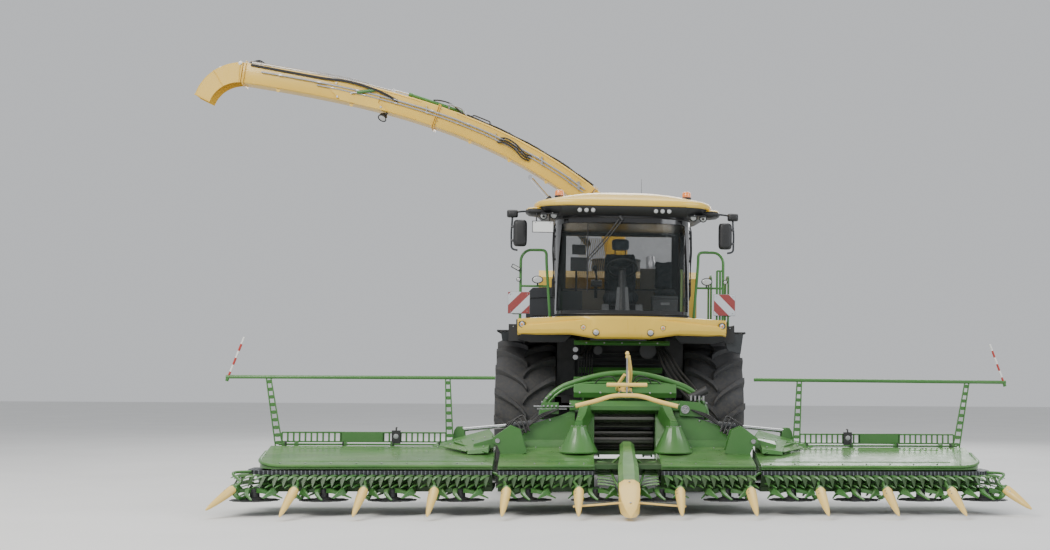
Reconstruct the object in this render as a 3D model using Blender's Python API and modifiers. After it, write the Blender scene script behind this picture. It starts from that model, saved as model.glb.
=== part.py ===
"""Self-propelled forage harvester with a three-part folding row-independent maize header.

Metres, +Z up, wheels on z = 0. The machine drives towards -Y, and +X is its left side. The solids
are modelled about the machine's own centre plane (x = 0) and front axle (y = 0), and one empty
carries them all to the part's frame, whose origin is on the ground under the middle of its box.
"""

import math

import bmesh
import bpy
from mathutils import Matrix, Vector

# Place of the machine's centre plane and front axle in the part's frame.
MACHINE_AT = Vector((0.70, -0.18, 0.0))
SEAM = 0.0003  # gap between pieces that touch

# Wheels and axles
WHEELBASE = 3.25
FRONT_TYRE_RADIUS = 1.03
FRONT_TYRE_WIDTH = 0.80
FRONT_TRACK_HALF = 1.25
FRONT_RIM_RADIUS = 0.483
REAR_TYRE_RADIUS = 0.80
REAR_TYRE_WIDTH = 0.60
REAR_TRACK_HALF = 1.22
REAR_RIM_RADIUS = 0.381
RIM_PLATE = 0.02
RIM_LIP = 0.03
DISC_OFFSET = 0.06  # wheel disc, outwards from the rim's middle
AXLE_TUBE_RADIUS = 0.16
KINGPIN_HALF = 0.78
KINGPIN_RADIUS = 0.07
WHEEL_STEPS = 24
RIM_STEPS = 24

# Chassis
RAIL_HALF = 0.45
RAIL_WIDTH = 0.10
RAIL_BOTTOM = 1.24
RAIL_TOP = 1.48
RAIL_FRONT = -0.28
REAR_OVERHANG = 1.45  # rear axle to the rails' rear ends
RAIL_REAR = WHEELBASE + REAR_OVERHANG
CHANNEL_HALF = 0.39
TURRET_Y = 1.70
TURRET_TOP = 3.26
TURRET_RADIUS = 0.36

# Bodywork
HOOD_HALF = 1.12
HOOD_FRONT = 0.64
HOOD_REAR = RAIL_REAR + 0.22
HOOD_TOP = 3.05
HOOD_WALL = 0.03
SERVICE_DOOR_FRONT = 1.75
SERVICE_DOOR_REAR = 4.30
SERVICE_DOOR_BOTTOM = 1.86
SERVICE_DOOR_TOP = 2.74
SCREEN_HALF = 0.95
SCREEN_BOTTOM = 1.86
SCREEN_TOP = 2.58
DOOR_GAP = 0.008
HINGE_RADIUS = 0.014
HINGE_LENGTH = 0.06
HINGE_STAND = 0.001
HINGE_TRIM = 0.002  # a hinge tab is this much narrower than its eye, at each end
HINGE_INSET = 0.02  # hinge axis to the edge of its opening

# Cab
CAB_HALF = 0.88
CAB_FRONT = -1.56
CAB_SIDE_FRONT = -0.90
CAB_REAR = 0.46
CAB_FLOOR = 2.32
CAB_FLOOR_THICK = 0.08
CAB_HEAD = 3.62
CAB_WALL = 0.05
GLASS = 0.008
DOOR_FRONT = -0.86
DOOR_REAR = 0.12
DOOR_SILL = 2.36
ROOF_TOP = 3.975
ROOF_HALF = 1.17
ROOF_FRONT = -1.66
ROOF_REAR = 0.62

# Front panel and platforms
PANEL_HALF = 1.34
PLATFORM_TOP = 2.27
HANDRAIL_Y = -1.12
LADDER_X = (1.355, 1.605)
LADDER_STEPS = 6
LADDER_PITCH = 0.30

# Spout, in the vertical plane y = TURRET_Y, pointing to -X
ELBOW_RADIUS = 1.17
ELBOW_END = math.radians(40)
BOOM_LENGTH = 5.38
BOOM_START = math.radians(38)
BOOM_END = math.radians(8)
BOOM_BEND = 1.75  # how early the boom's bend is used up
SPOUT_WIDTH = 0.38
SPOUT_DEPTH = 0.33
SPOUT_TIP_WIDTH = 0.34
SPOUT_TIP_DEPTH = 0.30
SPOUT_WALL = 0.008
SPOUT_SEAM = 0.006
FLAP_ARC = 0.95
LIFT_RADIUS = 0.045

# Feeder and header
FEEDER_PIVOT = Vector((0.0, -0.45, 1.10))
FEEDER_HALF = 0.44
FEEDER_PIN_RADIUS = 0.05
PIN_SIDES = 24
FEEDER_FRONT = -2.24
FEEDER_REAR = -0.74
FEEDER_BOTTOM = 0.60
FEEDER_TOP = 1.28
LIFT_X = 0.34
LIFT_BASE = Vector((0.0, -0.22, 0.62))
LIFT_EYE = Vector((0.0, -1.21, 0.56))
FEEDER_LIFT_RADIUS = 0.04
FEED_ROLLERS = (("upper", -2.00, 1.06, 0.13), ("lower", -1.96, 0.77, 0.11))  # name, y, z, radius
ROLLER_TEETH = 8
HEADER_REAR = -2.42
HOOP_Y = -2.295
DECK_REAR = -2.70
DECK_HIGH = 0.72
DECK_FRONT = -3.60
DECK_LOW = 0.54
CENTRE_HALF = 1.47
WING_INNER = 1.53
WING_OUTER = 4.20
WING_PIVOT = Vector((1.50, DECK_REAR - 0.24, 0.80))
WING_EARS = (DECK_REAR - 0.14, DECK_REAR - 0.34)  # middles of the two fork plates of each wing hinge
THROAT_HALF = 0.36
TIP_FRONT = -4.46
TIP_LOW = 0.05
TINE_PITCH = 0.25
FOLD_BASE = Vector((0.67, -2.42, 1.02))
FOLD_EYE = Vector((1.98, -2.42, 0.90))
FOLD_RADIUS = 0.042
GUARD_RADIUS = 0.022
DISC_RADIUS = 0.29
ROW_SPACING = 0.75

COLOURS = {
    "yellow": ((0.76, 0.55, 0.19), 0.35, 0.0),
    "green": ((0.045, 0.20, 0.035), 0.4, 0.0),
    "anthracite": ((0.028, 0.03, 0.034), 0.5, 0.0),
    "tyre": ((0.045, 0.045, 0.048), 0.85, 0.0),
    "glass": ((0.25, 0.28, 0.28), 0.05, 0.0),
    "seat": ((0.03, 0.032, 0.04), 0.9, 0.0),
    "chrome": ((0.8, 0.8, 0.8), 0.15, 1.0),
    "steel": ((0.35, 0.35, 0.36), 0.4, 0.9),
}


# ---------------------------------------------------------------- scene and materials

for old in list(bpy.data.objects):
    bpy.data.objects.remove(old)

parts = bpy.data.collections.new("forage_harvester")
helpers = bpy.data.collections.new("cutters_and_joined_shapes")
bpy.context.scene.collection.children.link(parts)
bpy.context.scene.collection.children.link(helpers)

machine = bpy.data.objects.new("machine", None)
machine.location = MACHINE_AT
parts.objects.link(machine)


def paint(name):
    """The material of this name from COLOURS, made once."""
    found = bpy.data.materials.get(name)
    if found:
        return found
    colour, roughness, metallic = COLOURS[name]
    made = bpy.data.materials.new(name)
    made.use_nodes = True
    shader = made.node_tree.nodes["Principled BSDF"]
    shader.inputs["Base Color"].default_value = (*colour, 1.0)
    shader.inputs["Roughness"].default_value = roughness
    shader.inputs["Metallic"].default_value = metallic
    return made


# ---------------------------------------------------------------- shapes

def shape(mesh, name="shape"):
    """A helper object that shows nowhere until part() makes it a sub-part."""
    made = bpy.data.objects.new(name, mesh)
    made.hide_render = True
    made.display_type = "WIRE"
    made.parent = machine
    helpers.objects.link(made)
    return made


def from_bmesh(bm):
    mesh = bpy.data.meshes.new("shape")
    bmesh.ops.recalc_face_normals(bm, faces=bm.faces)
    bm.to_mesh(mesh)
    bm.free()
    return shape(mesh)


def box(low, high, bevel=0.0):
    """A box between two corners, its edges chamfered where a bevel is given."""
    low = Vector(low)
    high = Vector(high)
    bm = bmesh.new()
    bmesh.ops.create_cube(bm, size=1.0)
    for vert in bm.verts:
        vert.co = Vector(
            (low[i] + high[i]) / 2 + vert.co[i] * (high[i] - low[i]) for i in range(3)
        )
    if bevel:
        bmesh.ops.bevel(
            bm, geom=bm.edges[:], offset=bevel, segments=1, affect="EDGES", profile=0.5
        )
    return from_bmesh(bm)


def rod(start, end, radius, end_radius=None, sides=12):
    """A round bar or cone between two points."""
    start = Vector(start)
    end = Vector(end)
    along = end - start
    bm = bmesh.new()
    bmesh.ops.create_cone(
        bm,
        cap_ends=True,
        segments=sides,
        radius1=radius,
        radius2=radius if end_radius is None else end_radius,
        depth=along.length,
    )
    turn = Vector((0, 0, 1)).rotation_difference(along).to_matrix().to_4x4()
    bmesh.ops.transform(bm, matrix=Matrix.Translation((start + end) / 2) @ turn, verts=bm.verts)
    return from_bmesh(bm)


def mesh_of_curve(curve):
    """A curve's mesh with its caps welded, and the curve removed."""
    holder = bpy.data.objects.new("curve", curve)
    mesh = bpy.data.meshes.new_from_object(holder)
    bpy.data.objects.remove(holder)
    bm = bmesh.new()
    bm.from_mesh(mesh)
    bmesh.ops.remove_doubles(bm, verts=bm.verts, dist=1e-5)
    return bm


AXES = {
    "X": Matrix(((0, 0, 1, 0), (1, 0, 0, 0), (0, 1, 0, 0), (0, 0, 0, 1))),
    "Y": Matrix(((1, 0, 0, 0), (0, 0, -1, 0), (0, 1, 0, 0), (0, 0, 0, 1))),
    "Z": Matrix.Identity(4),
}


def plate(outline, axis, low, high):
    """A flat outline extruded between two places on an axis. Its points are (y, z) for X,
    (x, z) for Y and (x, y) for Z."""
    curve = bpy.data.curves.new("outline", "CURVE")
    curve.dimensions = "2D"
    curve.fill_mode = "BOTH"
    curve.extrude = (high - low) / 2
    line = curve.splines.new("POLY")
    line.points.add(len(outline) - 1)
    for point, (a, b) in zip(line.points, outline):
        point.co = (a, b, 0, 1)
    line.use_cyclic_u = True
    bm = mesh_of_curve(curve)
    middle = (low + high) / 2
    bmesh.ops.dissolve_limit(bm, angle_limit=0.001, verts=bm.verts, edges=bm.edges)
    shift = Matrix.Translation((0, 0, -middle if axis == "Y" else middle))
    bmesh.ops.transform(bm, matrix=AXES[axis] @ shift, verts=bm.verts)
    return from_bmesh(bm)


def tube(points, radius, detail=1):
    """A bent tube through points, capped at both ends."""
    curve = bpy.data.curves.new("tube", "CURVE")
    curve.dimensions = "3D"
    curve.bevel_depth = radius
    curve.bevel_resolution = detail
    curve.use_fill_caps = True
    line = curve.splines.new("POLY")
    line.points.add(len(points) - 1)
    for point, place in zip(line.points, points):
        point.co = (*place, 1)
    return from_bmesh(mesh_of_curve(curve))


def rounded(points, radius, steps=2):
    """The points with each inner corner replaced by a short arc."""
    points = [Vector(p) for p in points]
    made = [points[0]]
    for before, corner, after in zip(points, points[1:], points[2:]):
        a = (before - corner).normalized()
        b = (after - corner).normalized()
        reach = min(radius, (before - corner).length / 2, (after - corner).length / 2)
        start = corner + a * reach
        end = corner + b * reach
        for i in range(steps + 1):
            t = i / steps
            made.append((1 - t) ** 2 * start + 2 * t * (1 - t) * corner + t * t * end)
    return made + [points[-1]]


def turned(profile, centre, axis, steps=WHEEL_STEPS):
    """A profile of (radius, height) turned about an axis, with a Screw modifier."""
    mesh = bpy.data.meshes.new("turned")
    count = len(profile)
    closed = profile[0][0] > 0
    edges = [(i, (i + 1) % count) for i in range(count if closed else count - 1)]
    mesh.from_pydata([(r, 0, h) for r, h in profile], edges, [])
    made = shape(mesh)
    screw = made.modifiers.new("turn", "SCREW")
    screw.steps = steps
    screw.render_steps = steps
    screw.use_merge_vertices = True
    screw.merge_threshold = 0.0001
    made.location = centre
    made.rotation_euler = Vector((0, 0, 1)).rotation_difference(Vector(axis)).to_euler()
    return made


def duct(stations, wall):
    """A rectangular duct through stations of (centre, up, half width, half depth), open at both
    ends. Each section lies in the plane of its up direction and Y."""
    bm = bmesh.new()
    outer = []
    inner = []
    for centre, up, half_width, half_depth in stations:
        for rings, inset in ((outer, 0.0), (inner, wall)):
            side = Vector((0, half_width - inset, 0))
            rise = Vector(up) * (half_depth - inset)
            corners = (side + rise, rise - side, -side - rise, side - rise)
            rings.append([bm.verts.new(Vector(centre) + c) for c in corners])
    for rings in (outer, inner):
        for first, second in zip(rings, rings[1:]):
            for i in range(4):
                j = (i + 1) % 4
                bm.faces.new((first[i], first[j], second[j], second[i]))
    for end in (0, -1):
        for i in range(4):
            j = (i + 1) % 4
            bm.faces.new((outer[end][i], outer[end][j], inner[end][j], inner[end][i]))
    return from_bmesh(bm)


def both(make):
    """The same shape on the left (side 1) and on the right (side -1)."""
    made = []
    for side in (1, -1):
        found = make(side)
        made += found if isinstance(found, list) else [found]
    return made


def span(a, b):
    """Two values in rising order."""
    return (a, b) if a < b else (b, a)


def side_box(side, low, high, bevel=0.0):
    """A box whose x values are distances out from the centre plane, on one side."""
    x_low, x_high = span(side * low[0], side * high[0])
    return box((x_low, low[1], low[2]), (x_high, high[1], high[2]), bevel)


def at_side(side, points):
    return [(side * x, y, z) for x, y, z in points]


# ---------------------------------------------------------------- sub-parts and joints

places = {"machine": Vector((0, 0, 0))}
pivots = {"machine": machine}


def pivot(name, at, parent="machine"):
    """An empty on a joint's axis, which carries the pieces that the joint moves."""
    made = bpy.data.objects.new(name + "_axis", None)
    parts.objects.link(made)
    made.parent = pivots[parent]
    made.location = Vector(at) - places[parent]
    places[name] = Vector(at)
    pivots[name] = made


def part(name, colour, base, plus=(), minus=(), on="machine"):
    """Makes a shape a named sub-part: other shapes are joined to it, then cutters are taken out."""
    base.name = name
    base.data.name = name
    helpers.objects.unlink(base)
    parts.objects.link(base)
    base.hide_render = False
    base.display_type = "TEXTURED"
    base.data.materials.clear()
    base.data.materials.append(paint(colour))
    join(base, plus)
    join(base, minus, "DIFFERENCE")
    base.parent = pivots[on]
    base.location = base.location - places[on]
    return base


def hinges(axis_at, axis, out, leaf_way, stations, reach=0.05):
    """Butt hinges on one axis that stands just outside a face. For each station the fixed side gets
    two eyes and the leaf one eye between them, each with a tab down to its own panel. out points
    away from the face and leaf_way from the axis to the leaf."""
    fixed = []
    leaf = []
    at = Vector(axis_at)
    along = Vector(axis)
    out = Vector(out)
    way = Vector(leaf_way)
    half = HINGE_LENGTH / 2

    def tab(low, high, out_low, out_high, way_low, way_high):
        a = at + along * low + out * out_low + way * way_low
        b = at + along * high + out * out_high + way * way_high
        return box([min(p) for p in zip(a, b)], [max(p) for p in zip(a, b)])

    stand = HINGE_RADIUS + HINGE_STAND
    for station in stations:
        low, high = station - half, station + half
        leaf.append(rod(at + along * low, at + along * high, HINGE_RADIUS, sides=6))
        low += HINGE_TRIM
        high -= HINGE_TRIM
        leaf.append(tab(low, high, 0.0005 - stand, 0.004, 0.0, reach))
        low += HINGE_TRIM
        high -= HINGE_TRIM
        leaf.append(tab(low, high, -stand - 0.01, 0.002 - stand, HINGE_INSET + 0.013, reach - 0.004))
        for sign in (1, -1):
            near = station + sign * (half + SEAM)
            far = near + sign * half
            fixed.append(rod(at + along * near, at + along * far, HINGE_RADIUS, sides=6))
            low, high = span(near + sign * HINGE_TRIM, far - sign * HINGE_TRIM)
            fixed.append(tab(low, high, -stand - 0.01, 0.004, -0.009, 0.010))
    return fixed, leaf


def join(sub_part, shapes, operation="UNION"):
    """Adds Boolean steps to a sub-part, after those that it has."""
    for other in shapes:
        step = sub_part.modifiers.new(operation.lower(), "BOOLEAN")
        step.operation = operation
        step.solver = "EXACT"
        step.object = other


# ---------------------------------------------------------------- wheels, axles and chassis

def tyre_profile(rim_radius, radius, width, rim_width):
    bead = rim_width / 2 - RIM_PLATE - SEAM
    bore = rim_radius + SEAM
    half = [(radius, width / 2 - 0.13), (radius - 0.06, width / 2 - 0.03)]
    half += [(radius - 0.24, width / 2), (rim_radius + RIM_LIP + 0.012, bead - SEAM), (bore, bead - SEAM)]
    return list(reversed(half)) + [(r, -h) for r, h in half]


def rim_profile(rim_radius, rim_width):
    half = rim_width / 2
    lip = rim_radius + RIM_LIP
    inner = rim_radius - RIM_PLATE
    disc = DISC_OFFSET + RIM_PLATE
    return [
        (0, disc),
        (inner, disc),
        (inner, half),
        (lip, half),
        (lip, half - RIM_PLATE),
        (rim_radius, half - RIM_PLATE),
        (rim_radius, RIM_PLATE - half),
        (lip, RIM_PLATE - half),
        (lip, -half),
        (inner, -half),
        (inner, DISC_OFFSET),
        (0, DISC_OFFSET),
    ]


def wheel(name, centre, side, rim_radius, radius, width, on="machine"):
    rim_width = width - 0.10
    spin = name + "_spin"
    pivot(spin, centre, on)
    axis = (side, 0, 0)
    tyre = turned(tyre_profile(rim_radius, radius, width, rim_width), centre, axis)
    rim = turned(rim_profile(rim_radius, rim_width), centre, axis, RIM_STEPS)
    part(name + "_tyre", "tyre", tyre, on=spin)
    part(name + "_rim", "yellow", rim, on=spin)


def front_axle():
    z = FRONT_TYRE_RADIUS
    flange = FRONT_TRACK_HALF + DISC_OFFSET - SEAM
    beam = rod((-0.80, 0, z), (0.80, 0, z), AXLE_TUBE_RADIUS, sides=16)
    more = both(lambda s: rod((s * 0.78, 0, z), (s * (flange - 0.12), 0, z), 0.24, sides=16))
    more += both(lambda s: rod((s * (flange - 0.14), 0, z), (s * flange, 0, z), 0.17, sides=16))
    saddle_top = RAIL_BOTTOM - SEAM
    more += both(lambda s: side_box(s, (RAIL_HALF - 0.07, -0.14, z), (RAIL_HALF + 0.07, 0.14, saddle_top)))
    fork = FEEDER_LIFT_RADIUS + 0.003 + SEAM
    for side in (1, -1):
        for low in (LIFT_X - fork - 0.02, LIFT_X + fork):
            ends = span(side * low, side * (low + 0.02))
            _, pin_y, pin_z = LIFT_BASE
            more.append(slab((0, -0.02, z - 0.10), LIFT_BASE, ends, 0.05, "X"))
            more.append(rod((ends[0], pin_y, pin_z), (ends[1], pin_y, pin_z), 0.05, sides=10))
    part("front_axle", "anthracite", beam, more)


def rear_axle():
    z = REAR_TYRE_RADIUS
    y = WHEELBASE
    beam = box((-KINGPIN_HALF + 0.12, y - 0.11, z - 0.09), (KINGPIN_HALF - 0.12, y + 0.11, z + 0.09), 0.02)
    more = []
    for side in (1, -1):
        root = KINGPIN_HALF - 0.20
        for low, high in ((z - 0.19, z - 0.13), (z + 0.13, z + 0.19)):
            more.append(side_box(side, (root, y - 0.09, low), (KINGPIN_HALF + 0.08, y + 0.09, high)))
        more.append(side_box(side, (root, y - 0.09, z - 0.16), (root + 0.10, y + 0.09, z + 0.16)))
    more.append(box((-0.16, y - 0.10, z), (0.16, y + 0.10, RAIL_BOTTOM - 0.08)))
    half = RAIL_HALF + 0.04
    more.append(box((-half, y - 0.12, RAIL_BOTTOM - 0.12), (half, y + 0.12, RAIL_BOTTOM - SEAM)))
    part("rear_axle", "anthracite", beam, more)
    for side, name in ((1, "left"), (-1, "right")):
        pin = (side * KINGPIN_HALF, y, z)
        pivot("steer_" + name, pin)
        flange = REAR_TRACK_HALF + DISC_OFFSET - SEAM
        boss = rod((pin[0], y, z - 0.13 + SEAM), (pin[0], y, z + 0.13 - SEAM), KINGPIN_RADIUS, sides=16)
        stub = rod((pin[0], y, z), (side * (flange - 0.02), y, z), 0.06, sides=16)
        hub = rod((side * (flange - 0.10), y, z), (side * flange, y, z), 0.14, sides=16)
        arm_low = (KINGPIN_HALF - 0.03, y + 0.02, z - 0.02)
        arm = side_box(side, arm_low, (KINGPIN_HALF + 0.03, y + 0.24, z + 0.03))
        part("knuckle_" + name, "anthracite", boss, [stub, hub, arm], on="steer_" + name)


def chassis():
    def rail(side):
        return side_box(
            side,
            (RAIL_HALF - RAIL_WIDTH / 2, RAIL_FRONT, RAIL_BOTTOM),
            (RAIL_HALF + RAIL_WIDTH / 2, RAIL_REAR, RAIL_TOP),
        )

    rails = both(rail)
    width = RAIL_HALF
    ties = [
        box((-width, 2.05, RAIL_BOTTOM + 0.02), (width, 2.17, RAIL_TOP - 0.02)),
        box((-width, WHEELBASE - 0.10, RAIL_BOTTOM + 0.02), (width, WHEELBASE + 0.10, RAIL_TOP - 0.04)),
        box((-1.15, RAIL_REAR - 0.14, 1.02), (1.15, RAIL_REAR + 0.10, RAIL_TOP + 0.16), 0.03),
        box((-0.22, RAIL_REAR - 0.05, 0.62), (0.22, RAIL_REAR + 0.16, 1.10)),
    ]
    # Outriggers that carry the bodywork and the cab.
    low = RAIL_TOP - 0.14
    wall = HOOD_HALF - HOOD_WALL - SEAM
    cab_seat = CAB_FLOOR - CAB_FLOOR_THICK - SEAM
    for side in (1, -1):
        ties.append(side_box(side, (RAIL_HALF, 1.16, low), (HOOD_HALF - 0.08, 1.24, low + 0.10)))
        ties.append(side_box(side, (HOOD_HALF - 0.10, 1.16, low), (wall, 1.24, RAIL_TOP + 0.30)))
        for y in (-0.26, 0.26):
            post = (RAIL_HALF - 0.05, y, RAIL_TOP - 0.05)
            ties.append(side_box(side, post, (RAIL_HALF + 0.05, y + 0.10, cab_seat)))
    part("chassis_frame", "anthracite", rails[0], ties + rails[1:])


def engine():
    low = (-0.55, 2.55, RAIL_TOP + SEAM)
    high = (0.55, 4.25, 2.45)
    part("engine_block", "steel", box(low, high, 0.04))


def crop_channel():
    half = CHANNEL_HALF + 0.01 - SEAM
    outline = [(-0.60, 0.80), (-0.60, 1.36), (-0.30, 1.52), (-0.10, 1.60), (0.55, 2.14), (1.28, 2.18)]
    outline += [(TURRET_Y - 0.38, 2.45), (TURRET_Y - 0.38, 2.96), (TURRET_Y + 0.38, 2.96)]
    outline += [(TURRET_Y + 0.38, 1.70), (1.60, RAIL_BOTTOM + 0.04), (0.30, RAIL_BOTTOM + 0.02)]
    outline += [(-0.20, RAIL_BOTTOM), (-0.30, 0.80)]
    base = plate(outline, "X", -half, half)
    ring = rod((0, TURRET_Y, 2.90), (0, TURRET_Y, TURRET_TOP), TURRET_RADIUS, sides=24)
    pins = both(
        lambda s: rod(
            (s * (half - 0.05), FEEDER_PIVOT.y, FEEDER_PIVOT.z),
            (s * (FEEDER_HALF + 0.03), FEEDER_PIVOT.y, FEEDER_PIVOT.z),
            FEEDER_PIN_RADIUS,
            sides=PIN_SIDES,
        )
    )
    cheek = ((half - 0.02, 0.42, RAIL_TOP + SEAM), (RAIL_HALF + 0.04, 1.05, RAIL_TOP + 0.06))
    cheeks = both(lambda s: side_box(s, *cheek))
    part("crop_channel", "anthracite", base, [ring] + pins + cheeks)


# ---------------------------------------------------------------- bodywork

def hood():
    low = RAIL_TOP
    outline = [
        (HOOD_FRONT, 2.26),
        (HOOD_FRONT, HOOD_TOP - 0.10),
        (HOOD_FRONT + 0.12, HOOD_TOP),
        (4.20, HOOD_TOP),
        (4.70, HOOD_TOP - 0.14),
        (HOOD_REAR, HOOD_TOP - 0.42),
        (HOOD_REAR, 1.74),
        (2.36, 1.74),
        (2.22, low),
        (1.12, low),
        (1.12, 2.26),
    ]
    w = HOOD_WALL
    inner = [
        (HOOD_FRONT + w, 2.20),
        (HOOD_FRONT + w, HOOD_TOP - 0.12),
        (HOOD_FRONT + 0.13 + w / 2, HOOD_TOP - w),
        (4.20 - 0.01, HOOD_TOP - w),
        (4.68, HOOD_TOP - 0.14 - w),
        (HOOD_REAR - w, HOOD_TOP - 0.43),
        (HOOD_REAR - w, 1.60),
        (2.40, 1.60),
        (2.20, low - 0.2),
        (1.12 + w, low - 0.2),
        (1.12 + w, 2.20),
    ]
    shell = plate(outline, "X", -HOOD_HALF, HOOD_HALF)
    hollow = plate(inner, "X", w - HOOD_HALF, HOOD_HALF - w)
    turret_hole = rod((0, TURRET_Y, 2.9), (0, TURRET_Y, 3.2), TURRET_RADIUS + 0.03, sides=24)
    doors = both(
        lambda s: side_box(
            s,
            (HOOD_HALF - 0.1, SERVICE_DOOR_FRONT, SERVICE_DOOR_BOTTOM),
            (HOOD_HALF + 0.1, SERVICE_DOOR_REAR, SERVICE_DOOR_TOP),
        )
    )
    screen_low = (-SCREEN_HALF, HOOD_REAR - 0.25, SCREEN_BOTTOM)
    screen = box(screen_low, (SCREEN_HALF, HOOD_REAR + 0.1, SCREEN_TOP))
    fixed = []
    leaves = {}
    stand = HINGE_RADIUS + HINGE_STAND
    door_middle = (SERVICE_DOOR_FRONT + SERVICE_DOOR_REAR) / 2
    for side, name in ((1, "left"), (-1, "right")):
        axis_at = (side * (HOOD_HALF + stand), door_middle, SERVICE_DOOR_TOP + HINGE_INSET)
        eyes, leaf = hinges(axis_at, (0, 1, 0), (side, 0, 0), (0, 0, -1), (-0.95, 0.95))
        fixed += eyes
        leaves[name] = leaf
        pivot("service_" + name, axis_at)
    axis_at = (SCREEN_HALF + HINGE_INSET, HOOD_REAR + stand, (SCREEN_BOTTOM + SCREEN_TOP) / 2)
    eyes, screen_leaf = hinges(axis_at, (0, 0, 1), (0, 1, 0), (-1, 0, 0), (-0.22, 0.22))
    fixed += eyes
    pivot("screen_hinge", axis_at)
    channel_slot = box((-0.53, 1.0, 1.2), (0.53, 1.3, 2.25))
    cuts = [hollow, turret_hole, screen, channel_slot] + doors
    join(part("engine_hood", "yellow", shell, [], cuts), fixed)

    gap = DOOR_GAP
    for side, name in ((1, "left"), (-1, "right")):
        panel = side_box(
            side,
            (HOOD_HALF - w, SERVICE_DOOR_FRONT + gap, SERVICE_DOOR_BOTTOM + gap),
            (HOOD_HALF, SERVICE_DOOR_REAR - gap, SERVICE_DOOR_TOP - gap),
            0.004,
        )
        part("service_door_" + name, "yellow", panel, leaves[name], on="service_" + name)
    panel = box(
        (gap - SCREEN_HALF, HOOD_REAR - w, SCREEN_BOTTOM + gap),
        (SCREEN_HALF - gap, HOOD_REAR, SCREEN_TOP - gap),
        0.004,
    )
    part("rear_screen", "anthracite", panel, screen_leaf, on="screen_hinge")


# ---------------------------------------------------------------- cab

def cab_outline(inset, rear):
    """The cab's plan: a curved front between straight sides."""
    half = CAB_HALF - inset
    depth = CAB_SIDE_FRONT - CAB_FRONT - inset
    points = []
    steps = 12
    for i in range(steps + 1):
        angle = math.pi * i / steps
        bow = abs(math.cos(angle)) ** 0.8
        x = math.copysign(bow, math.cos(angle)) * half
        y = CAB_SIDE_FRONT - depth * math.sin(angle) ** 0.75
        points.append((x, y))
    return [(half, rear)] + points + [(-half, rear)]


def cab():
    wall = CAB_WALL
    low = CAB_FLOOR - CAB_FLOOR_THICK
    shell = plate(cab_outline(0, CAB_REAR), "Z", low, CAB_HEAD)
    room = plate(cab_outline(wall, CAB_REAR - wall), "Z", CAB_FLOOR, CAB_HEAD - wall)
    glass_low = CAB_FLOOR + 0.03
    glass_high = CAB_HEAD - 0.03
    front = box((-1.2, CAB_FRONT - 0.2, glass_low), (1.2, CAB_SIDE_FRONT - 0.03, glass_high))
    rear = box((-0.74, CAB_REAR - 0.2, 2.78), (0.74, CAB_REAR + 0.2, 3.52))
    door_head = CAB_HEAD - wall - 0.01
    doorway = ((CAB_HALF - 0.2, DOOR_FRONT, DOOR_SILL), (CAB_HALF + 0.2, DOOR_REAR, door_head))
    doors = both(lambda s: side_box(s, *doorway))
    fixed = []
    leaves = {}
    for side, name in ((1, "left"), (-1, "right")):
        axis_at = (side * (CAB_HALF + HINGE_RADIUS + HINGE_STAND), DOOR_REAR + HINGE_INSET, 2.96)
        eyes, leaf = hinges(axis_at, (0, 0, 1), (side, 0, 0), (0, -1, 0), (-0.36, 0.36))
        fixed += eyes
        leaves[name] = leaf
        pivot("door_" + name, axis_at)
    join(part("cab_frame", "anthracite", shell, [], [room, front, rear] + doors), fixed)

    inner = cab_outline(0.006 + GLASS, 0)[1:-1]
    outer = cab_outline(0.006, 0)[1:-1]
    stop = CAB_SIDE_FRONT - 0.03 - SEAM
    outer = [(x, min(y, stop)) for x, y in outer]
    inner = [(x, min(y, stop)) for x, y in inner]
    glass = plate(outer + inner[::-1], "Z", glass_low + SEAM, glass_high - SEAM)
    part("windscreen", "glass", glass)
    pane_y = CAB_REAR - 0.03
    pane = box((-0.74 + SEAM, pane_y, 2.78 + SEAM), (0.74 - SEAM, pane_y + GLASS, 3.52 - SEAM))
    part("rear_window", "glass", pane)
    gap = 0.006
    top = door_head - gap
    frame = 0.06
    for side, name in ((1, "left"), (-1, "right")):
        panel_low = (CAB_HALF - 0.04, DOOR_FRONT + gap, DOOR_SILL + gap)
        panel = side_box(side, panel_low, (CAB_HALF, DOOR_REAR - gap, top), 0.003)
        window_low = (CAB_HALF - 0.1, DOOR_FRONT + gap + frame, DOOR_SILL + gap + frame)
        window_high = (CAB_HALF + 0.1, DOOR_REAR - gap - frame, top - frame)
        window = side_box(side, window_low, window_high)
        join(part("cab_door_" + name, "anthracite", panel, [], [window], on="door_" + name), leaves[name])
        pane = side_box(
            side,
            (CAB_HALF - 0.022, window_low[1] + SEAM, window_low[2] + SEAM),
            (CAB_HALF - 0.022 + GLASS, window_high[1] - SEAM, window_high[2] - SEAM),
        )
        part("door_glass_" + name, "glass", pane, on="door_" + name)


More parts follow.
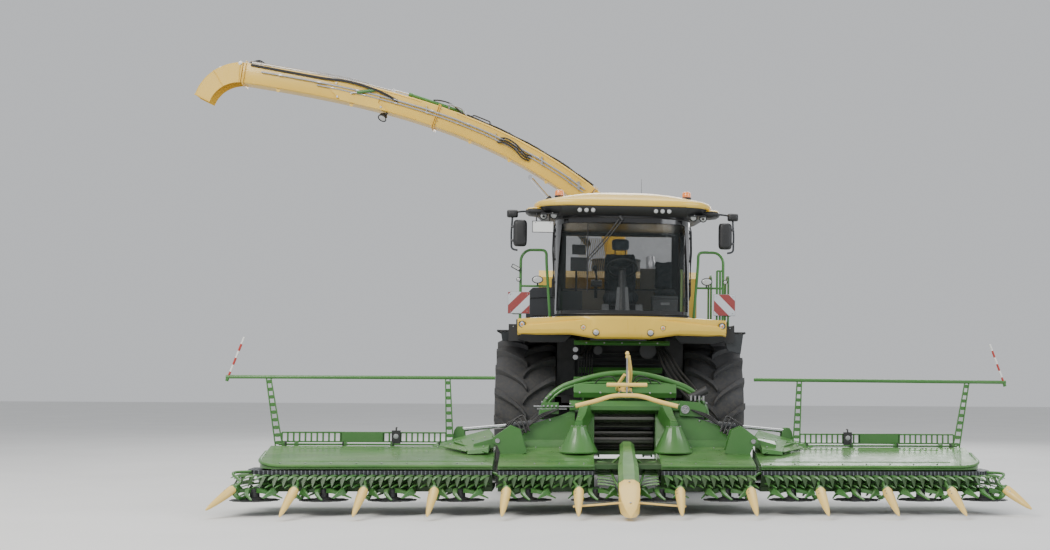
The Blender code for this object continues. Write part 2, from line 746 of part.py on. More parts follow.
def roof():
    """A domed roof of rounded rectangles, closed from its brim to its crown."""
    rings = [
        (CAB_HEAD + SEAM, 0.97, 0.10),
        (CAB_HEAD + 0.05, 1.09, 0.04),
        (CAB_HEAD + 0.11, ROOF_HALF - 0.01, 0.005),
        (CAB_HEAD + 0.16, ROOF_HALF, 0.0),
        (CAB_HEAD + 0.20, ROOF_HALF - 0.05, 0.03),
        (CAB_HEAD + 0.26, 0.86, 0.16),
        (CAB_HEAD + 0.32, 0.54, 0.42),
        (ROOF_TOP, 0.26, 0.70),
    ]
    middle = (ROOF_FRONT + ROOF_REAR) / 2
    reach = (ROOF_REAR - ROOF_FRONT) / 2
    steps = 24
    bm = bmesh.new()
    loops = []
    for z, half, inset in rings:
        loop = []
        for i in range(steps):
            angle = 2 * math.pi * (i + 0.5) / steps
            c = math.cos(angle)
            s = math.sin(angle)
            x = math.copysign(abs(c) ** 0.45, c) * half
            y = middle + math.copysign(abs(s) ** 0.45, s) * (reach - inset)
            loop.append(bm.verts.new((x, y, z)))
        loops.append(loop)
    for first, second in zip(loops, loops[1:]):
        for i in range(steps):
            j = (i + 1) % steps
            bm.faces.new((first[i], first[j], second[j], second[i]))
    bm.faces.new(loops[0])
    bm.faces.new(loops[-1])
    dome = from_bmesh(bm)
    lobes = both(lambda s: side_box(s, (0.92, -1.34, CAB_HEAD + 0.02), (1.27, -0.86, 3.74), 0.03))
    part("cab_roof", "yellow", dome, lobes)


def mirrors():
    for side, name in ((1, "left"), (-1, "right")):
        line = [(1.27 + SEAM, -1.10, 3.69), (1.34, -1.10, 3.69), (1.43, -1.20, 3.66), (1.44, -1.22, 3.20)]
        arm = tube(rounded(at_side(side, line), 0.04), 0.014)
        low = (1.25, -1.30, 3.23)
        high = (1.41, -1.22, 3.56)
        more = [side_box(side, low, high, 0.02)]
        more.append(tube(at_side(side, [(1.44, -1.22, 3.26), (1.36, -1.25, 3.28)]), 0.012))
        more.append(tube(at_side(side, [(1.44, -1.22, 3.52), (1.36, -1.25, 3.50)]), 0.012))
        more.append(side_box(side, (1.36, -1.27, 3.60), (1.50, -1.20, 3.69), 0.02))
        part("mirror_" + name, "anthracite", arm, more)


def cab_inside():
    floor = CAB_FLOOR + SEAM
    base = box((-0.20, -0.60, floor), (0.20, -0.15, floor + 0.24), 0.02)
    more = [
        box((-0.26, -0.72, floor + 0.20), (0.26, -0.14, floor + 0.40), 0.04),
        box((-0.25, -0.24, floor + 0.30), (0.25, -0.08, floor + 0.95), 0.04),
        box((-0.14, -0.20, floor + 0.93), (0.14, -0.10, floor + 1.14), 0.03),
        box((-0.38, -0.62, floor + 0.45), (-0.27, -0.14, floor + 0.54), 0.02),
        box((-0.40, -0.40, floor + 0.20), (-0.20, -0.20, floor + 0.50), 0.02),
        box((0.27, -0.52, floor + 0.45), (0.35, -0.14, floor + 0.50), 0.015),
        box((0.20, -0.30, floor + 0.28), (0.33, -0.20, floor + 0.48), 0.015),
    ]
    part("operator_seat", "seat", base, more)
    base = box((0.42, -0.50, floor), (0.78, -0.02, floor + 0.42), 0.03)
    back = box((0.44, -0.10, floor + 0.36), (0.76, 0.02, floor + 0.86), 0.03)
    part("passenger_seat", "seat", base, [back])
    stem = tube([(0, -1.16, floor + 0.04), (0, -1.08, floor + 0.42), (0, -1.00, floor + 0.62)], 0.05)
    foot = box((-0.16, -1.28, floor), (0.16, -1.02, floor + 0.06), 0.015)
    wheel_centre = Vector((0, -0.98, floor + 0.66))
    normal = Vector((0, 0.55, 0.84)).normalized()
    profile = [(0.195, 0.014), (0.212, 0.0), (0.195, -0.014), (0.178, 0.0)]
    ring = turned(profile, wheel_centre, normal, steps=20)
    across = normal.orthogonal().normalized()
    spokes = []
    for angle in (0.0, math.radians(120), math.radians(240)):
        out = Matrix.Rotation(angle, 3, normal) @ across
        spokes.append(rod(wheel_centre, wheel_centre + out * 0.195, 0.012, sides=6))
    hub = rod(wheel_centre - normal * 0.08, wheel_centre + normal * 0.015, 0.045, sides=12)
    part("steering_column", "anthracite", stem, [foot, ring, hub] + spokes)


# ---------------------------------------------------------------- front panel and platforms

def front_panel():
    """The light bar below the windscreen: a curved band, deeper in the middle."""
    steps = 14
    half = PANEL_HALF
    bm = bmesh.new()
    loops = []
    for i in range(steps + 1):
        x = half * (2 * i / steps - 1)
        t = abs(x) / half
        front = -1.66 + 0.30 * t ** 2.4
        back = front + 0.10
        top = 2.325 - 0.035 * t ** 2
        low = 2.035 + 0.055 * min(1.0, max(0.0, (t - 0.25) / 0.25)) - 0.01 * t
        corners = [(back, low), (front + 0.05, low), (front, low + 0.07)]
        corners += [(front, top - 0.06), (front + 0.04, top), (back, top)]
        loops.append([bm.verts.new((x, y, z)) for y, z in corners])
    count = len(loops[0])
    for first, second in zip(loops, loops[1:]):
        for i in range(count):
            j = (i + 1) % count
            bm.faces.new((first[i], first[j], second[j], second[i]))
    bm.faces.new(loops[0])
    bm.faces.new(loops[-1])
    band = from_bmesh(bm)
    seat = CAB_FLOOR - CAB_FLOOR_THICK - SEAM
    arms = both(lambda s: side_box(s, (0.40, -1.60, 2.12), (0.50, -0.28, seat)))
    part("front_panel", "yellow", band, arms)


def platforms():
    deck_top = PLATFORM_TOP
    inner = CAB_HALF + SEAM
    for side, name in ((1, "left"), (-1, "right")):
        deck = side_box(side, (inner, -1.26, 2.22), (1.36, 0.60, deck_top))
        bearer = side_box(side, (0.52, -0.02, 2.17), (1.34, 0.08, 2.2397))
        guard = side_box(side, (CAB_HALF + 0.02, -1.26, 2.00), (1.46, -1.23, 2.24))
        brow = side_box(side, (CAB_HALF - 0.02, -1.26, 2.125), (1.60, 0.55, 2.15))
        web = side_box(side, (1.28, -1.25, 2.13), (1.34, 0.55, 2.24))
        rail_y = HANDRAIL_Y
        outer_rail = tube(
            rounded(
                at_side(
                    side,
                    [
                        (1.32, rail_y, 2.24),
                        (1.32, rail_y, 3.10),
                        (1.24, rail_y, 3.19),
                        (CAB_HALF + 0.11, rail_y, 3.19),
                        (CAB_HALF + 0.11, rail_y, 3.05),
                        (CAB_HALF + 0.05, rail_y, 2.24),
                    ],
                ),
                0.06,
            ),
            0.018,
        )
        cross = tube(at_side(side, [(1.33, rail_y, 2.72), (CAB_HALF + 0.08, rail_y, 2.72)]), 0.014)
        board = side_box(side, (1.20, rail_y - 0.035, 2.36), (1.475, rail_y - 0.015, 2.64))
        more = [bearer, guard, brow, web, outer_rail, cross, board]
        if side == 1:
            for x in (1.24, 1.28):
                more.append(tube([(x, rail_y, 2.24), (x, rail_y, 2.95)], 0.014))
            walkway = box((1.335, 0.25, 2.22), (1.62, 1.42, deck_top))
            more.append(walkway)
            for x in LADDER_X:
                more.append(box((x - 0.012, 1.10, 0.52), (x + 0.012, 1.42, 2.24)))
                rail = [(x, 1.38, 2.24), (x, 1.38, 2.95), (x, 0.95, 3.05), (x, 0.95, 2.24)]
                more.append(tube(rounded(rail, 0.10), 0.015))
            for i in range(LADDER_STEPS):
                z = 0.55 + i * LADDER_PITCH
                more.append(box((LADDER_X[0], 1.11, z), (LADDER_X[1], 1.41, z + 0.025)))
        part("platform_" + name, "anthracite", deck, more)


# ---------------------------------------------------------------- spout

def heading(angle):
    """Along and up directions of a duct that points to -X, raised by this angle."""
    return Vector((-math.cos(angle), 0, math.sin(angle))), Vector((math.sin(angle), 0, math.cos(angle)))


def elbow_stations():
    steps = 5
    made = []
    for i in range(steps + 1):
        angle = math.pi / 2 + (ELBOW_END - math.pi / 2) * i / steps
        x = -ELBOW_RADIUS * (1 - math.sin(angle))
        z = TURRET_TOP + 0.04 + ELBOW_RADIUS * math.cos(angle)
        made.append(((x, TURRET_Y, z), heading(angle)[1], SPOUT_WIDTH / 2, SPOUT_DEPTH / 2))
    return made


def boom_line(steps=12):
    """The boom's centre line from the elbow: places and angles, bending less and less."""
    place = Vector(elbow_stations()[-1][0]) + heading(ELBOW_END)[0] * SPOUT_SEAM
    made = [(place.copy(), BOOM_START)]
    for i in range(1, steps + 1):
        t = i / steps
        angle = BOOM_END + (BOOM_START - BOOM_END) * (1 - t) ** BOOM_BEND
        middle = (made[-1][1] + angle) / 2
        place += heading(middle)[0] * BOOM_LENGTH / steps
        made.append((place.copy(), angle))
    return made


def boom_point(line, share, drop):
    """A place beside the boom's centre line, drop below it, at a share of its length."""
    place, angle = line[round(share * (len(line) - 1))]
    return place - heading(angle)[1] * drop


def spout():
    stations = elbow_stations()
    line = boom_line()
    pivot("spout_slew", (0, TURRET_Y, TURRET_TOP))
    flange = turned(
        [(TURRET_RADIUS, 0.06), (TURRET_RADIUS, 0.0), (0.13, 0.0), (0.13, 0.06)],
        (0, TURRET_Y, TURRET_TOP + SEAM),
        (0, 0, 1),
    )
    end = Vector(stations[-1][0])
    back, up = heading(ELBOW_END)
    lift_at = end - up * (SPOUT_DEPTH / 2 + 0.07) + back * (SPOUT_SEAM / 2)
    pivot("spout_lift", lift_at, "spout_slew")
    # Ears on the elbow outside the boom's ears, on one pin.
    half = SPOUT_WIDTH / 2
    ear = 0.02
    ear_radius = 0.055
    elbow_ears = []
    boom_ears = []

    def disc(place, ends):
        return rod((place.x, ends[0], place.z), (place.x, ends[1], place.z), ear_radius, sides=12)

    for side in (1, -1):
        y = TURRET_Y + side * (half - 0.09)
        span_y = span(y, y + side * ear)
        root = lift_at - back * 0.12 + up * 0.05
        elbow_ears += [disc(lift_at, span_y), disc(root, span_y)]
        elbow_ears.append(slab(root, lift_at, span_y, ear_radius * 0.9))
        inner_y = span(y - side * SEAM, y - side * (ear + SEAM))
        root = lift_at + back * 0.14 + up * 0.06
        boom_ears += [disc(lift_at, inner_y), disc(root, inner_y)]
        boom_ears.append(slab(root, lift_at, inner_y, ear_radius * 0.9))

    base_pin = Vector((-0.42, TURRET_Y, 3.52))
    eye = boom_point(line, 0.17, SPOUT_DEPTH / 2 + 0.07)
    lug_end = Vector((-0.16, TURRET_Y, 3.56))
    bracket = []
    hanger = []
    for side in (1, -1):
        fork = LIFT_RADIUS + 0.003 + SEAM
        y = span(TURRET_Y + side * fork, TURRET_Y + side * (fork + 0.02))
        bracket.append(slab(lug_end, base_pin, y, 0.05))
        bracket.append(rod((base_pin.x, y[0], base_pin.z), (base_pin.x, y[1], base_pin.z), 0.05, sides=10))
        top = boom_point(line, 0.17, SPOUT_DEPTH / 2 - 0.02)
        hanger.append(slab(top, eye, y, 0.05))
    elbow_shapes = [flange] + elbow_ears + bracket
    part("spout_elbow", "yellow", duct(stations, SPOUT_WALL), elbow_shapes, on="spout_slew")

    steps = len(line) - 1
    sections = []
    for i, (place, angle) in enumerate(line):
        t = i / steps
        width = SPOUT_WIDTH + (SPOUT_TIP_WIDTH - SPOUT_WIDTH) * t
        depth = SPOUT_DEPTH + (SPOUT_TIP_DEPTH - SPOUT_DEPTH) * t
        if i == 0:
            angle = ELBOW_END
        sections.append((place, heading(angle)[1], width / 2, depth / 2))
    part("spout_boom", "yellow", duct(sections, SPOUT_WALL), boom_ears + hanger, on="spout_lift")

    tip, tip_angle = line[-1]
    back, up = heading(tip_angle)
    hinge_at = tip + up * (SPOUT_TIP_DEPTH / 2 + 0.03) + back * 0.006
    pivot("spout_flap", hinge_at, "spout_lift")
    fixed = []
    leaf = []
    for y in (TURRET_Y - 0.10, TURRET_Y + 0.10):
        for low, high in ((y - 0.085, y - 0.03 - SEAM), (y + 0.03 + SEAM, y + 0.085)):
            fixed.append(rod((hinge_at.x, low, hinge_at.z), (hinge_at.x, high, hinge_at.z), 0.02, sides=8))
            root = tip - back * 0.10 + up * (SPOUT_TIP_DEPTH / 2 - 0.002)
            fixed.append(slab(root, hinge_at, (low, high), 0.008))
        low, high = y - 0.03, y + 0.03
        leaf.append(rod((hinge_at.x, low, hinge_at.z), (hinge_at.x, high, hinge_at.z), 0.02, sides=8))
        root = tip + back * 0.10 + up * (SPOUT_TIP_DEPTH / 2 - 0.024)
        leaf.append(slab(root, hinge_at, (low, high), 0.008))
    join(bpy.data.objects["spout_boom"], fixed)
    place = tip + back * 0.012
    angle = tip_angle
    flap_steps = 5
    flap = []
    for i in range(flap_steps + 1):
        t = i / flap_steps
        depth = SPOUT_TIP_DEPTH * (1 - 0.22 * t)
        flap.append((place.copy(), heading(angle)[1], SPOUT_TIP_WIDTH / 2, depth / 2))
        angle -= math.radians(72) / flap_steps
        place += heading(angle)[0] * FLAP_ARC / (flap_steps + 1.6)
    part("spout_flap", "yellow", duct(flap, SPOUT_WALL), leaf, on="spout_flap")
    cylinder("spout_lift", base_pin, eye, LIFT_RADIUS, 0.026, (0.30, 0.70), "spout_slew", "green")


def slab(start, end, ends, half, axis="Y"):
    """A flat bar from start to end, standing on edge between two places on an axis."""
    start = Vector(start)
    end = Vector(end)
    along = (end - start).normalized()
    first, second = {"X": (1, 2), "Y": (0, 2)}[axis]
    across = Vector((0, 0, 0))
    across[first] = -along[second] * half
    across[second] = along[first] * half
    corners = (start + across, end + across, end - across, start - across)
    return plate([(c[first], c[second]) for c in corners], axis, *ends)


def cylinder(name, base, eye, radius, rod_radius, shares, on, colour):
    """A hydraulic cylinder between a base pin and a rod eye, both with cross eyes along the
    axis of their pins. The rod's end runs inside the barrel's bore. shares are the places of
    the rod's inner end and of the barrel's mouth, as parts of the length between the pins."""
    base = Vector(base)
    eye = Vector(eye)
    along = (eye - base).normalized()
    length = (eye - base).length
    pin = Vector((0, 1, 0)) if abs(along.y) < 0.5 else Vector((1, 0, 0))
    eye_half = radius + 0.003
    rod_start = base + along * length * shares[0]
    barrel_end = base + along * length * shares[1]
    pivot(name + "_barrel", base, on)
    barrel = rod(base, barrel_end, radius, sides=14)
    barrel_eye = rod(base - pin * eye_half, base + pin * eye_half, radius * 0.9, sides=10)
    bore = rod(base + along * 0.10, barrel_end + along * 0.05, rod_radius + 0.0006, sides=14)
    part(name + "_barrel", colour, barrel, [barrel_eye], [bore], on=name + "_barrel")
    piston_rod = rod(rod_start, eye, rod_radius, sides=14)
    rod_eye = rod(eye - pin * eye_half, eye + pin * eye_half, radius * 0.8, sides=10)
    part(name + "_rod", "chrome", piston_rod, [rod_eye], on=name + "_barrel")


# ---------------------------------------------------------------- feeder

def feeder():
    pivot("feeder_lift", FEEDER_PIVOT)
    pin = FEEDER_PIVOT
    half = FEEDER_HALF
    inner = CHANNEL_HALF + 0.011
    outline = [
        (FEEDER_FRONT, FEEDER_BOTTOM),
        (FEEDER_FRONT, FEEDER_TOP),
        (-1.40, FEEDER_TOP),
        (FEEDER_REAR, 1.34),
        (FEEDER_REAR, 0.84),
        (-1.30, FEEDER_BOTTOM + 0.02),
    ]
    hollow = [
        (FEEDER_FRONT - 0.1, FEEDER_BOTTOM + 0.04),
        (FEEDER_FRONT - 0.1, FEEDER_TOP - 0.04),
        (-1.40, FEEDER_TOP - 0.04),
        (FEEDER_REAR + 0.1, 1.31),
        (FEEDER_REAR + 0.1, 0.89),
        (-1.30, FEEDER_BOTTOM + 0.06),
    ]
    base = plate(outline, "X", -half, half)
    cut = plate(hollow, "X", -inner, inner)
    ears = []
    for side in (1, -1):
        x = span(side * inner, side * half)
        ears.append(plate([(-0.90, 1.00), (-0.90, 1.20), (pin.y, 1.195), (pin.y, 1.005)], "X", *x))
        ears.append(rod((x[0], pin.y, pin.z), (x[1], pin.y, pin.z), 0.11, sides=16))
    bore_radius = FEEDER_PIN_RADIUS / math.cos(math.pi / PIN_SIDES) + SEAM
    ends = ((0.3, pin.y, pin.z), (0.6, pin.y, pin.z))
    bores = both(lambda s: rod(*at_side(s, ends), bore_radius, sides=PIN_SIDES))
    seats = []
    for side in (1, -1):
        for _, y, z, _ in FEED_ROLLERS:
            seats.append(rod((side * (inner - 0.03), y, z), (side * (half - 0.01), y, z), 0.045, sides=12))
    lugs = []
    fork = FEEDER_LIFT_RADIUS + 0.003 + SEAM
    for side in (1, -1):
        for low in (LIFT_X - fork - 0.02, LIFT_X + fork):
            lugs.append(side_box(side, (low, -1.30, 0.52), (low + 0.02, -1.12, 0.70)))
    housing = part("feeder_housing", "green", base, [], [cut], on="feeder_lift")
    join(housing, ears + seats + lugs)
    join(housing, bores, "DIFFERENCE")
    for name, y, z, radius in FEED_ROLLERS:
        reach = inner - 0.03 - SEAM
        pivot("roller_" + name, (0, y, z), "feeder_lift")
        points = []
        for i in range(ROLLER_TEETH):
            for share, r in ((0.0, radius), (0.35, radius), (0.45, radius - 0.03), (0.9, radius - 0.03)):
                angle = 2 * math.pi * (i + share) / ROLLER_TEETH
                points.append((y + r * math.cos(angle), z + r * math.sin(angle)))
        part("feed_roller_" + name, "steel", plate(points, "X", -reach, reach), on="roller_" + name)


def lift_cylinders():
    for side, name in ((1, "left"), (-1, "right")):
        shift = Vector((side * LIFT_X, 0, 0))
        cylinder(
            "feeder_lift_" + name,
            LIFT_BASE + shift,
            LIFT_EYE + shift,
            FEEDER_LIFT_RADIUS,
            0.024,
            (0.30, 0.62),
            "machine",
            "anthracite",
        )


# ---------------------------------------------------------------- header

def deck_outline():
    """The side outline of a header section: rear wall, sloping deck, front lip and floor."""
    return [
        (DECK_REAR, 0.30),
        (DECK_REAR, DECK_HIGH),
        (DECK_FRONT, DECK_LOW),
        (DECK_FRONT - 0.02, DECK_LOW - 0.03),
        (DECK_FRONT, DECK_LOW - 0.08),
        (DECK_FRONT + 0.12, 0.30),
        (DECK_FRONT + 0.20, 0.24),
        (DECK_REAR - 0.20, 0.24),
    ]


def tine_tray(x_low, x_high, z_low, z_high):
    """The collector's row of tines as one toothed plate."""
    count = round((x_high - x_low) / TINE_PITCH)
    pitch = (x_high - x_low) / count
    points = [(x_low, DECK_FRONT + 0.16)]
    for i in range(count):
        left = x_low + i * pitch
        bow = 0.02 * math.sin(math.pi * (i + 0.5) / count)
        root = DECK_FRONT - 0.09 - bow
        tip = DECK_FRONT - 0.27 - bow
        tooth = ((0.1, root), (0.4, tip), (0.6, tip), (0.9, root))
        points += [(left + share * pitch, y) for share, y in tooth]
    points.append((x_high, DECK_FRONT + 0.16))
    bm = bmesh.new()
    face = bm.faces.new([bm.verts.new((x, y, z_low)) for x, y in points])
    grown = bmesh.ops.extrude_face_region(bm, geom=[face])["geom"]
    bmesh.ops.translate(
        bm, vec=(0, 0, z_high - z_low), verts=[g for g in grown if isinstance(g, bmesh.types.BMVert)]
    )
    return from_bmesh(bm)


def divider(x, splay, length=1.0):
    """A divider: a bent tube from under the deck to a pointed cone."""
    root = Vector((x, DECK_FRONT + 0.24, 0.29))
    knee = Vector((x, DECK_FRONT - 0.22, 0.235))
    neck = Vector((x + splay * 0.3, DECK_FRONT - 0.46 * length, 0.30))
    tip = Vector((x + splay, TIP_FRONT + (1 - length) * 0.8, TIP_LOW + (1 - length) * 0.12))
    return [
        tube(rounded([root, knee, neck], 0.10), 0.024, detail=1),
        rod(neck + Vector((0, 0.03, 0.02)), tip, 0.055, 0.008, sides=8),
    ]


def cutting_disc(x):
    y = DECK_FRONT - 0.04
    return [
        rod((x, y, 0.155), (x, y, 0.175), DISC_RADIUS, sides=12),
        rod((x, y + 0.02, 0.16), (x, y + 0.02, 0.30), 0.07, sides=6),
        box((x - 0.05, y, 0.255), (x + 0.05, y + 0.40, 0.285)),
    ]


def header_centre():
    inner = THROAT_HALF + 0.02
    side_decks = both(lambda s: plate(deck_outline(), "X", *span(s * inner, s * CENTRE_HALF)))
    more = side_decks[1:]
    floor = THROAT_HALF + 0.1
    more.append(box((-floor, DECK_FRONT + 0.05, 0.50), (floor, HEADER_REAR + 0.05, 0.56)))
    back = FEEDER_FRONT - SEAM
    more.append(box((-CENTRE_HALF, HEADER_REAR - 0.10, 0.36), (CENTRE_HALF, HEADER_REAR + 0.10, 0.56)))
    cheek = ((THROAT_HALF + 0.01, HEADER_REAR - 0.06, 0.40), (THROAT_HALF + 0.15, back, 1.44))
    more += both(lambda s: side_box(s, *cheek))
    more.append(box((-0.62, HEADER_REAR - 0.04, 1.30), (0.62, HEADER_REAR + 0.10, 1.46)))
    more.append(box((-0.60, HEADER_REAR - 0.10, 1.16), (0.60, HEADER_REAR + 0.02, 1.27)))
    more += both(lambda s: side_box(s, (0.60, DECK_REAR - 0.02, 0.50), (0.75, HEADER_REAR - 0.02, 0.80)))
    more += both(lambda s: side_box(s, (0.30, DECK_REAR - 0.02, 0.42), (1.45, HEADER_REAR - 0.05, 0.56)))
    more += both(lambda s: rod((s * 0.56, -2.92, 0.62), (s * 0.56, -2.92, 0.97), 0.22, 0.075, sides=16))
    more += both(lambda s: rod((s * 0.56, -2.92, 0.90), (s * 0.56, -2.92, 1.10), 0.04, sides=10))
    more += both(lambda s: side_box(s, (0.52, -2.94, 1.04), (0.60, HEADER_REAR - 0.05, 1.12)))
    more += both(lambda s: side_box(s, (0.50, HEADER_REAR - 0.08, 0.50), (0.62, HEADER_REAR, 1.24)))
    half_hoop = [(x, HOOP_Y, z) for x, z in ((1.05, 0.52), (1.0, 1.22), (0.80, 1.42), (0.25, 1.62))]
    hoop = at_side(-1, half_hoop) + half_hoop[::-1]
    more.append(tube(rounded(hoop, 0.12), 0.035))
    # Hinge towers of the wings, with a fork for each wing's eye.
    for side in (1, -1):
        for y in WING_EARS:
            more.append(side_box(side, (1.24, y - 0.03, 0.40), (1.44, y + 0.03, 0.80)))
            more.append(plate_eye(side, y - 0.03, y + 0.03))
        fork = FOLD_RADIUS + 0.003 + SEAM
        for y in (FOLD_BASE.y - fork - 0.02, FOLD_BASE.y + fork):
            low = (FOLD_BASE.x - 0.05, y, 0.42)
            more.append(side_box(side, low, (FOLD_BASE.x + 0.05, y + 0.02, FOLD_BASE.z + 0.04)))
    more.append(wedge_snout())
    tip = Vector((0, TIP_FRONT - 0.10, TIP_LOW))
    more.append(rod((0, -4.08, 0.27), tip, 0.10, 0.012, sides=8))
    more.append(tube([(-0.60, -4.20, 0.16), (0.60, -4.20, 0.16)], 0.012, detail=0))
    for side in (1, -1):
        more += divider(side * 0.56, 0.0)
        more += divider(side * 1.34, side * 0.04)
        for x in (0.375, 1.125):
            more += cutting_disc(side * x)
        low, high = span(side * (THROAT_HALF - 0.20), side * (CENTRE_HALF - 0.02))
        more.append(tine_tray(low, high, 0.34, 0.38))
    part("header_centre", "green", side_decks[0], more, on="feeder_lift")


def plate_eye(side, y_low, y_high):
    """A round eye on the wing's fold axis."""
    x = side * WING_PIVOT.x
    return slab_eye(x, WING_PIVOT.z, y_low, y_high, 0.06, (side * 1.34, 0.76))


def slab_eye(x, z, y_low, y_high, radius, root):
    """A flat bar from a root to an eye at (x, z), with its end round."""
    steps = 7
    toward = math.atan2(z - root[1], x - root[0])
    points = []
    for i in range(steps):
        angle = toward - math.pi / 2 + math.pi * i / (steps - 1)
        points.append((x + radius * math.cos(angle), z + radius * math.sin(angle)))
    for sign in (1, -1):
        angle = toward + sign * math.pi / 2
        points.append((root[0] + radius * math.cos(angle), root[1] + radius * math.sin(angle)))
    return plate(points, "Y", y_low, y_high)


def wedge_snout():
    """The centre divider: a ridge from the intake down to its tip."""
    sections = [(-3.05, 0.03, 0.80), (-3.40, 0.06, 0.74), (-3.85, 0.12, 0.46), (-4.20, 0.115, 0.33)]
    bm = bmesh.new()
    loops = []
    for y, half, top in sections:
        low = 0.24 if y < -3.5 else 0.52
        edge = top - 0.04
        corners = ((-half, low), (half, low), (half, edge), (0, top), (-half, edge))
        loops.append([bm.verts.new((x, y, z)) for x, z in corners])
    for first, second in zip(loops, loops[1:]):
        for i in range(5):
            j = (i + 1) % 5
            bm.faces.new((first[i], first[j], second[j], second[i]))
    bm.faces.new(loops[0])
    bm.faces.new(loops[-1])
    return from_bmesh(bm)


def crop_pusher():
    """The yellow crop press: a stem, a short upper bar and a wide lower bar."""
    rear = HEADER_REAR - 0.04 - SEAM
    foot = box((-0.07, rear - 0.12, 1.34), (0.07, rear, 1.42))
    stem = tube([(0, HEADER_REAR - 0.12, 1.38), (0, -2.80, 1.62), (0, -3.02, 1.82)], 0.03)
    stay = tube([(0, -3.00, 1.80), (0, -3.00, 1.34)], 0.025)
    upper = tube([(-0.25, -3.00, 1.46), (0.25, -3.00, 1.46)], 0.022)
    half_bar = [(0.60, -3.06, 1.22), (0.35, -3.02, 1.27)]
    bar = at_side(-1, half_bar) + [(0, -3.00, 1.34)] + half_bar[::-1]
    lower = tube(rounded(bar, 0.1), 0.028)
    part("crop_pusher", "yellow", foot, [stem, stay, upper, lower], on="feeder_lift")


def wings():
    for side, name in ((1, "left"), (-1, "right")):
        pivot("wing_" + name, (side * WING_PIVOT.x, WING_PIVOT.y, WING_PIVOT.z), "feeder_lift")
        low, high = span(side * WING_INNER, side * WING_OUTER)
        body = plate(deck_outline(), "X", low, high)
        inner = WING_OUTER - 0.05
        outer = WING_OUTER + 0.14
        corners = [(inner, DECK_REAR - 0.05), (outer, DECK_REAR - 0.30)]
        corners += [(outer, DECK_FRONT + 0.25), (inner, DECK_FRONT + 0.02)]
        cap = plate([(side * x, y) for x, y in corners], "Z", 0.30, 0.50)
        more = [cap]
        y_low = WING_EARS[1] + 0.03 + SEAM
        y_high = WING_EARS[0] - 0.03 - SEAM
        more.append(slab_eye(side * WING_PIVOT.x, WING_PIVOT.z, y_low, y_high, 0.055, (side * 1.66, 0.74)))
        more.append(side_box(side, (1.60, y_low, 0.60), (1.78, y_high, 0.80)))
        beam_low = (WING_INNER + 0.02, DECK_REAR - 0.02, 0.42)
        beam_high = (4.15, HEADER_REAR - 0.12, 0.60)
        more.append(side_box(side, beam_low, beam_high))
        fork = FOLD_RADIUS + 0.003 + SEAM
        near = FOLD_EYE.x - 0.06
        far = FOLD_EYE.x + 0.06
        for y in (FOLD_EYE.y - fork - 0.02, FOLD_EYE.y + fork):
            more.append(side_box(side, (near, y, 0.50), (far, y + 0.02, FOLD_EYE.z + 0.04)))
        more.append(side_box(side, (near, DECK_REAR - 0.02, 0.45), (far, FOLD_EYE.y + 0.065, 0.60)))
        for x, splay in ((2.12, 0.05), (2.87, 0.08), (3.60, 0.11)):
            more += divider(side * x, side * splay)
        more += divider(side * 4.22, side * 0.32, 0.62)
        for i in range(4):
            more += cutting_disc(side * (1.875 + ROW_SPACING * i))
        more.append(tine_tray(*span(side * (WING_INNER + 0.01), side * (WING_OUTER + 0.10)), 0.34, 0.38))
        part("header_wing_" + name, "green", body, more, on="wing_" + name)

        rail_y = DECK_REAR + 0.13
        top = tube(at_side(side, [(1.56, rail_y, 1.53), (4.70, rail_y, 1.52)]), GUARD_RADIUS)
        posts = []
        for x_top, x_low in ((2.12, 2.08), (4.21, 4.06)):
            ends = (rail_y - 0.012, rail_y + 0.012)
            posts.append(slab((side * x_low, 0, 0.62), (side * x_top, 0, 1.53), ends, 0.045))
        sheet = side_box(side, (2.10, rail_y - 0.008, 0.75), (4.10, rail_y + 0.008, 0.88))
        foot = side_box(side, (2.02, rail_y - 0.10, 0.60 + SEAM), (4.14, rail_y + 0.02, 0.66))
        marker = tube(at_side(side, [(4.68, rail_y, 1.52), (4.50, rail_y, 1.99)]), 0.014)
        part("crop_guard_" + name, "green", top, posts + [sheet, foot, marker], on="wing_" + name)
        cylinder(
            "fold_" + name,
            (side * FOLD_BASE.x, FOLD_BASE.y, FOLD_BASE.z),
            (side * FOLD_EYE.x, FOLD_EYE.y, FOLD_EYE.z),
            FOLD_RADIUS,
            0.025,
            (0.498, 0.5475),
            "feeder_lift",
            "green",
        )


# ---------------------------------------------------------------- build

chassis()
front_axle()
rear_axle()
engine()
crop_channel()
hood()
cab()
roof()
mirrors()
cab_inside()
front_panel()
platforms()
for side_sign, side_name in ((1, "left"), (-1, "right")):
    wheel(
        "front_wheel_" + side_name,
        (side_sign * FRONT_TRACK_HALF, 0, FRONT_TYRE_RADIUS),
        side_sign,
        FRONT_RIM_RADIUS,
        FRONT_TYRE_RADIUS,
        FRONT_TYRE_WIDTH,
    )
    wheel(
        "rear_wheel_" + side_name,
        (side_sign * REAR_TRACK_HALF, WHEELBASE, REAR_TYRE_RADIUS),
        side_sign,
        REAR_RIM_RADIUS,
        REAR_TYRE_RADIUS,
        REAR_TYRE_WIDTH,
        on="steer_" + side_name,
    )
spout()
feeder()
lift_cylinders()
header_centre()
crop_pusher()
wings()
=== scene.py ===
import math

import bmesh
import bpy
from mathutils import Matrix, Vector


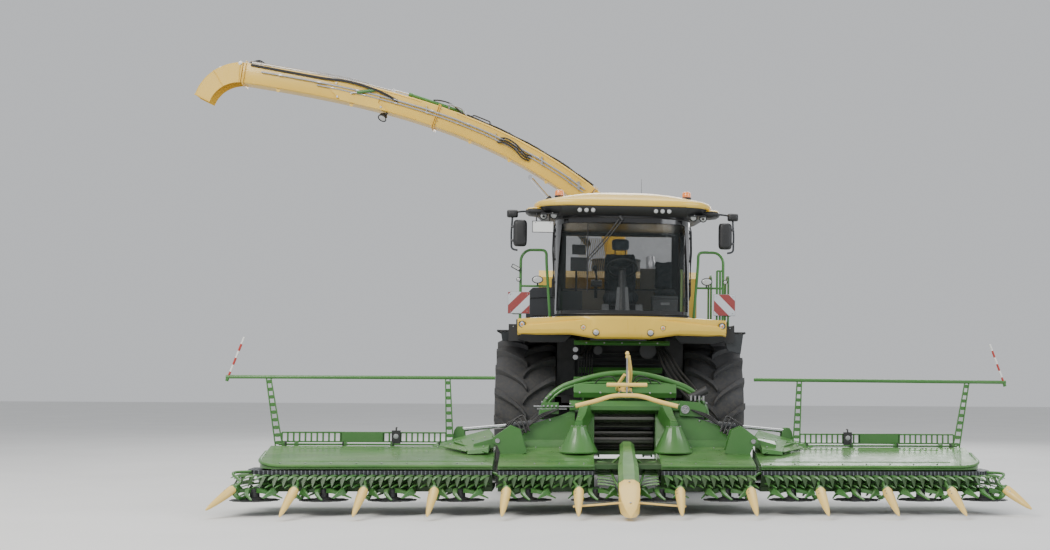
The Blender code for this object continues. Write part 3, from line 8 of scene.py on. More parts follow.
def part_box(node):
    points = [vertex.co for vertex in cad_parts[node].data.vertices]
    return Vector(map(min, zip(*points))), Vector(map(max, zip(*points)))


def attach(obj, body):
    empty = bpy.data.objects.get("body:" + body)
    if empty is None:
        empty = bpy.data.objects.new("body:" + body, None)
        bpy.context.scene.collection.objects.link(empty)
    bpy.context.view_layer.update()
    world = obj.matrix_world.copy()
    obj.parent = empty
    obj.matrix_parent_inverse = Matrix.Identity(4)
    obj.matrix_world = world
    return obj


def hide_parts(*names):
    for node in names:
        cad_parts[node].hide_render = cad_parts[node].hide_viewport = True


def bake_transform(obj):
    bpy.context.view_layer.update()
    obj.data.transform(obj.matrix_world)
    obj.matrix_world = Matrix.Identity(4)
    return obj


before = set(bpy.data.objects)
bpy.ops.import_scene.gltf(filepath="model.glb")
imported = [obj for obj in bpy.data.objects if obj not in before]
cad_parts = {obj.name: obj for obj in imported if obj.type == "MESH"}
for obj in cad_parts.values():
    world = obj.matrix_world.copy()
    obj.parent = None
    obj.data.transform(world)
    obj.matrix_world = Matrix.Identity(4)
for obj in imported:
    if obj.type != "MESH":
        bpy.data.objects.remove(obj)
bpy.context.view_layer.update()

print("frame loaded")

# The machine's own middle plane and front axle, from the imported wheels.
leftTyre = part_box("front_wheel_left_tyre")
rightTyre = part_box("front_wheel_right_tyre")
midX = (leftTyre[0].x + rightTyre[1].x) / 2
axleY = (leftTyre[0].y + leftTyre[1].y) / 2


def at(x, y, z):
    return Vector((midX + x, axleY + y, z))


# building meshes

class Form:
    # collects points and faces of one piece; slot is the finish that the next faces take

    def __init__(self):
        self.points = []
        self.faces = []
        self.slots = []
        self.rounds = []
        self.slot = 0

    def add(self, points, faces, rounded=False):
        base = len(self.points)
        self.points += [tuple(p) for p in points]
        for face in faces:
            self.faces.append([base + i for i in face])
            self.slots.append(self.slot)
            self.rounds.append(rounded)

    def block(self, low, high, turn=None):
        low, high = Vector(low), Vector(high)
        corners = [Vector((x, y, z)) for x in (low.x, high.x) for y in (low.y, high.y) for z in (low.z, high.z)]
        if turn:
            middle = (low + high) / 2
            corners = [middle + turn @ (c - middle) for c in corners]
        self.add(corners, [(0, 1, 3, 2), (4, 6, 7, 5), (0, 4, 5, 1), (2, 3, 7, 6), (0, 2, 6, 4), (1, 5, 7, 3)])

    def loft(self, rings, caps=True, ring=True, rounded=True):
        count = len(rings[0])
        last = count if ring else count - 1
        faces = []
        for r in range(len(rings) - 1):
            for i in range(last):
                j = (i + 1) % count
                faces.append((r * count + i, r * count + j, (r + 1) * count + j, (r + 1) * count + i))
        self.add([p for one in rings for p in one], faces, rounded)
        if caps and ring:
            self.add(rings[0], [tuple(range(count))])
            self.add(rings[-1], [tuple(range(count))])

    def tube(self, path, radius, sides=12, caps=True):
        # a round section carried along a path without twist; radius may be one value for each point
        path = [Vector(p) for p in path]
        radii = radius if isinstance(radius, (list, tuple)) else [radius] * len(path)
        way = (path[1] - path[0]).normalized()
        side = way.orthogonal().normalized()
        rings = []
        for i, place in enumerate(path):
            before = path[max(0, i - 1)]
            after = path[min(len(path) - 1, i + 1)]
            way = (after - before).normalized()
            side = (side - way * side.dot(way)).normalized()
            up = way.cross(side)
            angles = [2 * math.pi * k / sides for k in range(sides)]
            rings.append([place + (side * math.cos(a) + up * math.sin(a)) * radii[i] for a in angles])
        self.loft(rings, caps)

    def spin(self, profile, centre, axis, steps=64, closed=False):
        # a profile of (radius, height) turned about an axis
        centre, axis = Vector(centre), Vector(axis).normalized()
        side = axis.orthogonal().normalized()
        up = axis.cross(side)
        rings = []
        for radius, height in list(profile) + ([profile[0]] if closed else []):
            angles = [2 * math.pi * k / steps for k in range(steps)]
            out = max(radius, 0.0005)
            rings.append([centre + axis * height + (side * math.cos(a) + up * math.sin(a)) * out for a in angles])
        self.loft(rings, caps=not closed)

    def plate(self, outline, origin, across, up, depth):
        # a flat outline of (across, up) points, thick by depth along across x up
        origin, across, up = Vector(origin), Vector(across).normalized(), Vector(up).normalized()
        out = across.cross(up) * depth
        first = [origin + across * a + up * b for a, b in outline]
        self.loft([first, [p + out for p in first]], rounded=False)

    def bolt(self, place, out, radius=0.012, height=0.008):
        out = Vector(out).normalized()
        side = out.orthogonal().normalized()
        up = out.cross(side)
        hexagon = [(side * math.cos(k * math.pi / 3) + up * math.sin(k * math.pi / 3)) * radius for k in range(6)]
        place = Vector(place)
        self.loft([[place + p for p in hexagon], [place + p * 0.94 + out * height for p in hexagon]],
            rounded=False)


def bend(points, radius, steps=6):
    # a path with each inner corner rounded
    points = [Vector(p) for p in points]
    made = [points[0]]
    for before, corner, after in zip(points, points[1:], points[2:]):
        a, b = before - corner, after - corner
        reach = min(radius, a.length * 0.49, b.length * 0.49)
        start, end = corner + a.normalized() * reach, corner + b.normalized() * reach
        for k in range(steps + 1):
            t = k / steps
            made.append((1 - t) ** 2 * start + 2 * t * (1 - t) * corner + t * t * end)
    return made + [points[-1]]


def curve(points, steps=6):
    # a smooth path through points (Catmull-Rom)
    points = [Vector(p) for p in points]
    full = [points[0] * 2 - points[1]] + points + [points[-1] * 2 - points[-2]]
    made = []
    for a, b, c, d in zip(full, full[1:], full[2:], full[3:]):
        for k in range(steps):
            t = k / steps
            made.append(0.5 * (2 * b + (c - a) * t + (2 * a - 5 * b + 4 * c - d) * t * t + (3 * b - a - 3 * c + d) * t ** 3))
    return made + [points[-1]]


def make(name, form, finishes, body, edge=0.0, sharp=38, replaces=(), subdivide=0):
    # the form becomes a piece that rides on a body
    mesh = bpy.data.meshes.new(name)
    mesh.from_pydata(form.points, [], form.faces)
    for finish in finishes:
        mesh.materials.append(finish)
    mesh.polygons.foreach_set("material_index", form.slots)
    mesh.polygons.foreach_set("use_smooth", form.rounds)
    work = bmesh.new()
    work.from_mesh(mesh)
    bmesh.ops.remove_doubles(work, verts=work.verts, dist=0.00002)
    bmesh.ops.recalc_face_normals(work, faces=work.faces)
    work.to_mesh(mesh)
    work.free()
    mesh.set_sharp_from_angle(angle=math.radians(sharp))
    piece = bpy.data.objects.new(name, mesh)
    bpy.context.scene.collection.objects.link(piece)
    if edge:
        rounding = piece.modifiers.new("edges", "BEVEL")
        rounding.width = edge
        rounding.segments = 2
        rounding.limit_method = "ANGLE"
        rounding.angle_limit = math.radians(40)
        rounding.harden_normals = True
    if subdivide:
        finer = piece.modifiers.new("finer", "SUBSURF")
        finer.levels = finer.render_levels = subdivide
    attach(piece, body)
    if replaces:
        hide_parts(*replaces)
    return piece


# finishes

class Wire:
    # a value in a shader: arithmetic on it adds Math nodes

    def __init__(self, shop, socket):
        self.shop = shop
        self.socket = socket

    def maths(self, operation, *values):
        return self.shop.node("ShaderNodeMath", {"operation": operation}, dict(enumerate(values)))

    def __add__(self, other):
        return self.maths("ADD", self, other)

    def __sub__(self, other):
        return self.maths("SUBTRACT", self, other)

    def __rsub__(self, other):
        return self.maths("SUBTRACT", other, self)

    def __mul__(self, other):
        return self.maths("MULTIPLY", self, other)

    def __truediv__(self, other):
        return self.maths("DIVIDE", self, other)

    def __pow__(self, other):
        return self.maths("POWER", self, other)

    def __gt__(self, other):
        return self.maths("GREATER_THAN", self, other)

    def __lt__(self, other):
        return self.maths("LESS_THAN", self, other)

    __radd__ = __add__
    __rmul__ = __mul__

    def between(self, low, high, fromLow=0.0, fromHigh=1.0):
        return self.shop.node("ShaderNodeMapRange", {}, {0: self, 1: fromLow, 2: fromHigh, 3: low, 4: high})

    def wrapped(self, size):
        return self.maths("FLOORED_MODULO", self, size)

    def largest(self, other):
        return self.maths("MAXIMUM", self, other)

    def distance(self):
        return self.maths("ABSOLUTE", self)


class Shop:
    # one material while it is being made

    def __init__(self, name):
        self.material = bpy.data.materials.new(name)
        self.material.use_nodes = True
        self.tree = self.material.node_tree
        self.shader = self.tree.nodes["Principled BSDF"]

    def node(self, kind, settings, values, out=0):
        made = self.tree.nodes.new(kind)
        for key, value in settings.items():
            if key == "stops":
                ramp = made.color_ramp
                while len(ramp.elements) < len(value):
                    ramp.elements.new(0.5)
                for stop, (place, colour) in zip(ramp.elements, value):
                    stop.position = place
                    stop.color = (*colour, 1)
            else:
                setattr(made, key, value)
        for key, value in values.items():
            self.join(made.inputs[key], value)
        return Wire(self, made.outputs[out])

    def join(self, socket, value):
        if isinstance(value, Wire):
            self.tree.links.new(value.socket, socket)
        elif socket.type == "RGBA" and len(value) == 3:
            socket.default_value = (*value, 1)
        else:
            socket.default_value = value

    def put(self, **values):
        names = {"colour": "Base Color", "roughness": "Roughness", "metallic": "Metallic",
            "coat": "Coat Weight",
                 "coatRoughness": "Coat Roughness", "alpha": "Alpha", "normal": "Normal",
                     "glow": "Emission Color",
                 "glowStrength": "Emission Strength", "ior": "IOR", "sheen": "Sheen Weight",
                     "transmission": "Transmission Weight"}
        for key, value in values.items():
            self.join(self.shader.inputs[names[key]], value)

    def place(self):
        return self.node("ShaderNodeTexCoord", {}, {}, "Object")

    def parted(self, vector):
        made = self.tree.nodes.new("ShaderNodeSeparateXYZ")
        self.join(made.inputs[0], vector)
        return [Wire(self, made.outputs[i]) for i in range(3)]

    def noise(self, scale, detail=3.0, rough=0.5, stretch=None):
        spot = self.place()
        if stretch:
            spot = self.node("ShaderNodeVectorMath", {"operation": "MULTIPLY"}, {0: spot, 1: stretch})
        return self.node("ShaderNodeTexNoise", {}, {"Vector": spot, "Scale": scale, "Detail": detail,
            "Roughness": rough})

    def mix(self, share, first, second):
        return self.node("ShaderNodeMix", {"data_type": "RGBA"}, {0: share, 6: first, 7: second}, 2)

    def bump(self, height, strength, reach=0.002):
        return self.node("ShaderNodeBump", {}, {"Height": height, "Strength": strength, "Distance": reach})

    def facingUp(self):
        normal = self.node("ShaderNodeNewGeometry", {}, {}, "Normal")
        return self.parted(normal)[2]

    def done(self):
        return self.material


def dust(shop, colour, amount, dustColour=(0.42, 0.36, 0.27), low=0.0, high=2.4):
    # field dust that settles on what faces up and thins out with height
    height = shop.parted(shop.place())[2].between(1.0, 0.25, low, high)
    up = shop.facingUp().between(0.35, 1.0, 0.2, 1.0)
    patches = shop.noise(2.3, 5.0, 0.62).between(0.15, 1.0, 0.35, 0.75)
    return shop.mix(height * up * patches * amount, colour, dustColour)


def paintFinish(name, colour, gloss=0.32, dustAmount=0.12, shade=0.07, coat=0.35):
    shop = Shop(name)
    deep = tuple(c * (1 - shade) for c in colour)
    light = tuple(min(1.0, c * (1 + shade)) for c in colour)
    tone = shop.mix(shop.noise(0.9, 3.0).between(0, 1, 0.3, 0.7), deep, light)
    streaks = shop.noise(30, 4.0, 0.6, (1.0, 1.0, 0.12))
    shop.put(
        colour=dust(shop, tone, dustAmount),
        roughness=streaks.between(gloss - 0.06, gloss + 0.10, 0.3, 0.7),
        coat=coat,
        coatRoughness=0.12,
        normal=shop.bump(shop.noise(260, 2.0), 0.05, 0.0006),
    )
    return shop.done()


def metalFinish(name, colour, gloss=0.3, metallic=1.0, wear=0.12):
    shop = Shop(name)
    scuffs = shop.noise(55, 5.0, 0.65, (1.0, 0.15, 1.0))
    shop.put(
        colour=shop.mix(scuffs.between(0, 1, 0.35, 0.7), tuple(c * (1 - wear) for c in colour), colour),
        roughness=scuffs.between(gloss - 0.08, gloss + 0.12, 0.3, 0.7),
        metallic=metallic,
        normal=shop.bump(shop.noise(140, 3.0), 0.06, 0.0006),
    )
    return shop.done()


def plasticFinish(name, colour, gloss=0.5, grain=900, dustAmount=0.10):
    shop = Shop(name)
    tone = shop.mix(shop.noise(4, 3.0).between(0, 1, 0.3, 0.7), tuple(c * 0.88 for c in colour), colour)
    shop.put(
        colour=dust(shop, tone, dustAmount),
        roughness=shop.noise(18, 4.0).between(gloss - 0.07, gloss + 0.09, 0.3, 0.7),
        normal=shop.bump(shop.noise(grain, 2.0), 0.10, 0.0005),
    )
    return shop.done()


paints = {  # linear colours of the finishes
    "body": (0.80, 0.53, 0.070),
    # spout: the body's yellow made a little darker, a painted shade
    "spout": (0.76, 0.49, 0.060),
    "header": (0.040, 0.165, 0.026),
    # header green made darker for faces under and behind things: painted shade
    "headerGreenShaded": (0.018, 0.072, 0.014),
    "anthracite": (0.026, 0.030, 0.036),
    "cream": (0.86, 0.60, 0.17),
    "grey": (0.30, 0.31, 0.32),
}
bodyYellow = paintFinish("body_yellow", paints["body"])
# the spout's finish is the body yellow with painted shade, darker than the body
spoutYellowShaded = paintFinish("spout_yellow_shaded", paints["spout"], gloss=0.36)
headerGreen = paintFinish("header_green", paints["header"], gloss=0.34, dustAmount=0.22, shade=0.12)
# darker copy of the header green, a painted shade for undersides and low walls
shadedGreen = paintFinish("header_green_shaded", paints["headerGreenShaded"], gloss=0.5, dustAmount=0.25, coat=0.1)
anthracite = paintFinish("anthracite", paints["anthracite"], gloss=0.42, dustAmount=0.16, coat=0.15)
creamPaint = paintFinish("tip_cream", paints["cream"], gloss=0.4, dustAmount=0.08)
greyPaint = paintFinish("grey_paint", paints["grey"], gloss=0.4, dustAmount=0.15)
blackPlastic = plasticFinish("black_plastic", (0.018, 0.019, 0.021))
trimGrey = plasticFinish("trim_grey", (0.11, 0.115, 0.12), gloss=0.6)
hoseRubber = plasticFinish("hose_rubber", (0.014, 0.014, 0.015), gloss=0.42, grain=300)
chromeRod = metalFinish("chromed_rod", (0.82, 0.82, 0.83), gloss=0.12)
bareSteel = metalFinish("bare_steel", (0.42, 0.42, 0.43), gloss=0.34)
darkSteel = metalFinish("dark_steel", (0.10, 0.10, 0.105), gloss=0.48, metallic=0.7)
print("finishes made")


def tyreRubber():
    shop = Shop("tyre_rubber")
    x, y, z = shop.parted(shop.place())
    speckle = shop.noise(24, 5.0, 0.65)
    low = z.between(1.0, 0.35, 0.0, 1.9)
    soil = low * speckle.between(0.0, 0.75, 0.42, 0.72)
    tone = shop.mix(shop.noise(3, 3.0).between(0, 1, 0.3, 0.7), (0.028, 0.029, 0.031), (0.050, 0.051, 0.055))
    shop.put(
        colour=shop.mix(soil, tone, (0.125, 0.11, 0.088)),
        roughness=speckle.between(0.66, 0.86, 0.3, 0.7),
        normal=shop.bump(shop.noise(170, 3.0), 0.25, 0.0012),
    )
    return shop.done()


tyreBlack = tyreRubber()


# tyres and rims

tyres = {  # sizes in metres; lugs is the count on each half of the tread
    "front": {"radius": 1.03, "width": 0.80, "rim": 0.483, "rimWidth": 0.70, "lugs": 17, "lugHeight": 0.060,
        "lugWidth": 0.074, "wheelBolts": 12},
    "rear": {"radius": 0.80, "width": 0.60, "rim": 0.381, "rimWidth": 0.50, "lugs": 16, "lugHeight": 0.048,
        "lugWidth": 0.060, "wheelBolts": 10},
}


def carcass(size):
    # half profile of the casing, from the tread's middle to the bead: (radius, across)
    top, rim, half = size["radius"] - size["lugHeight"], size["rim"], size["width"] / 2
    wall = top - rim
    return [
        (top, 0.0), (top - 0.004, half * 0.35), (top - 0.018, half * 0.68), (top - 0.045, half * 0.87),
        (top - 0.085, half * 0.965), (rim + wall * 0.62, half * 0.995), (rim + wall * 0.42, half * 0.965),
        (rim + wall * 0.22, half * 0.895), (rim + wall * 0.09, size["rimWidth"] / 2 * 1.0),
        (rim + 0.012, size["rimWidth"] / 2 * 0.99), (rim - 0.010, size["rimWidth"] / 2 * 0.96),
            (rim - 0.012, size["rimWidth"] / 2 * 0.80),
    ]


def treadHeight(size, across):
    profile = carcass(size)
    for (r1, x1), (r2, x2) in zip(profile, profile[1:]):
        if x1 <= across <= x2:
            return r1 + (r2 - r1) * (across - x1) / (x2 - x1)
    return profile[4][0]


def tyre(name, size, centre, body, node, forward):
    # casing, chevron lugs, side ribs; forward is +1 or -1, the turn of the chevrons
    half = carcass(size)
    profile = [(r, -x) for r, x in reversed(half[1:])] + half
    form = Form()
    centre = Vector(centre)
    form.spin(profile, centre, (1, 0, 0), 96)
    for hand in (-1, 1):
        for k in range(size["lugs"]):
            start = 2 * math.pi * (k + (0.5 if hand > 0 else 0.0)) / size["lugs"]
            rings = []
            for step in range(9):
                t = step / 8
                across = size["width"] / 2 * (-0.06 + 1.045 * t)
                lag = 0.92 * (t ** 0.72) * 2 * math.pi / size["lugs"]
                angle = start - forward * lag
                base = treadHeight(size, abs(across)) - 0.012
                top = size["radius"] - 0.012 * t * t - 0.075 * max(0.0, t - 0.82) ** 1.1 * 3
                thick = size["lugWidth"] * (0.80 + 0.45 * t) / 2
                ring = []
                for reach, height in ((-1.35, base), (-0.92, top - 0.006), (-0.78, top), (0.78, top),
                    (0.92, top - 0.006), (1.35, base)):
                    turn = angle + reach * thick / size["radius"]
                    ring.append(centre + Vector((hand * across, -math.cos(turn) * height,
                        math.sin(turn) * height)))
                rings.append(ring)
            form.loft(rings, rounded=False)
    for hand in (-1, 1):
        for radius, across in ((half[6][0], half[6][1]), (half[7][0] + 0.01, half[7][1] + 0.004)):
            ring = [(radius - 0.012, across - 0.006), (radius - 0.004, across + 0.005),
                (radius + 0.004, across + 0.005), (radius + 0.012, across - 0.008)]
            form.spin([(r, hand * x) for r, x in ring], centre, (1, 0, 0), 96)
    make(name, form, [tyreBlack], body, edge=0.004, sharp=32, replaces=[node])


def rim(name, size, centre, side, body, node, hub):
    # pressed steel wheel: barrel with bead flanges, dished disc with hand holes, nuts
    radius, half = size["rim"], size["rimWidth"] / 2
    centre = Vector(centre)
    form = Form()
    barrel = [
        (radius + 0.020, half), (radius + 0.026, half - 0.006), (radius + 0.012, half - 0.022),
            (radius - 0.014, half - 0.030), (radius - 0.016, half - 0.075),
        (radius - 0.045, half - 0.115), (radius - 0.048, -half + 0.115), (radius - 0.016, -half + 0.075),
            (radius - 0.014, -half + 0.030),
        (radius + 0.012, -half + 0.022), (radius + 0.026, -half + 0.006), (radius + 0.020, -half),
            (radius - 0.022, -half + 0.006),
        (radius - 0.032, -half + 0.08), (radius - 0.062, -half + 0.125), (radius - 0.060, half - 0.125),
            (radius - 0.032, half - 0.08), (radius - 0.022, half - 0.006),
    ]
    form.spin([(r, side * h) for r, h in barrel], centre, (1, 0, 0), 72, closed=True)
    disc = [(radius - 0.055, 0.050), (radius - 0.085, 0.044), (radius * 0.70, 0.072), (radius * 0.60, 0.078),
        (radius * 0.50, 0.070), (radius * 0.44, 0.040),
            (radius * 0.40, 0.036), (0.001, 0.036), (0.001, 0.020), (radius * 0.41, 0.020),
                (radius * 0.47, 0.030), (radius * 0.56, 0.056), (radius * 0.70, 0.052),
                (radius - 0.085, 0.024), (radius - 0.055, 0.030)]
    form.spin([(r, side * (h + 0.03)) for r, h in disc], centre, (1, 0, 0), 72)
    make(name, form, [bodyYellow], body, edge=0.0, sharp=35, replaces=[node])
    trim = Form()
    place = centre + Vector((side * 0.066, 0, 0))
    trim.slot = 0
    for k in range(size["wheelBolts"]):
        a = 2 * math.pi * k / size["wheelBolts"]
        spot = place + Vector((0, math.cos(a), math.sin(a))) * radius * 0.345
        trim.spin([(0.020, 0.0), (0.020, 0.004), (0.001, 0.0041)], spot, (side, 0, 0), 16)
        trim.bolt(spot, (side, 0, 0), 0.017, 0.024)
        trim.spin([(0.008, 0.024), (0.008, 0.034), (0.001, 0.036)], spot, (side, 0, 0), 10)
    trim.slot = 1
    trim.spin([(hub, 0.0), (hub, 0.03), (hub * 0.93, 0.055), (hub * 0.90, 0.085), (hub * 0.55, 0.105),
        (hub * 0.50, 0.098), (0.001, 0.100)], place, (side, 0, 0), 40)
    for k in range(8):
        a = 2 * math.pi * (k + 0.5) / 8
        trim.bolt(place + Vector((side * 0.096, math.cos(a) * hub * 0.70, math.sin(a) * hub * 0.70)),
            (side, 0, 0), 0.010, 0.008)
    trim.slot = 2
    for k in range(4):
        a = 2 * math.pi * (k + 0.5) / 4
        spot = centre + Vector((side * 0.098, math.cos(a) * radius * 0.66, math.sin(a) * radius * 0.66))
        trim.spin([(0.040, 0.004), (0.044, 0.0085), (0.049, 0.004)], spot, (side, 0, 0), 24)
        trim.spin([(0.039, 0.0045), (0.001, 0.0045)], spot, (side, 0, 0), 24)
    trim.slot = 3
    valve = centre + Vector((side * (half - 0.10), 0.0, radius - 0.050))
    trim.tube([valve, valve + Vector((side * 0.03, 0, -0.012)), valve + Vector((side * 0.06, 0, -0.016))],
        [0.007, 0.006, 0.005], 8)
    make(name + "_trim", trim, [bareSteel, anthracite, darkSteel, blackPlastic], body, edge=0.0, sharp=30)


for hand, word in ((1, "left"), (-1, "right")):
    front, rear = tyres["front"], tyres["rear"]
    spot = at(hand * 1.25, 0, 1.03)
    tyre("front_tyre_" + word, front, spot, f"front_wheel_{word}_spin", f"front_wheel_{word}_tyre", -1)
    rim("front_rim_" + word, front, spot, hand, f"front_wheel_{word}_spin", f"front_wheel_{word}_rim", 0.125)
    spot = at(hand * 1.22, 3.25, 0.80)
    tyre("rear_tyre_" + word, rear, spot, f"rear_wheel_{word}_spin", f"rear_wheel_{word}_tyre", -1)
    rim("rear_rim_" + word, rear, spot, hand, f"rear_wheel_{word}_spin", f"rear_wheel_{word}_rim", 0.095)
print("wheels made")


# discharge spout

spout = {"width": 0.38, "depth": 0.33, "tipWidth": 0.34, "tipDepth": 0.30, "corner": 0.022, "turretY": 1.70}
boomLine = [(-0.423, 4.200, 38), (-0.786, 4.463, 33.8), (-1.167, 4.699, 29.8), (-1.563, 4.909, 26.1),
    (-1.971, 5.095, 22.8), (-2.389, 5.257, 19.7), (-2.815, 5.398, 16.9),
            (-3.246, 5.519, 14.5), (-3.682, 5.623, 12.4), (-4.122, 5.713, 10.7), (-4.563, 5.791, 9.3),
                (-5.006, 5.860, 8.4), (-5.450, 5.923, 8.0)]
flapLine = [(-5.462, 5.925, 8), (-5.605, 5.909, -12), (-5.739, 5.858, -26), (-5.857, 5.775, -40),
    (-5.950, 5.665, -54), (-6.013, 5.536, -64)]


def alongBoom(t):
    # place and slope at share t of the boom's length
    t = min(max(t, 0.0), 0.9999) * (len(boomLine) - 1)
    i = int(t)
    (x1, z1, a1), (x2, z2, a2) = boomLine[i], boomLine[i + 1]
    f = t - i
    return x1 + (x2 - x1) * f, z1 + (z2 - z1) * f, math.radians(a1 + (a2 - a1) * f)


def onBoom(t, across=0.0, up=0.0, out=0.0):
    # across is along the machine, in half widths; up in half depths; out adds metres away from that side
    x, z, a = alongBoom(t)
    halfWidth = (spout["width"] + (spout["tipWidth"] - spout["width"]) * t) / 2
    halfDepth = (spout["depth"] + (spout["tipDepth"] - spout["depth"]) * t) / 2
    side = across * halfWidth + (math.copysign(out, across) if abs(across) >= 1 else 0.0)
    rise = up * halfDepth + (math.copysign(out, up) if abs(up) >= 1 else 0.0)
    return at(x + math.sin(a) * rise, spout["turretY"] + side, z + math.cos(a) * rise)


def boxSection(x, z, a, halfWidth, halfDepth, corner):
    # rounded rectangle standing across the spout's line
    ring = []
    for sx, sz, start in ((1, 1, 0), (-1, 1, 1), (-1, -1, 2), (1, -1, 3)):
        for k in range(4):
            turn = math.pi / 2 * (start + k / 3)
            across = sx * (halfWidth - corner) + corner * math.cos(turn)
            up = sz * (halfDepth - corner) + corner * math.sin(turn)
            ring.append(at(x + math.sin(a) * up, spout["turretY"] + across, z + math.cos(a) * up))
    return ring


def fineLine(line, per=4):
    made = []
    for (x1, z1, a1), (x2, z2, a2) in zip(line, line[1:]):
        for k in range(per):
            f = k / per
            b1, b2 = math.radians(a1), math.radians(a2)
            length = math.hypot(x2 - x1, z2 - z1)
            h = (2 * f ** 3 - 3 * f ** 2 + 1, f ** 3 - 2 * f ** 2 + f, -2 * f ** 3 + 3 * f ** 2,
                f ** 3 - f ** 2)
            x = h[0] * x1 + h[1] * -math.cos(b1) * length + h[2] * x2 + h[3] * -math.cos(b2) * length
            z = h[0] * z1 + h[1] * math.sin(b1) * length + h[2] * z2 + h[3] * math.sin(b2) * length
            made.append((x, z, b1 + (b2 - b1) * f))
    x, z, a = line[-1]
    return made + [(x, z, math.radians(a))]


def duct(form, line, sizes, wall=0.008):
    # outer skin, inner skin and the two end lips
    count = len(line) - 1
    outer, inner = [], []
    for i, (x, z, a) in enumerate(line):
        t = i / count
        halfWidth = (sizes[0] + (sizes[1] - sizes[0]) * t) / 2
        halfDepth = (sizes[2] + (sizes[3] - sizes[2]) * t) / 2
        outer.append(boxSection(x, z, a, halfWidth, halfDepth, spout["corner"]))
        inner.append(boxSection(x, z, a, halfWidth - wall, halfDepth - wall, spout["corner"] * 0.7))
    form.loft(outer + inner[::-1] + [outer[0]], caps=False)


boomFine = fineLine(boomLine)
boom = Form()
duct(boom, boomFine, (spout["width"], spout["tipWidth"], spout["depth"], spout["tipDepth"]))
for share in (0.0, 0.47, 0.995):
    # folded flanges with their stiffening edge
    x, z, a = alongBoom(share)
    halfWidth = (spout["width"] + (spout["tipWidth"] - spout["width"]) * share) / 2
    halfDepth = (spout["depth"] + (spout["tipDepth"] - spout["depth"]) * share) / 2
    for shift in ((0.004,) if share == 0 else (-0.012, 0.012) if share < 0.9 else (-0.008,)):
        shiftX, shiftZ = -math.cos(a) * shift, math.sin(a) * shift
        first = boxSection(x + shiftX, z + shiftZ, a, halfWidth + 0.028, halfDepth + 0.028, 0.016)
        second = boxSection(x + shiftX - math.cos(a) * 0.007, z + shiftZ + math.sin(a) * 0.007, a,
            halfWidth + 0.028, halfDepth + 0.028, 0.016)
        boom.loft([first, second])
for hand in (-1, 1):
    # pressed stiffening ribs along the sides, and the seam where the top sheet laps over
    for low, high in ((0.03, 0.42), (0.52, 0.97)):
        path = [onBoom(low + (high - low) * k / 16, hand, 0.86, 0.004) for k in range(17)]
        boom.tube(path, 0.007, 8)
        path = [onBoom(low + (high - low) * k / 16, hand, -0.88, 0.003) for k in range(17)]
        boom.tube(path, 0.006, 8)
make("spout_skin", boom, [spoutYellowShaded], "spout_lift", sharp=32, replaces=["spout_boom"])

gear = Form()
for hand in (-1, 1):
    # side pipes in clamps
    for level, radius, low, high in ((0.30, 0.013, 0.02, 0.95), (0.02, 0.010, 0.02, 0.80)):
        gear.slot = 0
        path = [onBoom(low + (high - low) * k / 40, hand, level, radius + 0.016) for k in range(41)]
        gear.tube(path, radius, 10)
        gear.slot = 1
        for k in range(9):
            t = low + (high - low) * (k + 0.5) / 9
            a, b = onBoom(t - 0.004, hand, level, radius + 0.016), onBoom(t + 0.004, hand, level,
                radius + 0.016)
            gear.tube([a, b], radius + 0.005, 10)
            foot = onBoom(t, hand, level, 0.0)
            gear.tube([foot, onBoom(t, hand, level, radius + 0.012)], 0.009, 8)
for share in (0.47,):
    gear.slot = 1
    for hand in (-1, 1):
        for level in (-0.8, -0.4, 0.0, 0.4, 0.8):
            gear.bolt(onBoom(share - 0.0055, hand, level, 0.014),
                (math.cos(alongBoom(share)[2]), 0, -math.sin(alongBoom(share)[2])), 0.009, 0.008)
# the tip cylinder lies on top of the boom's middle and pulls the flap through a long rod
gear.slot = 2
gear.tube([onBoom(0.405, 0.0, 1, 0.055), onBoom(0.56, 0.0, 1, 0.055)], 0.026, 16)
gear.tube([onBoom(0.552, 0.0, 1, 0.055), onBoom(0.562, 0.0, 1, 0.055)], 0.031, 16)
gear.slot = 3
gear.tube([onBoom(0.56, 0.0, 1, 0.055), onBoom(0.60, 0.0, 1, 0.055)], 0.012, 12)
gear.slot = 1
for t in (0.405, 0.602):
    gear.block(onBoom(t, 0, 1, 0.0) + Vector((-0.018, -0.016, -0.006)),
        onBoom(t, 0, 1, 0.0) + Vector((0.018, 0.016, 0.075)))
rod = [onBoom(0.602 + 0.385 * k / 20, 0.12, 1, 0.045) for k in range(21)]
gear.tube(rod, 0.009, 10)
for k in (4, 9, 14, 19):
    spot = rod[k]
    gear.block(spot + Vector((-0.012, -0.014, -0.05)), spot + Vector((0.012, 0.014, 0.016)))
# coil spring beside the rod
coil = []
for k in range(241):
    t = 0.70 + 0.115 * k / 240
    middle = onBoom(t, -0.32, 1, 0.05)
    x, z, a = alongBoom(t)
    turn = k / 240 * 2 * math.pi * 20
    coil.append(middle + Vector((math.sin(a), 0, math.cos(a))) * 0.022 * math.sin(turn) + Vector((0, 1,
        0)) * 0.022 * math.cos(turn))
gear.tube(coil, 0.0038, 6)
gear.tube([onBoom(0.67, -0.32, 1, 0.05), onBoom(0.70, -0.32, 1, 0.05)], 0.006, 8)
gear.tube([onBoom(0.815, -0.32, 1, 0.05), onBoom(0.99, -0.32, 1, 0.05)], 0.006, 8)
# grab handle and its feet
grip = bend([onBoom(0.335, 0.5, 1, -0.002), onBoom(0.335, 0.5, 1, 0.085), onBoom(0.385, 0.5, 1, 0.085),
    onBoom(0.385, 0.5, 1, -0.002)], 0.03)
gear.slot = 4
gear.tube(grip, 0.010, 10)
make("spout_gear", gear, [greyPaint, bareSteel, headerGreen, chromeRod, blackPlastic], "spout_lift", sharp=35)

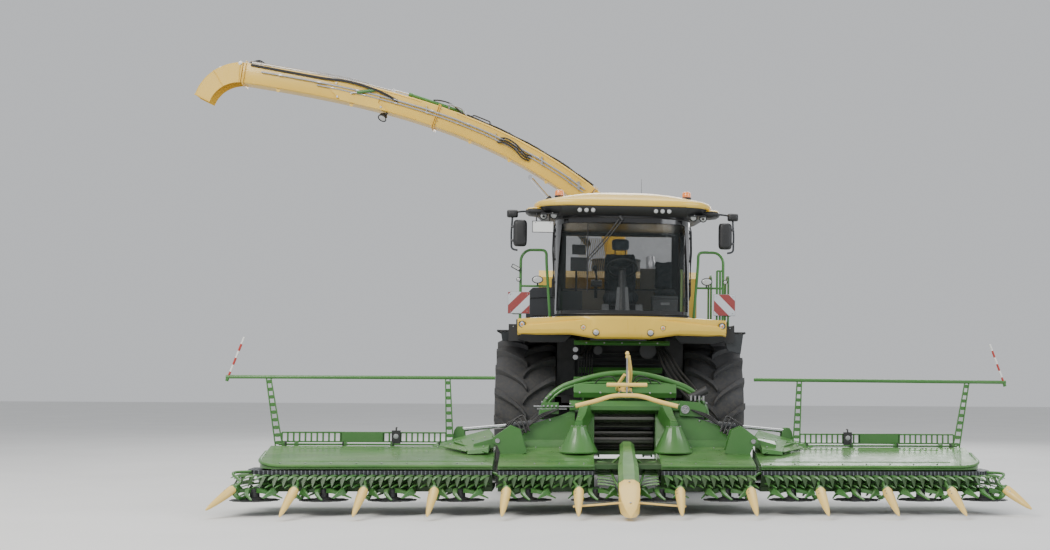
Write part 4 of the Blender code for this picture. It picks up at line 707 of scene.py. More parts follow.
hoses = Form()
for lane, (radius, rise) in enumerate(((0.011, 0.020), (0.010, 0.024), (0.008, 0.016))):
    side = -0.62 + 0.14 * lane
    path = [onBoom(0.01 + 0.40 * k / 40, side, 1, rise + 0.006 * math.sin(k * 0.7 + lane)) for k in range(41)]
    path += [onBoom(0.43, side * 0.7, 1, 0.07), onBoom(0.455, side * 0.3, 1, 0.11),
        onBoom(0.48, side * 0.2 + 0.05 * lane, 1, 0.10), onBoom(0.495, 0.02 * lane, 1, 0.078)]
    hoses.tube(curve(path, 3), radius, 10)
for lane in (0, 1):
    side = 0.55 + 0.12 * lane
    path = [onBoom(0.50 + 0.43 * k / 36, side, 1, 0.016 + 0.004 * math.sin(k * 0.9 + lane)) for k in range(37)]
    path += [onBoom(0.955, side, 1, 0.05 + 0.02 * lane), onBoom(0.972, side * 0.8, 1, 0.085 + 0.02 * lane),
        onBoom(0.99, side * 0.5, 1, 0.05), onBoom(0.997, side * 0.4, 1, 0.012)]
    hoses.tube(curve(path, 3), 0.009, 8)
hoses.slot = 1
for k in range(7):
    t = 0.05 + 0.055 * k
    a, b = onBoom(t, -0.80, 1, 0.0), onBoom(t, -0.12, 1, 0.0)
    hoses.tube(bend([a, a + Vector((0, 0, 0.045)), b + Vector((0, 0, 0.045)), b], 0.02), 0.0035, 6)
make("spout_hoses", hoses, [hoseRubber, blackPlastic], "spout_lift", sharp=40)
print("boom made")


# the elbow that stands on the turret, and its turntable
elbowRadius, elbowEnd = 1.17, 40
elbowLine = []
for k in range(21):
    a = 90 + (elbowEnd - 90) * k / 20
    r = math.radians(a)
    elbowLine.append((-elbowRadius * (1 - math.sin(r)), 3.30 + elbowRadius * math.cos(r), r))
elbow = Form()
duct(elbow, elbowLine, (spout["width"], spout["width"], spout["depth"], spout["depth"]))
for spot in (elbowLine[-1], elbowLine[0]):
    x, z, a = spot
    for shift in (-0.010,):
        first = boxSection(x - math.cos(a) * shift, z + math.sin(a) * shift, a, spout["width"] / 2 + 0.026,
            spout["depth"] / 2 + 0.026, 0.016)
        shift -= 0.007
        second = boxSection(x - math.cos(a) * shift, z + math.sin(a) * shift, a, spout["width"] / 2 + 0.026,
            spout["depth"] / 2 + 0.026, 0.016)
        elbow.loft([first, second])
for hand in (-1, 1):
    for level in (0.72, -0.72):
        path = []
        for x, z, a in elbowLine[2:-2]:
            rise = level * spout["depth"] / 2
            path.append(at(x + math.sin(a) * rise, spout["turretY"] + hand * (spout["width"] / 2 + 0.003),
                z + math.cos(a) * rise))
        elbow.tube(path, 0.006, 8)
make("spout_elbow_skin", elbow, [spoutYellowShaded], "spout_slew", sharp=32, replaces=["spout_elbow"])

collar = Form()
base = at(0, spout["turretY"], 0)
collar.spin([(0.30, 3.262), (0.36, 3.262), (0.36, 3.285), (0.335, 3.292), (0.29, 3.296), (0.24, 3.298),
    (0.24, 3.285), (0.30, 3.275)], base, (0, 0, 1), 64)
for k in range(24):
    a = 2 * math.pi * k / 24
    collar.bolt(base + Vector((math.cos(a) * 0.345, math.sin(a) * 0.345, 3.286)), (0, 0, 1), 0.010, 0.008)
collar.slot = 1
teeth = []
for k in range(180):
    a = 2 * math.pi * k / 180
    teeth.append((math.cos(a) * (0.356 if k % 2 else 0.372), math.sin(a) * (0.356 if k % 2 else 0.372)))
collar.plate(teeth, base + Vector((0, 0, 3.266)), (1, 0, 0), (0, 1, 0), 0.014)
make("spout_collar", collar, [anthracite, darkSteel], "spout_slew", sharp=35)

# the deflector: two hinged steps, rounded back and side cheeks
flapFine = fineLine(flapLine, 5)
flap = Form()
count = len(flapFine) - 1
backs = []
for i, (x, z, a) in enumerate(flapFine):
    t = i / count
    halfWidth, halfDepth = spout["tipWidth"] / 2 + 0.004, 0.15 + (0.117 - 0.15) * t
    ring = []
    for across, up in ((halfWidth, -halfDepth), (halfWidth, halfDepth * 0.86), (halfWidth - 0.02, halfDepth),
        (-halfWidth + 0.02, halfDepth), (-halfWidth, halfDepth * 0.86), (-halfWidth, -halfDepth),
                       (-halfWidth + 0.007, -halfDepth), (-halfWidth + 0.007, halfDepth * 0.84),
                           (-halfWidth + 0.024, halfDepth - 0.007), (halfWidth - 0.024, halfDepth - 0.007),
                           (halfWidth - 0.007, halfDepth * 0.84), (halfWidth - 0.007, -halfDepth)):
        ring.append(at(x + math.sin(a) * up, spout["turretY"] + across, z + math.cos(a) * up))
    backs.append(ring)
flap.loft(backs)
for spot, wide in ((flapFine[1], 0.022), (flapFine[-1], 0.016), (flapFine[12], 0.014)):
    x, z, a = spot
    t = flapFine.index(spot) / count
    halfWidth, halfDepth = spout["tipWidth"] / 2 + 0.004, 0.15 + (0.117 - 0.15) * t
    for hand in (-1, 1):
        low = at(x + math.sin(a) * -halfDepth, spout["turretY"] + hand * (halfWidth + 0.004),
            z - math.cos(a) * halfDepth)
        high = at(x + math.sin(a) * halfDepth, spout["turretY"] + hand * (halfWidth + 0.004),
            z + math.cos(a) * halfDepth)
        flap.tube([low, high], 0.007, 8)
make("spout_flap_skin", flap, [spoutYellowShaded], "spout_flap", sharp=30, replaces=["spout_flap"])
flapGear = Form()
x, z, a = flapFine[1]
for hand in (-1, 1):
    pivot = at(x + math.sin(a) * 0.13, spout["turretY"] + hand * 0.176, z + math.cos(a) * 0.13)
    flapGear.slot = 0
    flapGear.spin([(0.026, 0), (0.026, 0.008), (0.001, 0.0085)], pivot, (0, hand, 0), 20)
    flapGear.bolt(pivot + Vector((0, hand * 0.008, 0)), (0, hand, 0), 0.015, 0.012)
for share, rise in ((0.10, 0.145), (0.42, 0.14)):
    x, z, a = flapFine[int(share * count)]
    spot = at(x + math.sin(a) * rise, spout["turretY"] + 0.03, z + math.cos(a) * rise)
    flapGear.block(spot + Vector((-0.014, -0.022, -0.01)), spot + Vector((0.014, 0.022, 0.055)))
flapGear.slot = 1
x1, z1, a1 = flapFine[int(0.10 * count)]
x2, z2, a2 = flapFine[int(0.42 * count)]
flapGear.tube([at(x1 + math.sin(a1) * 0.185, spout["turretY"] + 0.03, z1 + math.cos(a1) * 0.185),
    at(x2 + math.sin(a2) * 0.18, spout["turretY"] + 0.03, z2 + math.cos(a2) * 0.18)], 0.010, 10)
make("spout_flap_gear", flapGear, [bareSteel, chromeRod], "spout_flap", sharp=35)
print("spout made")


# the view, the floor and the light

stand = bpy.data.cameras.new("view")
stand.lens = 52.75
stand.sensor_width = 36
stand.shift_x = -0.1874
stand.shift_y = 0.0201
stand.clip_end = 200
eye = bpy.data.objects.new("view", stand)
bpy.context.scene.collection.objects.link(eye)
turn = Matrix.Rotation(math.radians(-5.7), 4, "Z") @ Matrix.Rotation(math.radians(90 + 2.95), 4,
    "X") @ Matrix.Rotation(math.radians(0.43), 4, "Z")
eye.matrix_world = Matrix.Translation(at(-0.7, -21.2, 1.58)) @ turn
bpy.context.scene.camera = eye

floor = Form()
floor.slot = 0
floor.add([(-60, -60, 0), (60, -60, 0), (60, 60, 0), (-60, 60, 0)], [(0, 1, 2, 3)])
shop = Shop("studio_floor")
shop.put(colour=shop.mix(shop.noise(0.6, 4.0).between(0, 1, 0.3, 0.7), (0.70, 0.70, 0.69), (0.74, 0.74, 0.73)),
    roughness=0.85)
floorMesh = bpy.data.meshes.new("studio_floor")
floorMesh.from_pydata(floor.points, [], floor.faces)
floorMesh.materials.append(shop.done())
ground = bpy.data.objects.new("studio_floor", floorMesh)
bpy.context.scene.collection.objects.link(ground)


def lamp(name, place, target, size, power, colour=(1, 1, 1)):
    data = bpy.data.lights.new(name, "AREA")
    data.shape = "RECTANGLE"
    data.size, data.size_y = size
    data.energy = power
    data.color = colour
    light = bpy.data.objects.new(name, data)
    light.location = place
    light.rotation_euler = (Vector(target) - Vector(place)).to_track_quat("-Z", "Y").to_euler()
    bpy.context.scene.collection.objects.link(light)


lamp("key", (-9, -13, 13), (0, 0, 1.5), (10, 7), 2600, (1.0, 0.97, 0.92))
lamp("fill", (13, -9, 8), (0, 0, 1.5), (9, 7), 900, (0.93, 0.96, 1.0))
lamp("top", (0, 3, 14), (0, 0, 0), (14, 10), 1100)
lamp("back", (4, 15, 8), (0, 0, 2), (12, 6), 900)
world = bpy.data.worlds.new("studio_air")
world.use_nodes = True
world.node_tree.nodes["Background"].inputs["Color"].default_value = (0.88, 0.90, 0.93, 1)
world.node_tree.nodes["Background"].inputs["Strength"].default_value = 0.72
bpy.context.scene.world = world
print("view and light set")


# header: decks, collector tines, dividers and cones

header = {  # metres from the machine's middle and front axle
    "deckRear": -2.70, "deckFront": -3.60, "high": 0.72, "low": 0.54, "inner": 1.53, "outer": 4.12,
    "centreInner": 0.38, "centreOuter": 1.47, "tinePitch": 0.105, "discRadius": 0.27,
}


def deckHeight(y):
    share = (y - header["deckRear"]) / (header["deckFront"] - header["deckRear"])
    return header["high"] + (header["low"] - header["high"]) * share


def chainFinish():
    # collector band: dark links with steel edges, repeated along the header
    shop = Shop("collector_band")
    x, y, z = shop.parted(shop.place())
    link = ((x + y * 0.35) * 22.0).wrapped(1.0)
    gap = (link > 0.86)
    bright = (link < 0.30) * shop.noise(40, 3.0).between(0.3, 1, 0.3, 0.7)
    tone = shop.mix(bright, (0.035, 0.037, 0.042), (0.24, 0.25, 0.28))
    shop.put(colour=shop.mix(gap, tone, (0.006, 0.006, 0.007)), roughness=shop.noise(30, 3.0).between(0.3, 0.6),
        metallic=0.5, normal=shop.bump(1.0 - gap * 1.0, 0.8, 0.004))
    return shop.done()


collectorBand = chainFinish()


def wornGreen():
    # header paint with faded sweeps where crop runs over it and bare edges
    shop = Shop("deck_green")
    sweep = shop.noise(1.6, 4.0, 0.6, (0.5, 3.0, 1.0)).between(0, 1, 0.42, 0.68)
    tone = shop.mix(sweep, (0.040, 0.150, 0.026), (0.085, 0.235, 0.050))
    scratches = shop.noise(42, 6.0, 0.7, (0.35, 3.0, 1.0)).between(0, 0.55, 0.62, 0.78)
    shop.put(
        colour=dust(shop, shop.mix(scratches, tone, (0.17, 0.24, 0.13)), 0.20),
        roughness=shop.noise(9, 4.0).between(0.26, 0.46, 0.3, 0.7), coat=0.3, coatRoughness=0.15,
        normal=shop.bump(shop.noise(120, 3.0), 0.06, 0.0008),
    )
    return shop.done()


deckGreen = wornGreen()


def tineFinger(form, place, out, length, height, width):
    # a pressed finger: broad at the root, curved down to a point, with a folded rib
    place, out = Vector(place), Vector(out).normalized()
    across = Vector((-out.y, out.x, 0))
    up = Vector((0, 0, 1))
    rings = []
    for share, half, rise in ((0.0, 0.5, 0.0), (0.35, 0.42, -0.06), (0.7, 0.24, -0.20), (1.0, 0.04, -0.42)):
        middle = place + out * length * share + up * height * rise
        rings.append([middle - across * width * half, middle + up * 0.012 * (1 - share * 0.6),
            middle + across * width * half,
                      middle + across * width * half - up * 0.006,
                          middle + up * (0.012 * (1 - share * 0.6) - 0.006),
                          middle - across * width * half - up * 0.006])
    form.loft(rings, rounded=False)


def drop(form, place, out, length, width):
    # an upright triangular guide plate that hangs below the band
    place, out = Vector(place), Vector(out).normalized()
    across = Vector((-out.y, out.x, 0))
    a, b, tip = place - across * width / 2, place + across * width / 2, place + out * length * 0.55 - Vector((0,
        0, length))
    thick = out * 0.006
    form.add([a, b, tip, a + thick, b + thick, tip + thick],
        [(0, 1, 2), (5, 4, 3), (0, 3, 4, 1), (1, 4, 5, 2), (2, 5, 3, 0)])


def frontEdge(side, low, high, rounded, extra=0.0, steps=10):
    # the header's plan edge from the inner end to the rear of the outer end
    made = [(low, header["deckFront"] - extra)]
    if not rounded:
        return [(side * x, y) for x, y in made + [(high, header["deckFront"] - extra)]]
    radius = 0.30
    middle = (high - radius, header["deckFront"] + radius)
    for k in range(steps + 1):
        a = -math.pi / 2 + math.pi / 2 * k / steps
        made.append((middle[0] + math.cos(a) * (radius + extra), middle[1] + math.sin(a) * (radius + extra)))
    made.append((high + extra, header["deckRear"] - 0.28))
    return [(side * x, y) for x, y in made]


def spaced(path, pitch):
    # even places along a plan path, each with its outward direction
    made, left = [], pitch / 2
    for (x1, y1), (x2, y2) in zip(path, path[1:]):
        length = math.hypot(x2 - x1, y2 - y1)
        while left < length:
            f = left / length
            way = Vector((x2 - x1, y2 - y1, 0)) / length
            made.append(((x1 + (x2 - x1) * f, y1 + (y2 - y1) * f), way))
            left += pitch
        left -= length
    return made


def outward(side, way):
    out = Vector((way.y, -way.x, 0)) * side
    return out


def section(word, side, low, high, body, nodes, rounded):
    high = header["outer"] + 0.12 if rounded else high
    deck = Form()
    # sloping table with its rolled front edge
    edge = frontEdge(side, low, high - (0.10 if rounded else 0), rounded)
    rear = [(side * low, header["deckRear"]), (edge[-1][0], header["deckRear"])]
    outline = edge + [rear[1], rear[0]]
    top = [at(x, y, deckHeight(y)) for x, y in outline]
    bottom = [at(x, y, 0.50 if y < -2.9 else 0.30) for x, y in outline]
    count = len(outline)
    deck.add(top + bottom, [tuple(range(count)), tuple(range(2 * count - 1, count - 1, -1))] + [(i,
        (i + 1) % count, count + (i + 1) % count, count + i) for i in range(count)])
    deck.slot = 1
    # shallow stiffening lines and bolts on the table
    for y in (-2.83, -3.40):
        deck.slot = 0
        a, b = low + 0.05, high - (0.45 if rounded else 0.06)
        deck.tube([at(side * a, y, deckHeight(y) + 0.001), at(side * b, y, deckHeight(y) + 0.001)], 0.005, 6)
    rim = [at(x, y, deckHeight(y) - 0.004) for x, y in frontEdge(side, low + 0.01,
        high - (0.10 if rounded else 0.01), rounded)]
    deck.tube(curve(rim, 1) if rounded else rim, 0.020, 10)
    deck.slot = 3
    for k in range(int((high - low) / 0.28)):
        x = low + 0.12 + 0.28 * k
        for y in (-2.76, -3.50):
            if x < high - 0.3 or not rounded:
                deck.bolt(at(side * x, y, deckHeight(y)), (0, 0.2, 1), 0.011, 0.008)
    # collector band under the edge
    deck.slot = 2
    outer = frontEdge(side, low, high, rounded, 0.03)
    inner = frontEdge(side, low, high, rounded, -0.16)
    band = [at(x, y, 0.485) for x, y in outer] + [at(x, y, 0.485) for x, y in reversed(inner)]
    under = [p - Vector((0, 0, 0.045)) for p in band]
    deck.loft([band, under], rounded=False)
    # the plate under the table takes the darker green: painted shade
    deck.slot = 1
    floorPlan = frontEdge(side, low, high, rounded, -0.10)
    plan = floorPlan + [(floorPlan[-1][0], header["deckRear"] - 0.05), (side * low, header["deckRear"] - 0.05)]
    deck.loft([[at(x, y, 0.30) for x, y in plan], [at(x, y, 0.245) for x, y in plan]], rounded=False)
    make("deck_" + word, deck, [deckGreen, shadedGreen, collectorBand, bareSteel], body, edge=0.004, sharp=35,
        replaces=nodes)

    # two rows of collector fingers with upright guides between them
    tines = Form()
    for spot, way in spaced(frontEdge(side, low + 0.01, high, rounded, 0.02), header["tinePitch"]):
        out = outward(side, way)
        place = at(spot[0], spot[1], 0.435)
        tineFinger(tines, place, out + Vector((way.x, way.y, 0)) * 0.30, 0.20, 0.10, 0.085)
        # guides and the wall below the band take the darker green: painted shade
        tines.slot = 1
        drop(tines, place + out * 0.10 + Vector((0, 0, -0.012)), out, 0.115, 0.075)
        tines.slot = 0
        lower = at(spot[0], spot[1], 0.345) - out * 0.02
        tineFinger(tines, lower, out + Vector((way.x, way.y, 0)) * 0.45, 0.22, 0.09, 0.075)
    tines.slot = 1
    wall = frontEdge(side, low, high, rounded, -0.05)
    face = [at(x, y, 0.44) for x, y in wall]
    foot = [at(x, y, 0.27) for x, y in frontEdge(side, low, high, rounded, -0.12)]
    tines.loft([face, foot], caps=False, ring=False, rounded=rounded)
    make("collector_tines_" + word, tines, [headerGreen, shadedGreen], body, sharp=30)


def discs(word, side, places, body):
    # slotted knife discs with their hubs and guide hooks
    form = Form()
    for x in places:
        centre = at(side * x, -3.66, 0.165)
        teeth = []
        for k in range(36):
            a = 2 * math.pi * k / 36
            r = header["discRadius"] * (1.0 if k % 3 else 0.90)
            teeth.append((math.cos(a) * r, math.sin(a) * r))
        form.slot = 0
        form.plate(teeth, centre - Vector((0, 0, 0.004)), (1, 0, 0), (0, 1, 0), 0.008)
        form.spin([(0.10, 0.004), (0.10, 0.020), (0.055, 0.035), (0.05, 0.12), (0.001, 0.125)], centre,
            (0, 0, 1), 28)
        form.slot = 1
        form.block(at(side * x - 0.05, -3.66, 0.262), at(side * x + 0.05, -3.30, 0.292))
        for k in range(5):
            # curved sweepers above the knife
            a = 2 * math.pi * (k + 0.3) / 5
            path = [centre + Vector((math.cos(a + 0.16 * t) * (0.09 + 0.058 * t),
                math.sin(a + 0.16 * t) * (0.09 + 0.058 * t), 0.085 - 0.004 * t * t)) for t in range(5)]
            ring = []
            for t, p in enumerate(path):
                radial = (p - centre)
                radial.z = 0
                radial.normalize()
                across = Vector((-radial.y, radial.x, 0)) * (0.030 - 0.005 * t)
                ring.append([p - across, p + across, p + across + Vector((0, 0, 0.05 - 0.010 * t)),
                    p - across + Vector((0, 0, 0.05 - 0.010 * t))])
            form.loft(ring, rounded=False)
        for hand in (-1, 1):
            # pressed hooks each side of the row
            root = at(side * x + hand * 0.20, -3.56, 0.30)
            tip = at(side * x + hand * 0.12, -3.86, 0.20)
            middle = (root + tip) / 2 + Vector((hand * 0.05, -0.03, 0.02))
            rings = []
            for p, w, h in ((root, 0.06, 0.05), (middle, 0.05, 0.06), (tip, 0.012, 0.012)):
                rings.append([p + Vector((-w, 0, -h / 2)), p + Vector((w, 0, -h / 2)),
                    p + Vector((w * 0.3, -0.01, h / 2)), p + Vector((-w * 0.3, -0.01, h / 2))])
            form.loft(rings, rounded=False)
    make("knife_discs_" + word, form, [darkSteel, headerGreen], body, edge=0.0, sharp=28)


def dividers(word, side, places, body):
    # bent green arms that carry cream points
    arms, points = Form(), Form()
    for x, splay, length in places:
        tip = at(side * (x + splay), -4.46 + (1 - length) * 0.8, 0.05 + (1 - length) * 0.12)
        neck = at(side * (x + splay * 0.3), -3.60 - 0.46 * length, 0.30)
        crown = at(side * (x + 0.05), -3.74, 0.37)
        root = at(side * (x + 0.16), -3.58, 0.455)
        back = at(side * (x + 0.42 if x < 4 else x - 0.02), -3.50, 0.47)
        arms.tube(curve([back, root, crown, neck + Vector((0, 0.02, 0.01))], 6), 0.016, 10)
        arms.tube(curve([at(side * x, -3.36, 0.29), at(side * x, -3.74, 0.20),
            at(side * (x + splay * 0.15), -3.92, 0.22), neck + Vector((0, 0.02, -0.02))], 6), 0.020, 10)
        way = (tip - neck).normalized()
        over = way.orthogonal().normalized()
        up = way.cross(over)
        if up.z < 0:
            up = -up
        over = way.cross(up)
        length3 = (tip - neck).length
        rings = []
        for share, half in ((-0.02, 0.046), (0.05, 0.056), (0.30, 0.052), (0.60, 0.040), (0.85, 0.025),
            (0.96, 0.014), (1.0, 0.005)):
            middle = neck + way * length3 * share
            ring = []
            for k in range(16):
                a = 2 * math.pi * k / 16
                c, s = math.cos(a), math.sin(a)
                ring.append(middle + over * math.copysign(abs(c) ** 0.8,
                    c) * half + up * math.copysign(abs(s) ** 0.8, s) * half * 0.9)
            rings.append(ring)
        points.slot = 0
        points.loft(rings)
        points.slot = 1
        for share in (0.10, 0.20):
            spot = neck + way * length3 * share + up * 0.050 * 0.9
            points.bolt(spot, up, 0.009, 0.007)
        points.slot = 2
        points.spin([(0.047, -0.028), (0.049, -0.012), (0.049, 0.004), (0.001, 0.006)], neck, way, 20)
    make("divider_arms_" + word, arms, [headerGreen], body, sharp=40)
    make("divider_points_" + word, points, [creamPaint, bareSteel, headerGreen], body, sharp=40)


for side, word in ((1, "left"), (-1, "right")):
    section("wing_" + word, side, header["inner"], header["outer"], "wing_" + word, ["header_wing_" + word],
        True)
    discs("wing_" + word, side, [1.875 + 0.75 * i for i in range(4)], "wing_" + word)
    dividers("wing_" + word, side, ((2.12, 0.05, 1.0), (2.87, 0.08, 1.0), (3.60, 0.11, 1.0), (4.22, 0.32,
        0.62)), "wing_" + word)
    section("centre_" + word, side, header["centreInner"], header["centreOuter"], "feeder_lift",
        ["header_centre"] if side == 1 else [], False)
    discs("centre_" + word, side, (0.375, 1.125), "feeder_lift")
    dividers("centre_" + word, side, ((0.56, 0.0, 1.0), (1.34, 0.04, 1.0)), "feeder_lift")
print("header decks and collectors made")


# header centre: intake frame, cones, snout, hinges, hoop and hoses

frameWork = Form()
for side in (1, -1):
    def put(x, y, z, s=side):
        return at(s * x, y, z)
    # cheek beside the intake and the side wall that rises behind the table
    frameWork.loft([[put(0.37, -2.66, 0.46), put(0.50, -2.70, 0.46), put(0.50, -2.44, 1.16),
        put(0.37, -2.40, 1.20)],
                    [put(0.37, -2.246, 0.46), put(0.50, -2.246, 0.46), put(0.50, -2.246, 1.44),
                        put(0.37, -2.246, 1.44)]], rounded=False)
    wall = [put(0.60, -2.46, 1.16), put(0.74, -2.50, 1.10), put(1.12, -2.60, 0.98), put(1.38, -2.66, 0.84),
        put(1.40, -2.66, 0.60), put(0.62, -2.66, 0.60)]
    frameWork.loft([wall, [p + Vector((0, 0.012, 0)) for p in wall]], rounded=False)
    frameWork.loft([[put(0.60, -2.72, 0.71), put(1.40, -2.72, 0.71), put(1.40, -2.66, 0.80),
        put(0.60, -2.66, 0.80)],
                    [put(0.60, -2.72, 0.69), put(1.40, -2.72, 0.69), put(1.40, -2.66, 0.60),
                        put(0.60, -2.66, 0.60)]], rounded=False)
    frameWork.block(Vector((min(put(0.30, 0, 0).x, put(1.45, 0, 0).x), put(0, -2.72, 0).y, 0.42)),
        Vector((max(put(0.30, 0, 0).x, put(1.45, 0, 0).x), put(0, -2.46, 0).y, 0.56)))
    frameWork.block(Vector((min(put(0.0, 0, 0).x, put(1.47, 0, 0).x), put(0, -2.52, 0).y, 0.37)),
        Vector((max(put(0.0, 0, 0).x, put(1.47, 0, 0).x), put(0, -2.33, 0).y, 0.56)))
    # hinge tower: two fork plates and their rounded ears round the pin
    for y in (-2.84, -3.04):
        outline = [(side * 1.16, 0.66), (side * 1.24, 0.93), (side * 1.36, 0.98), (side * 1.47, 0.90),
            (side * 1.555, 0.84), (side * 1.56, 0.775), (side * 1.50, 0.74), (side * 1.44, 0.60)]
        first = [at(x, y - 0.012, z) for x, z in outline]
        frameWork.loft([first, [p + Vector((0, 0.026, 0)) for p in first]], rounded=False)
    frameWork.block(Vector((min(put(1.24, 0, 0).x, put(1.44, 0, 0).x), put(0, -3.04, 0).y, 0.50)),
        Vector((max(put(1.24, 0, 0).x, put(1.44, 0, 0).x), put(0, -2.80, 0).y, 0.66)))
    # fork that holds the fold cylinder
    for y in (-2.50, -2.36):
        outline = [(side * 0.60, 0.60), (side * 0.60, 1.03), (side * 0.64, 1.07), (side * 0.71, 1.07),
            (side * 0.75, 1.02), (side * 0.80, 0.60)]
        first = [at(x, y - 0.010, z) for x, z in outline]
        frameWork.loft([first, [p + Vector((0, 0.020, 0)) for p in first]], rounded=False)
for low, high, y, z, depth in ((-0.62, 0.62, -2.43, 1.38, 0.15),):
    # folded upper beam, with a shelf face and a lip
    outline = [(y - 0.03, z - 0.08), (y - 0.075, z - 0.02), (y - 0.03, z + 0.085), (y + 0.10, z + 0.085),
        (y + 0.10, z - 0.08)]
    frameWork.loft([[at(low, a, b) for a, b in outline], [at(high, a, b) for a, b in outline]], rounded=False)
outline = [(-2.44, 1.12), (-2.52, 1.15), (-2.53, 1.20), (-2.50, 1.26), (-2.40, 1.27), (-2.40, 1.12)]
frameWork.loft([[at(-0.67, a, b) for a, b in outline], [at(0.67, a, b) for a, b in outline]], rounded=False)
# the lip under the upper beam and the intake floor take the darker green: painted shade
frameWork.slot = 1
outline = [(-2.42, 1.10), (-2.47, 1.12), (-2.35, 1.17), (-2.30, 1.10)]
frameWork.loft([[at(-0.40, a, b) for a, b in outline], [at(0.40, a, b) for a, b in outline]], rounded=False)
frameWork.loft([[at(-0.46, -3.55, 0.50), at(0.46, -3.55, 0.50), at(0.46, -2.45, 0.50), at(-0.46, -2.45, 0.50)],
                [at(-0.46, -3.55, 0.555), at(0.46, -3.55, 0.555), at(0.46, -2.45, 0.565),
                    at(-0.46, -2.45, 0.565)]], rounded=False)
frameWork.slot = 0
hoop = bend([at(-1.05, -2.295, 0.52), at(-1.0, -2.295, 1.22), at(-0.80, -2.295, 1.42), at(-0.25, -2.295, 1.60),
    at(0.25, -2.295, 1.60), at(0.80, -2.295, 1.42), at(1.0, -2.295, 1.22), at(1.05, -2.295, 0.52)], 0.34, 8)
frameWork.tube(hoop, 0.034, 14)
frameWork.tube(bend([at(-0.98, -2.33, 1.16), at(-0.80, -2.34, 1.38), at(-0.50, -2.34, 1.48),
    at(0.50, -2.34, 1.48), at(0.80, -2.34, 1.38), at(0.98, -2.33, 1.16)], 0.2, 6), 0.016, 10)
frameWork.slot = 2
for side in (1, -1):
    for x, y, z in ((0.66, -2.52, 1.225), (0.90, -2.55, 1.03), (1.30, -2.66, 0.86), (0.64, -2.66, 0.70),
        (0.95, -2.66, 0.66), (1.34, -2.66, 0.66), (0.55, -2.505, 1.36), (0.30, -2.505, 1.36),
        (0.08, -2.505, 1.36)):
        frameWork.bolt(at(side * x, y, z), (0, -1, 0), 0.013, 0.012)
    for y in (-2.866, -3.066):
        frameWork.spin([(0.028, 0.0), (0.028, -0.014), (0.001, -0.016)], at(side * 1.50, y + 0.012, 0.80),
            (0, 1, 0), 20)
    for k in range(3):
        frameWork.bolt(at(side * (0.90 + 0.05 * k), -2.33, 1.33 - 0.045 * k), (0, -1, 0), 0.016, 0.014)
make("intake_frame", frameWork, [headerGreen, shadedGreen, bareSteel], "feeder_lift", edge=0.004, sharp=35)

cones = Form()
for side in (1, -1):
    spot = at(side * 0.56, -2.92, 0)
    rings = []
    for z, r in ((0.655, 0.235), (0.672, 0.238), (0.690, 0.222), (0.945, 0.098), (0.965, 0.094), (0.972, 0.080),
        (0.975, 0.03)):
        # twelve flat facets, like the folded sheet
        ring = []
        for k in range(14):
            a = 2 * math.pi * k / 14
            ring.append(spot + Vector((math.cos(a) * r, math.sin(a) * r, z)))
        rings.append(ring)
    cones.loft(rings, rounded=False)
    # arm from the cone's bearing back to the beam
    a, b = at(side * 0.56, -2.90, 1.00), at(side * 0.45, -2.48, 1.20)
    cones.tube([at(side * 0.56, -2.92, 0.96), at(side * 0.56, -2.92, 1.02)], 0.055, 16)
    rings = []
    for p, w, h in ((at(side * 0.56, -2.94, 0.99), 0.06, 0.05), (at(side * 0.53, -2.80, 1.03), 0.075, 0.07),
        (at(side * 0.48, -2.50, 1.16), 0.09, 0.10)):
        rings.append([p + Vector((-w, 0, -h)), p + Vector((w, 0, -h)), p + Vector((w * 0.6, 0, h)),
            p + Vector((-w * 0.6, 0, h))])
    cones.loft(rings, rounded=False)
    cones.slot = 1
    for k in range(7):
        a = math.pi * (k + 0.5) / 7 + math.pi
        cones.bolt(spot + Vector((math.cos(a) * 0.085, math.sin(a) * 0.085, 0.970)), (0, 0, 1), 0.008, 0.007)
    for x, y, z in ((0.56, -2.84, 1.075), (0.54, -2.68, 1.125)):
        cones.bolt(at(side * x, y, z), (0, -0.3, 1), 0.010, 0.010)
    cones.slot = 0
make("collector_cones", cones, [headerGreen, bareSteel], "feeder_lift", edge=0.003, sharp=20)

# the middle divider: a folded plate with shoulders, and its cream point
snout = Form()
stations = ((-3.03, 0.045, 0.80, 0.55), (-3.16, 0.085, 0.80, 0.52), (-3.45, 0.088, 0.70, 0.46),
    (-3.62, 0.115, 0.585, 0.36), (-3.80, 0.118, 0.49, 0.27), (-3.96, 0.112, 0.41, 0.20))
rings = []
for y, half, top, low in stations:
    rings.append([at(-half, y, low), at(half, y, low), at(half, y, top - 0.035), at(half * 0.55, y, top),
        at(-half * 0.55, y, top), at(-half, y, top - 0.035)])
snout.loft(rings, rounded=False)
for side in (1, -1):
    # ribs that run back under the intake from the shoulders
    snout.tube(curve([at(side * 0.08, -3.10, 0.62), at(side * 0.19, -3.30, 0.52), at(side * 0.16, -3.60, 0.40),
        at(side * 0.10, -3.85, 0.30)], 5), 0.014, 10)
    for k in range(9):
        z = 0.56 - 0.026 * k
        y = -3.10 - 0.085 * k
        tineFinger(snout, at(side * 0.34, y, z), (-side, -0.35, 0), 0.20, 0.05, 0.05)
snout.slot = 1
rings = []
for y, half, top, low in ((-3.965, 0.114, 0.412, 0.195), (-4.10, 0.118, 0.350, 0.135),
    (-4.30, 0.100, 0.250, 0.065), (-4.46, 0.062, 0.150, 0.042), (-4.56, 0.010, 0.060, 0.042)):
    rings.append([at(-half, y, low), at(half, y, low), at(half, y, top - 0.035 * half / 0.11),
        at(half * 0.5, y, top), at(-half * 0.5, y, top), at(-half, y, top - 0.035 * half / 0.11)])
snout.loft(rings, rounded=False)
rod = curve([at(-0.62, -4.20, 0.135), at(-0.35, -4.21, 0.155), at(-0.10, -4.22, 0.175), at(0.10, -4.22, 0.175),
    at(0.35, -4.21, 0.155), at(0.62, -4.20, 0.135)], 6)
snout.tube(rod, 0.011, 10)
snout.slot = 2
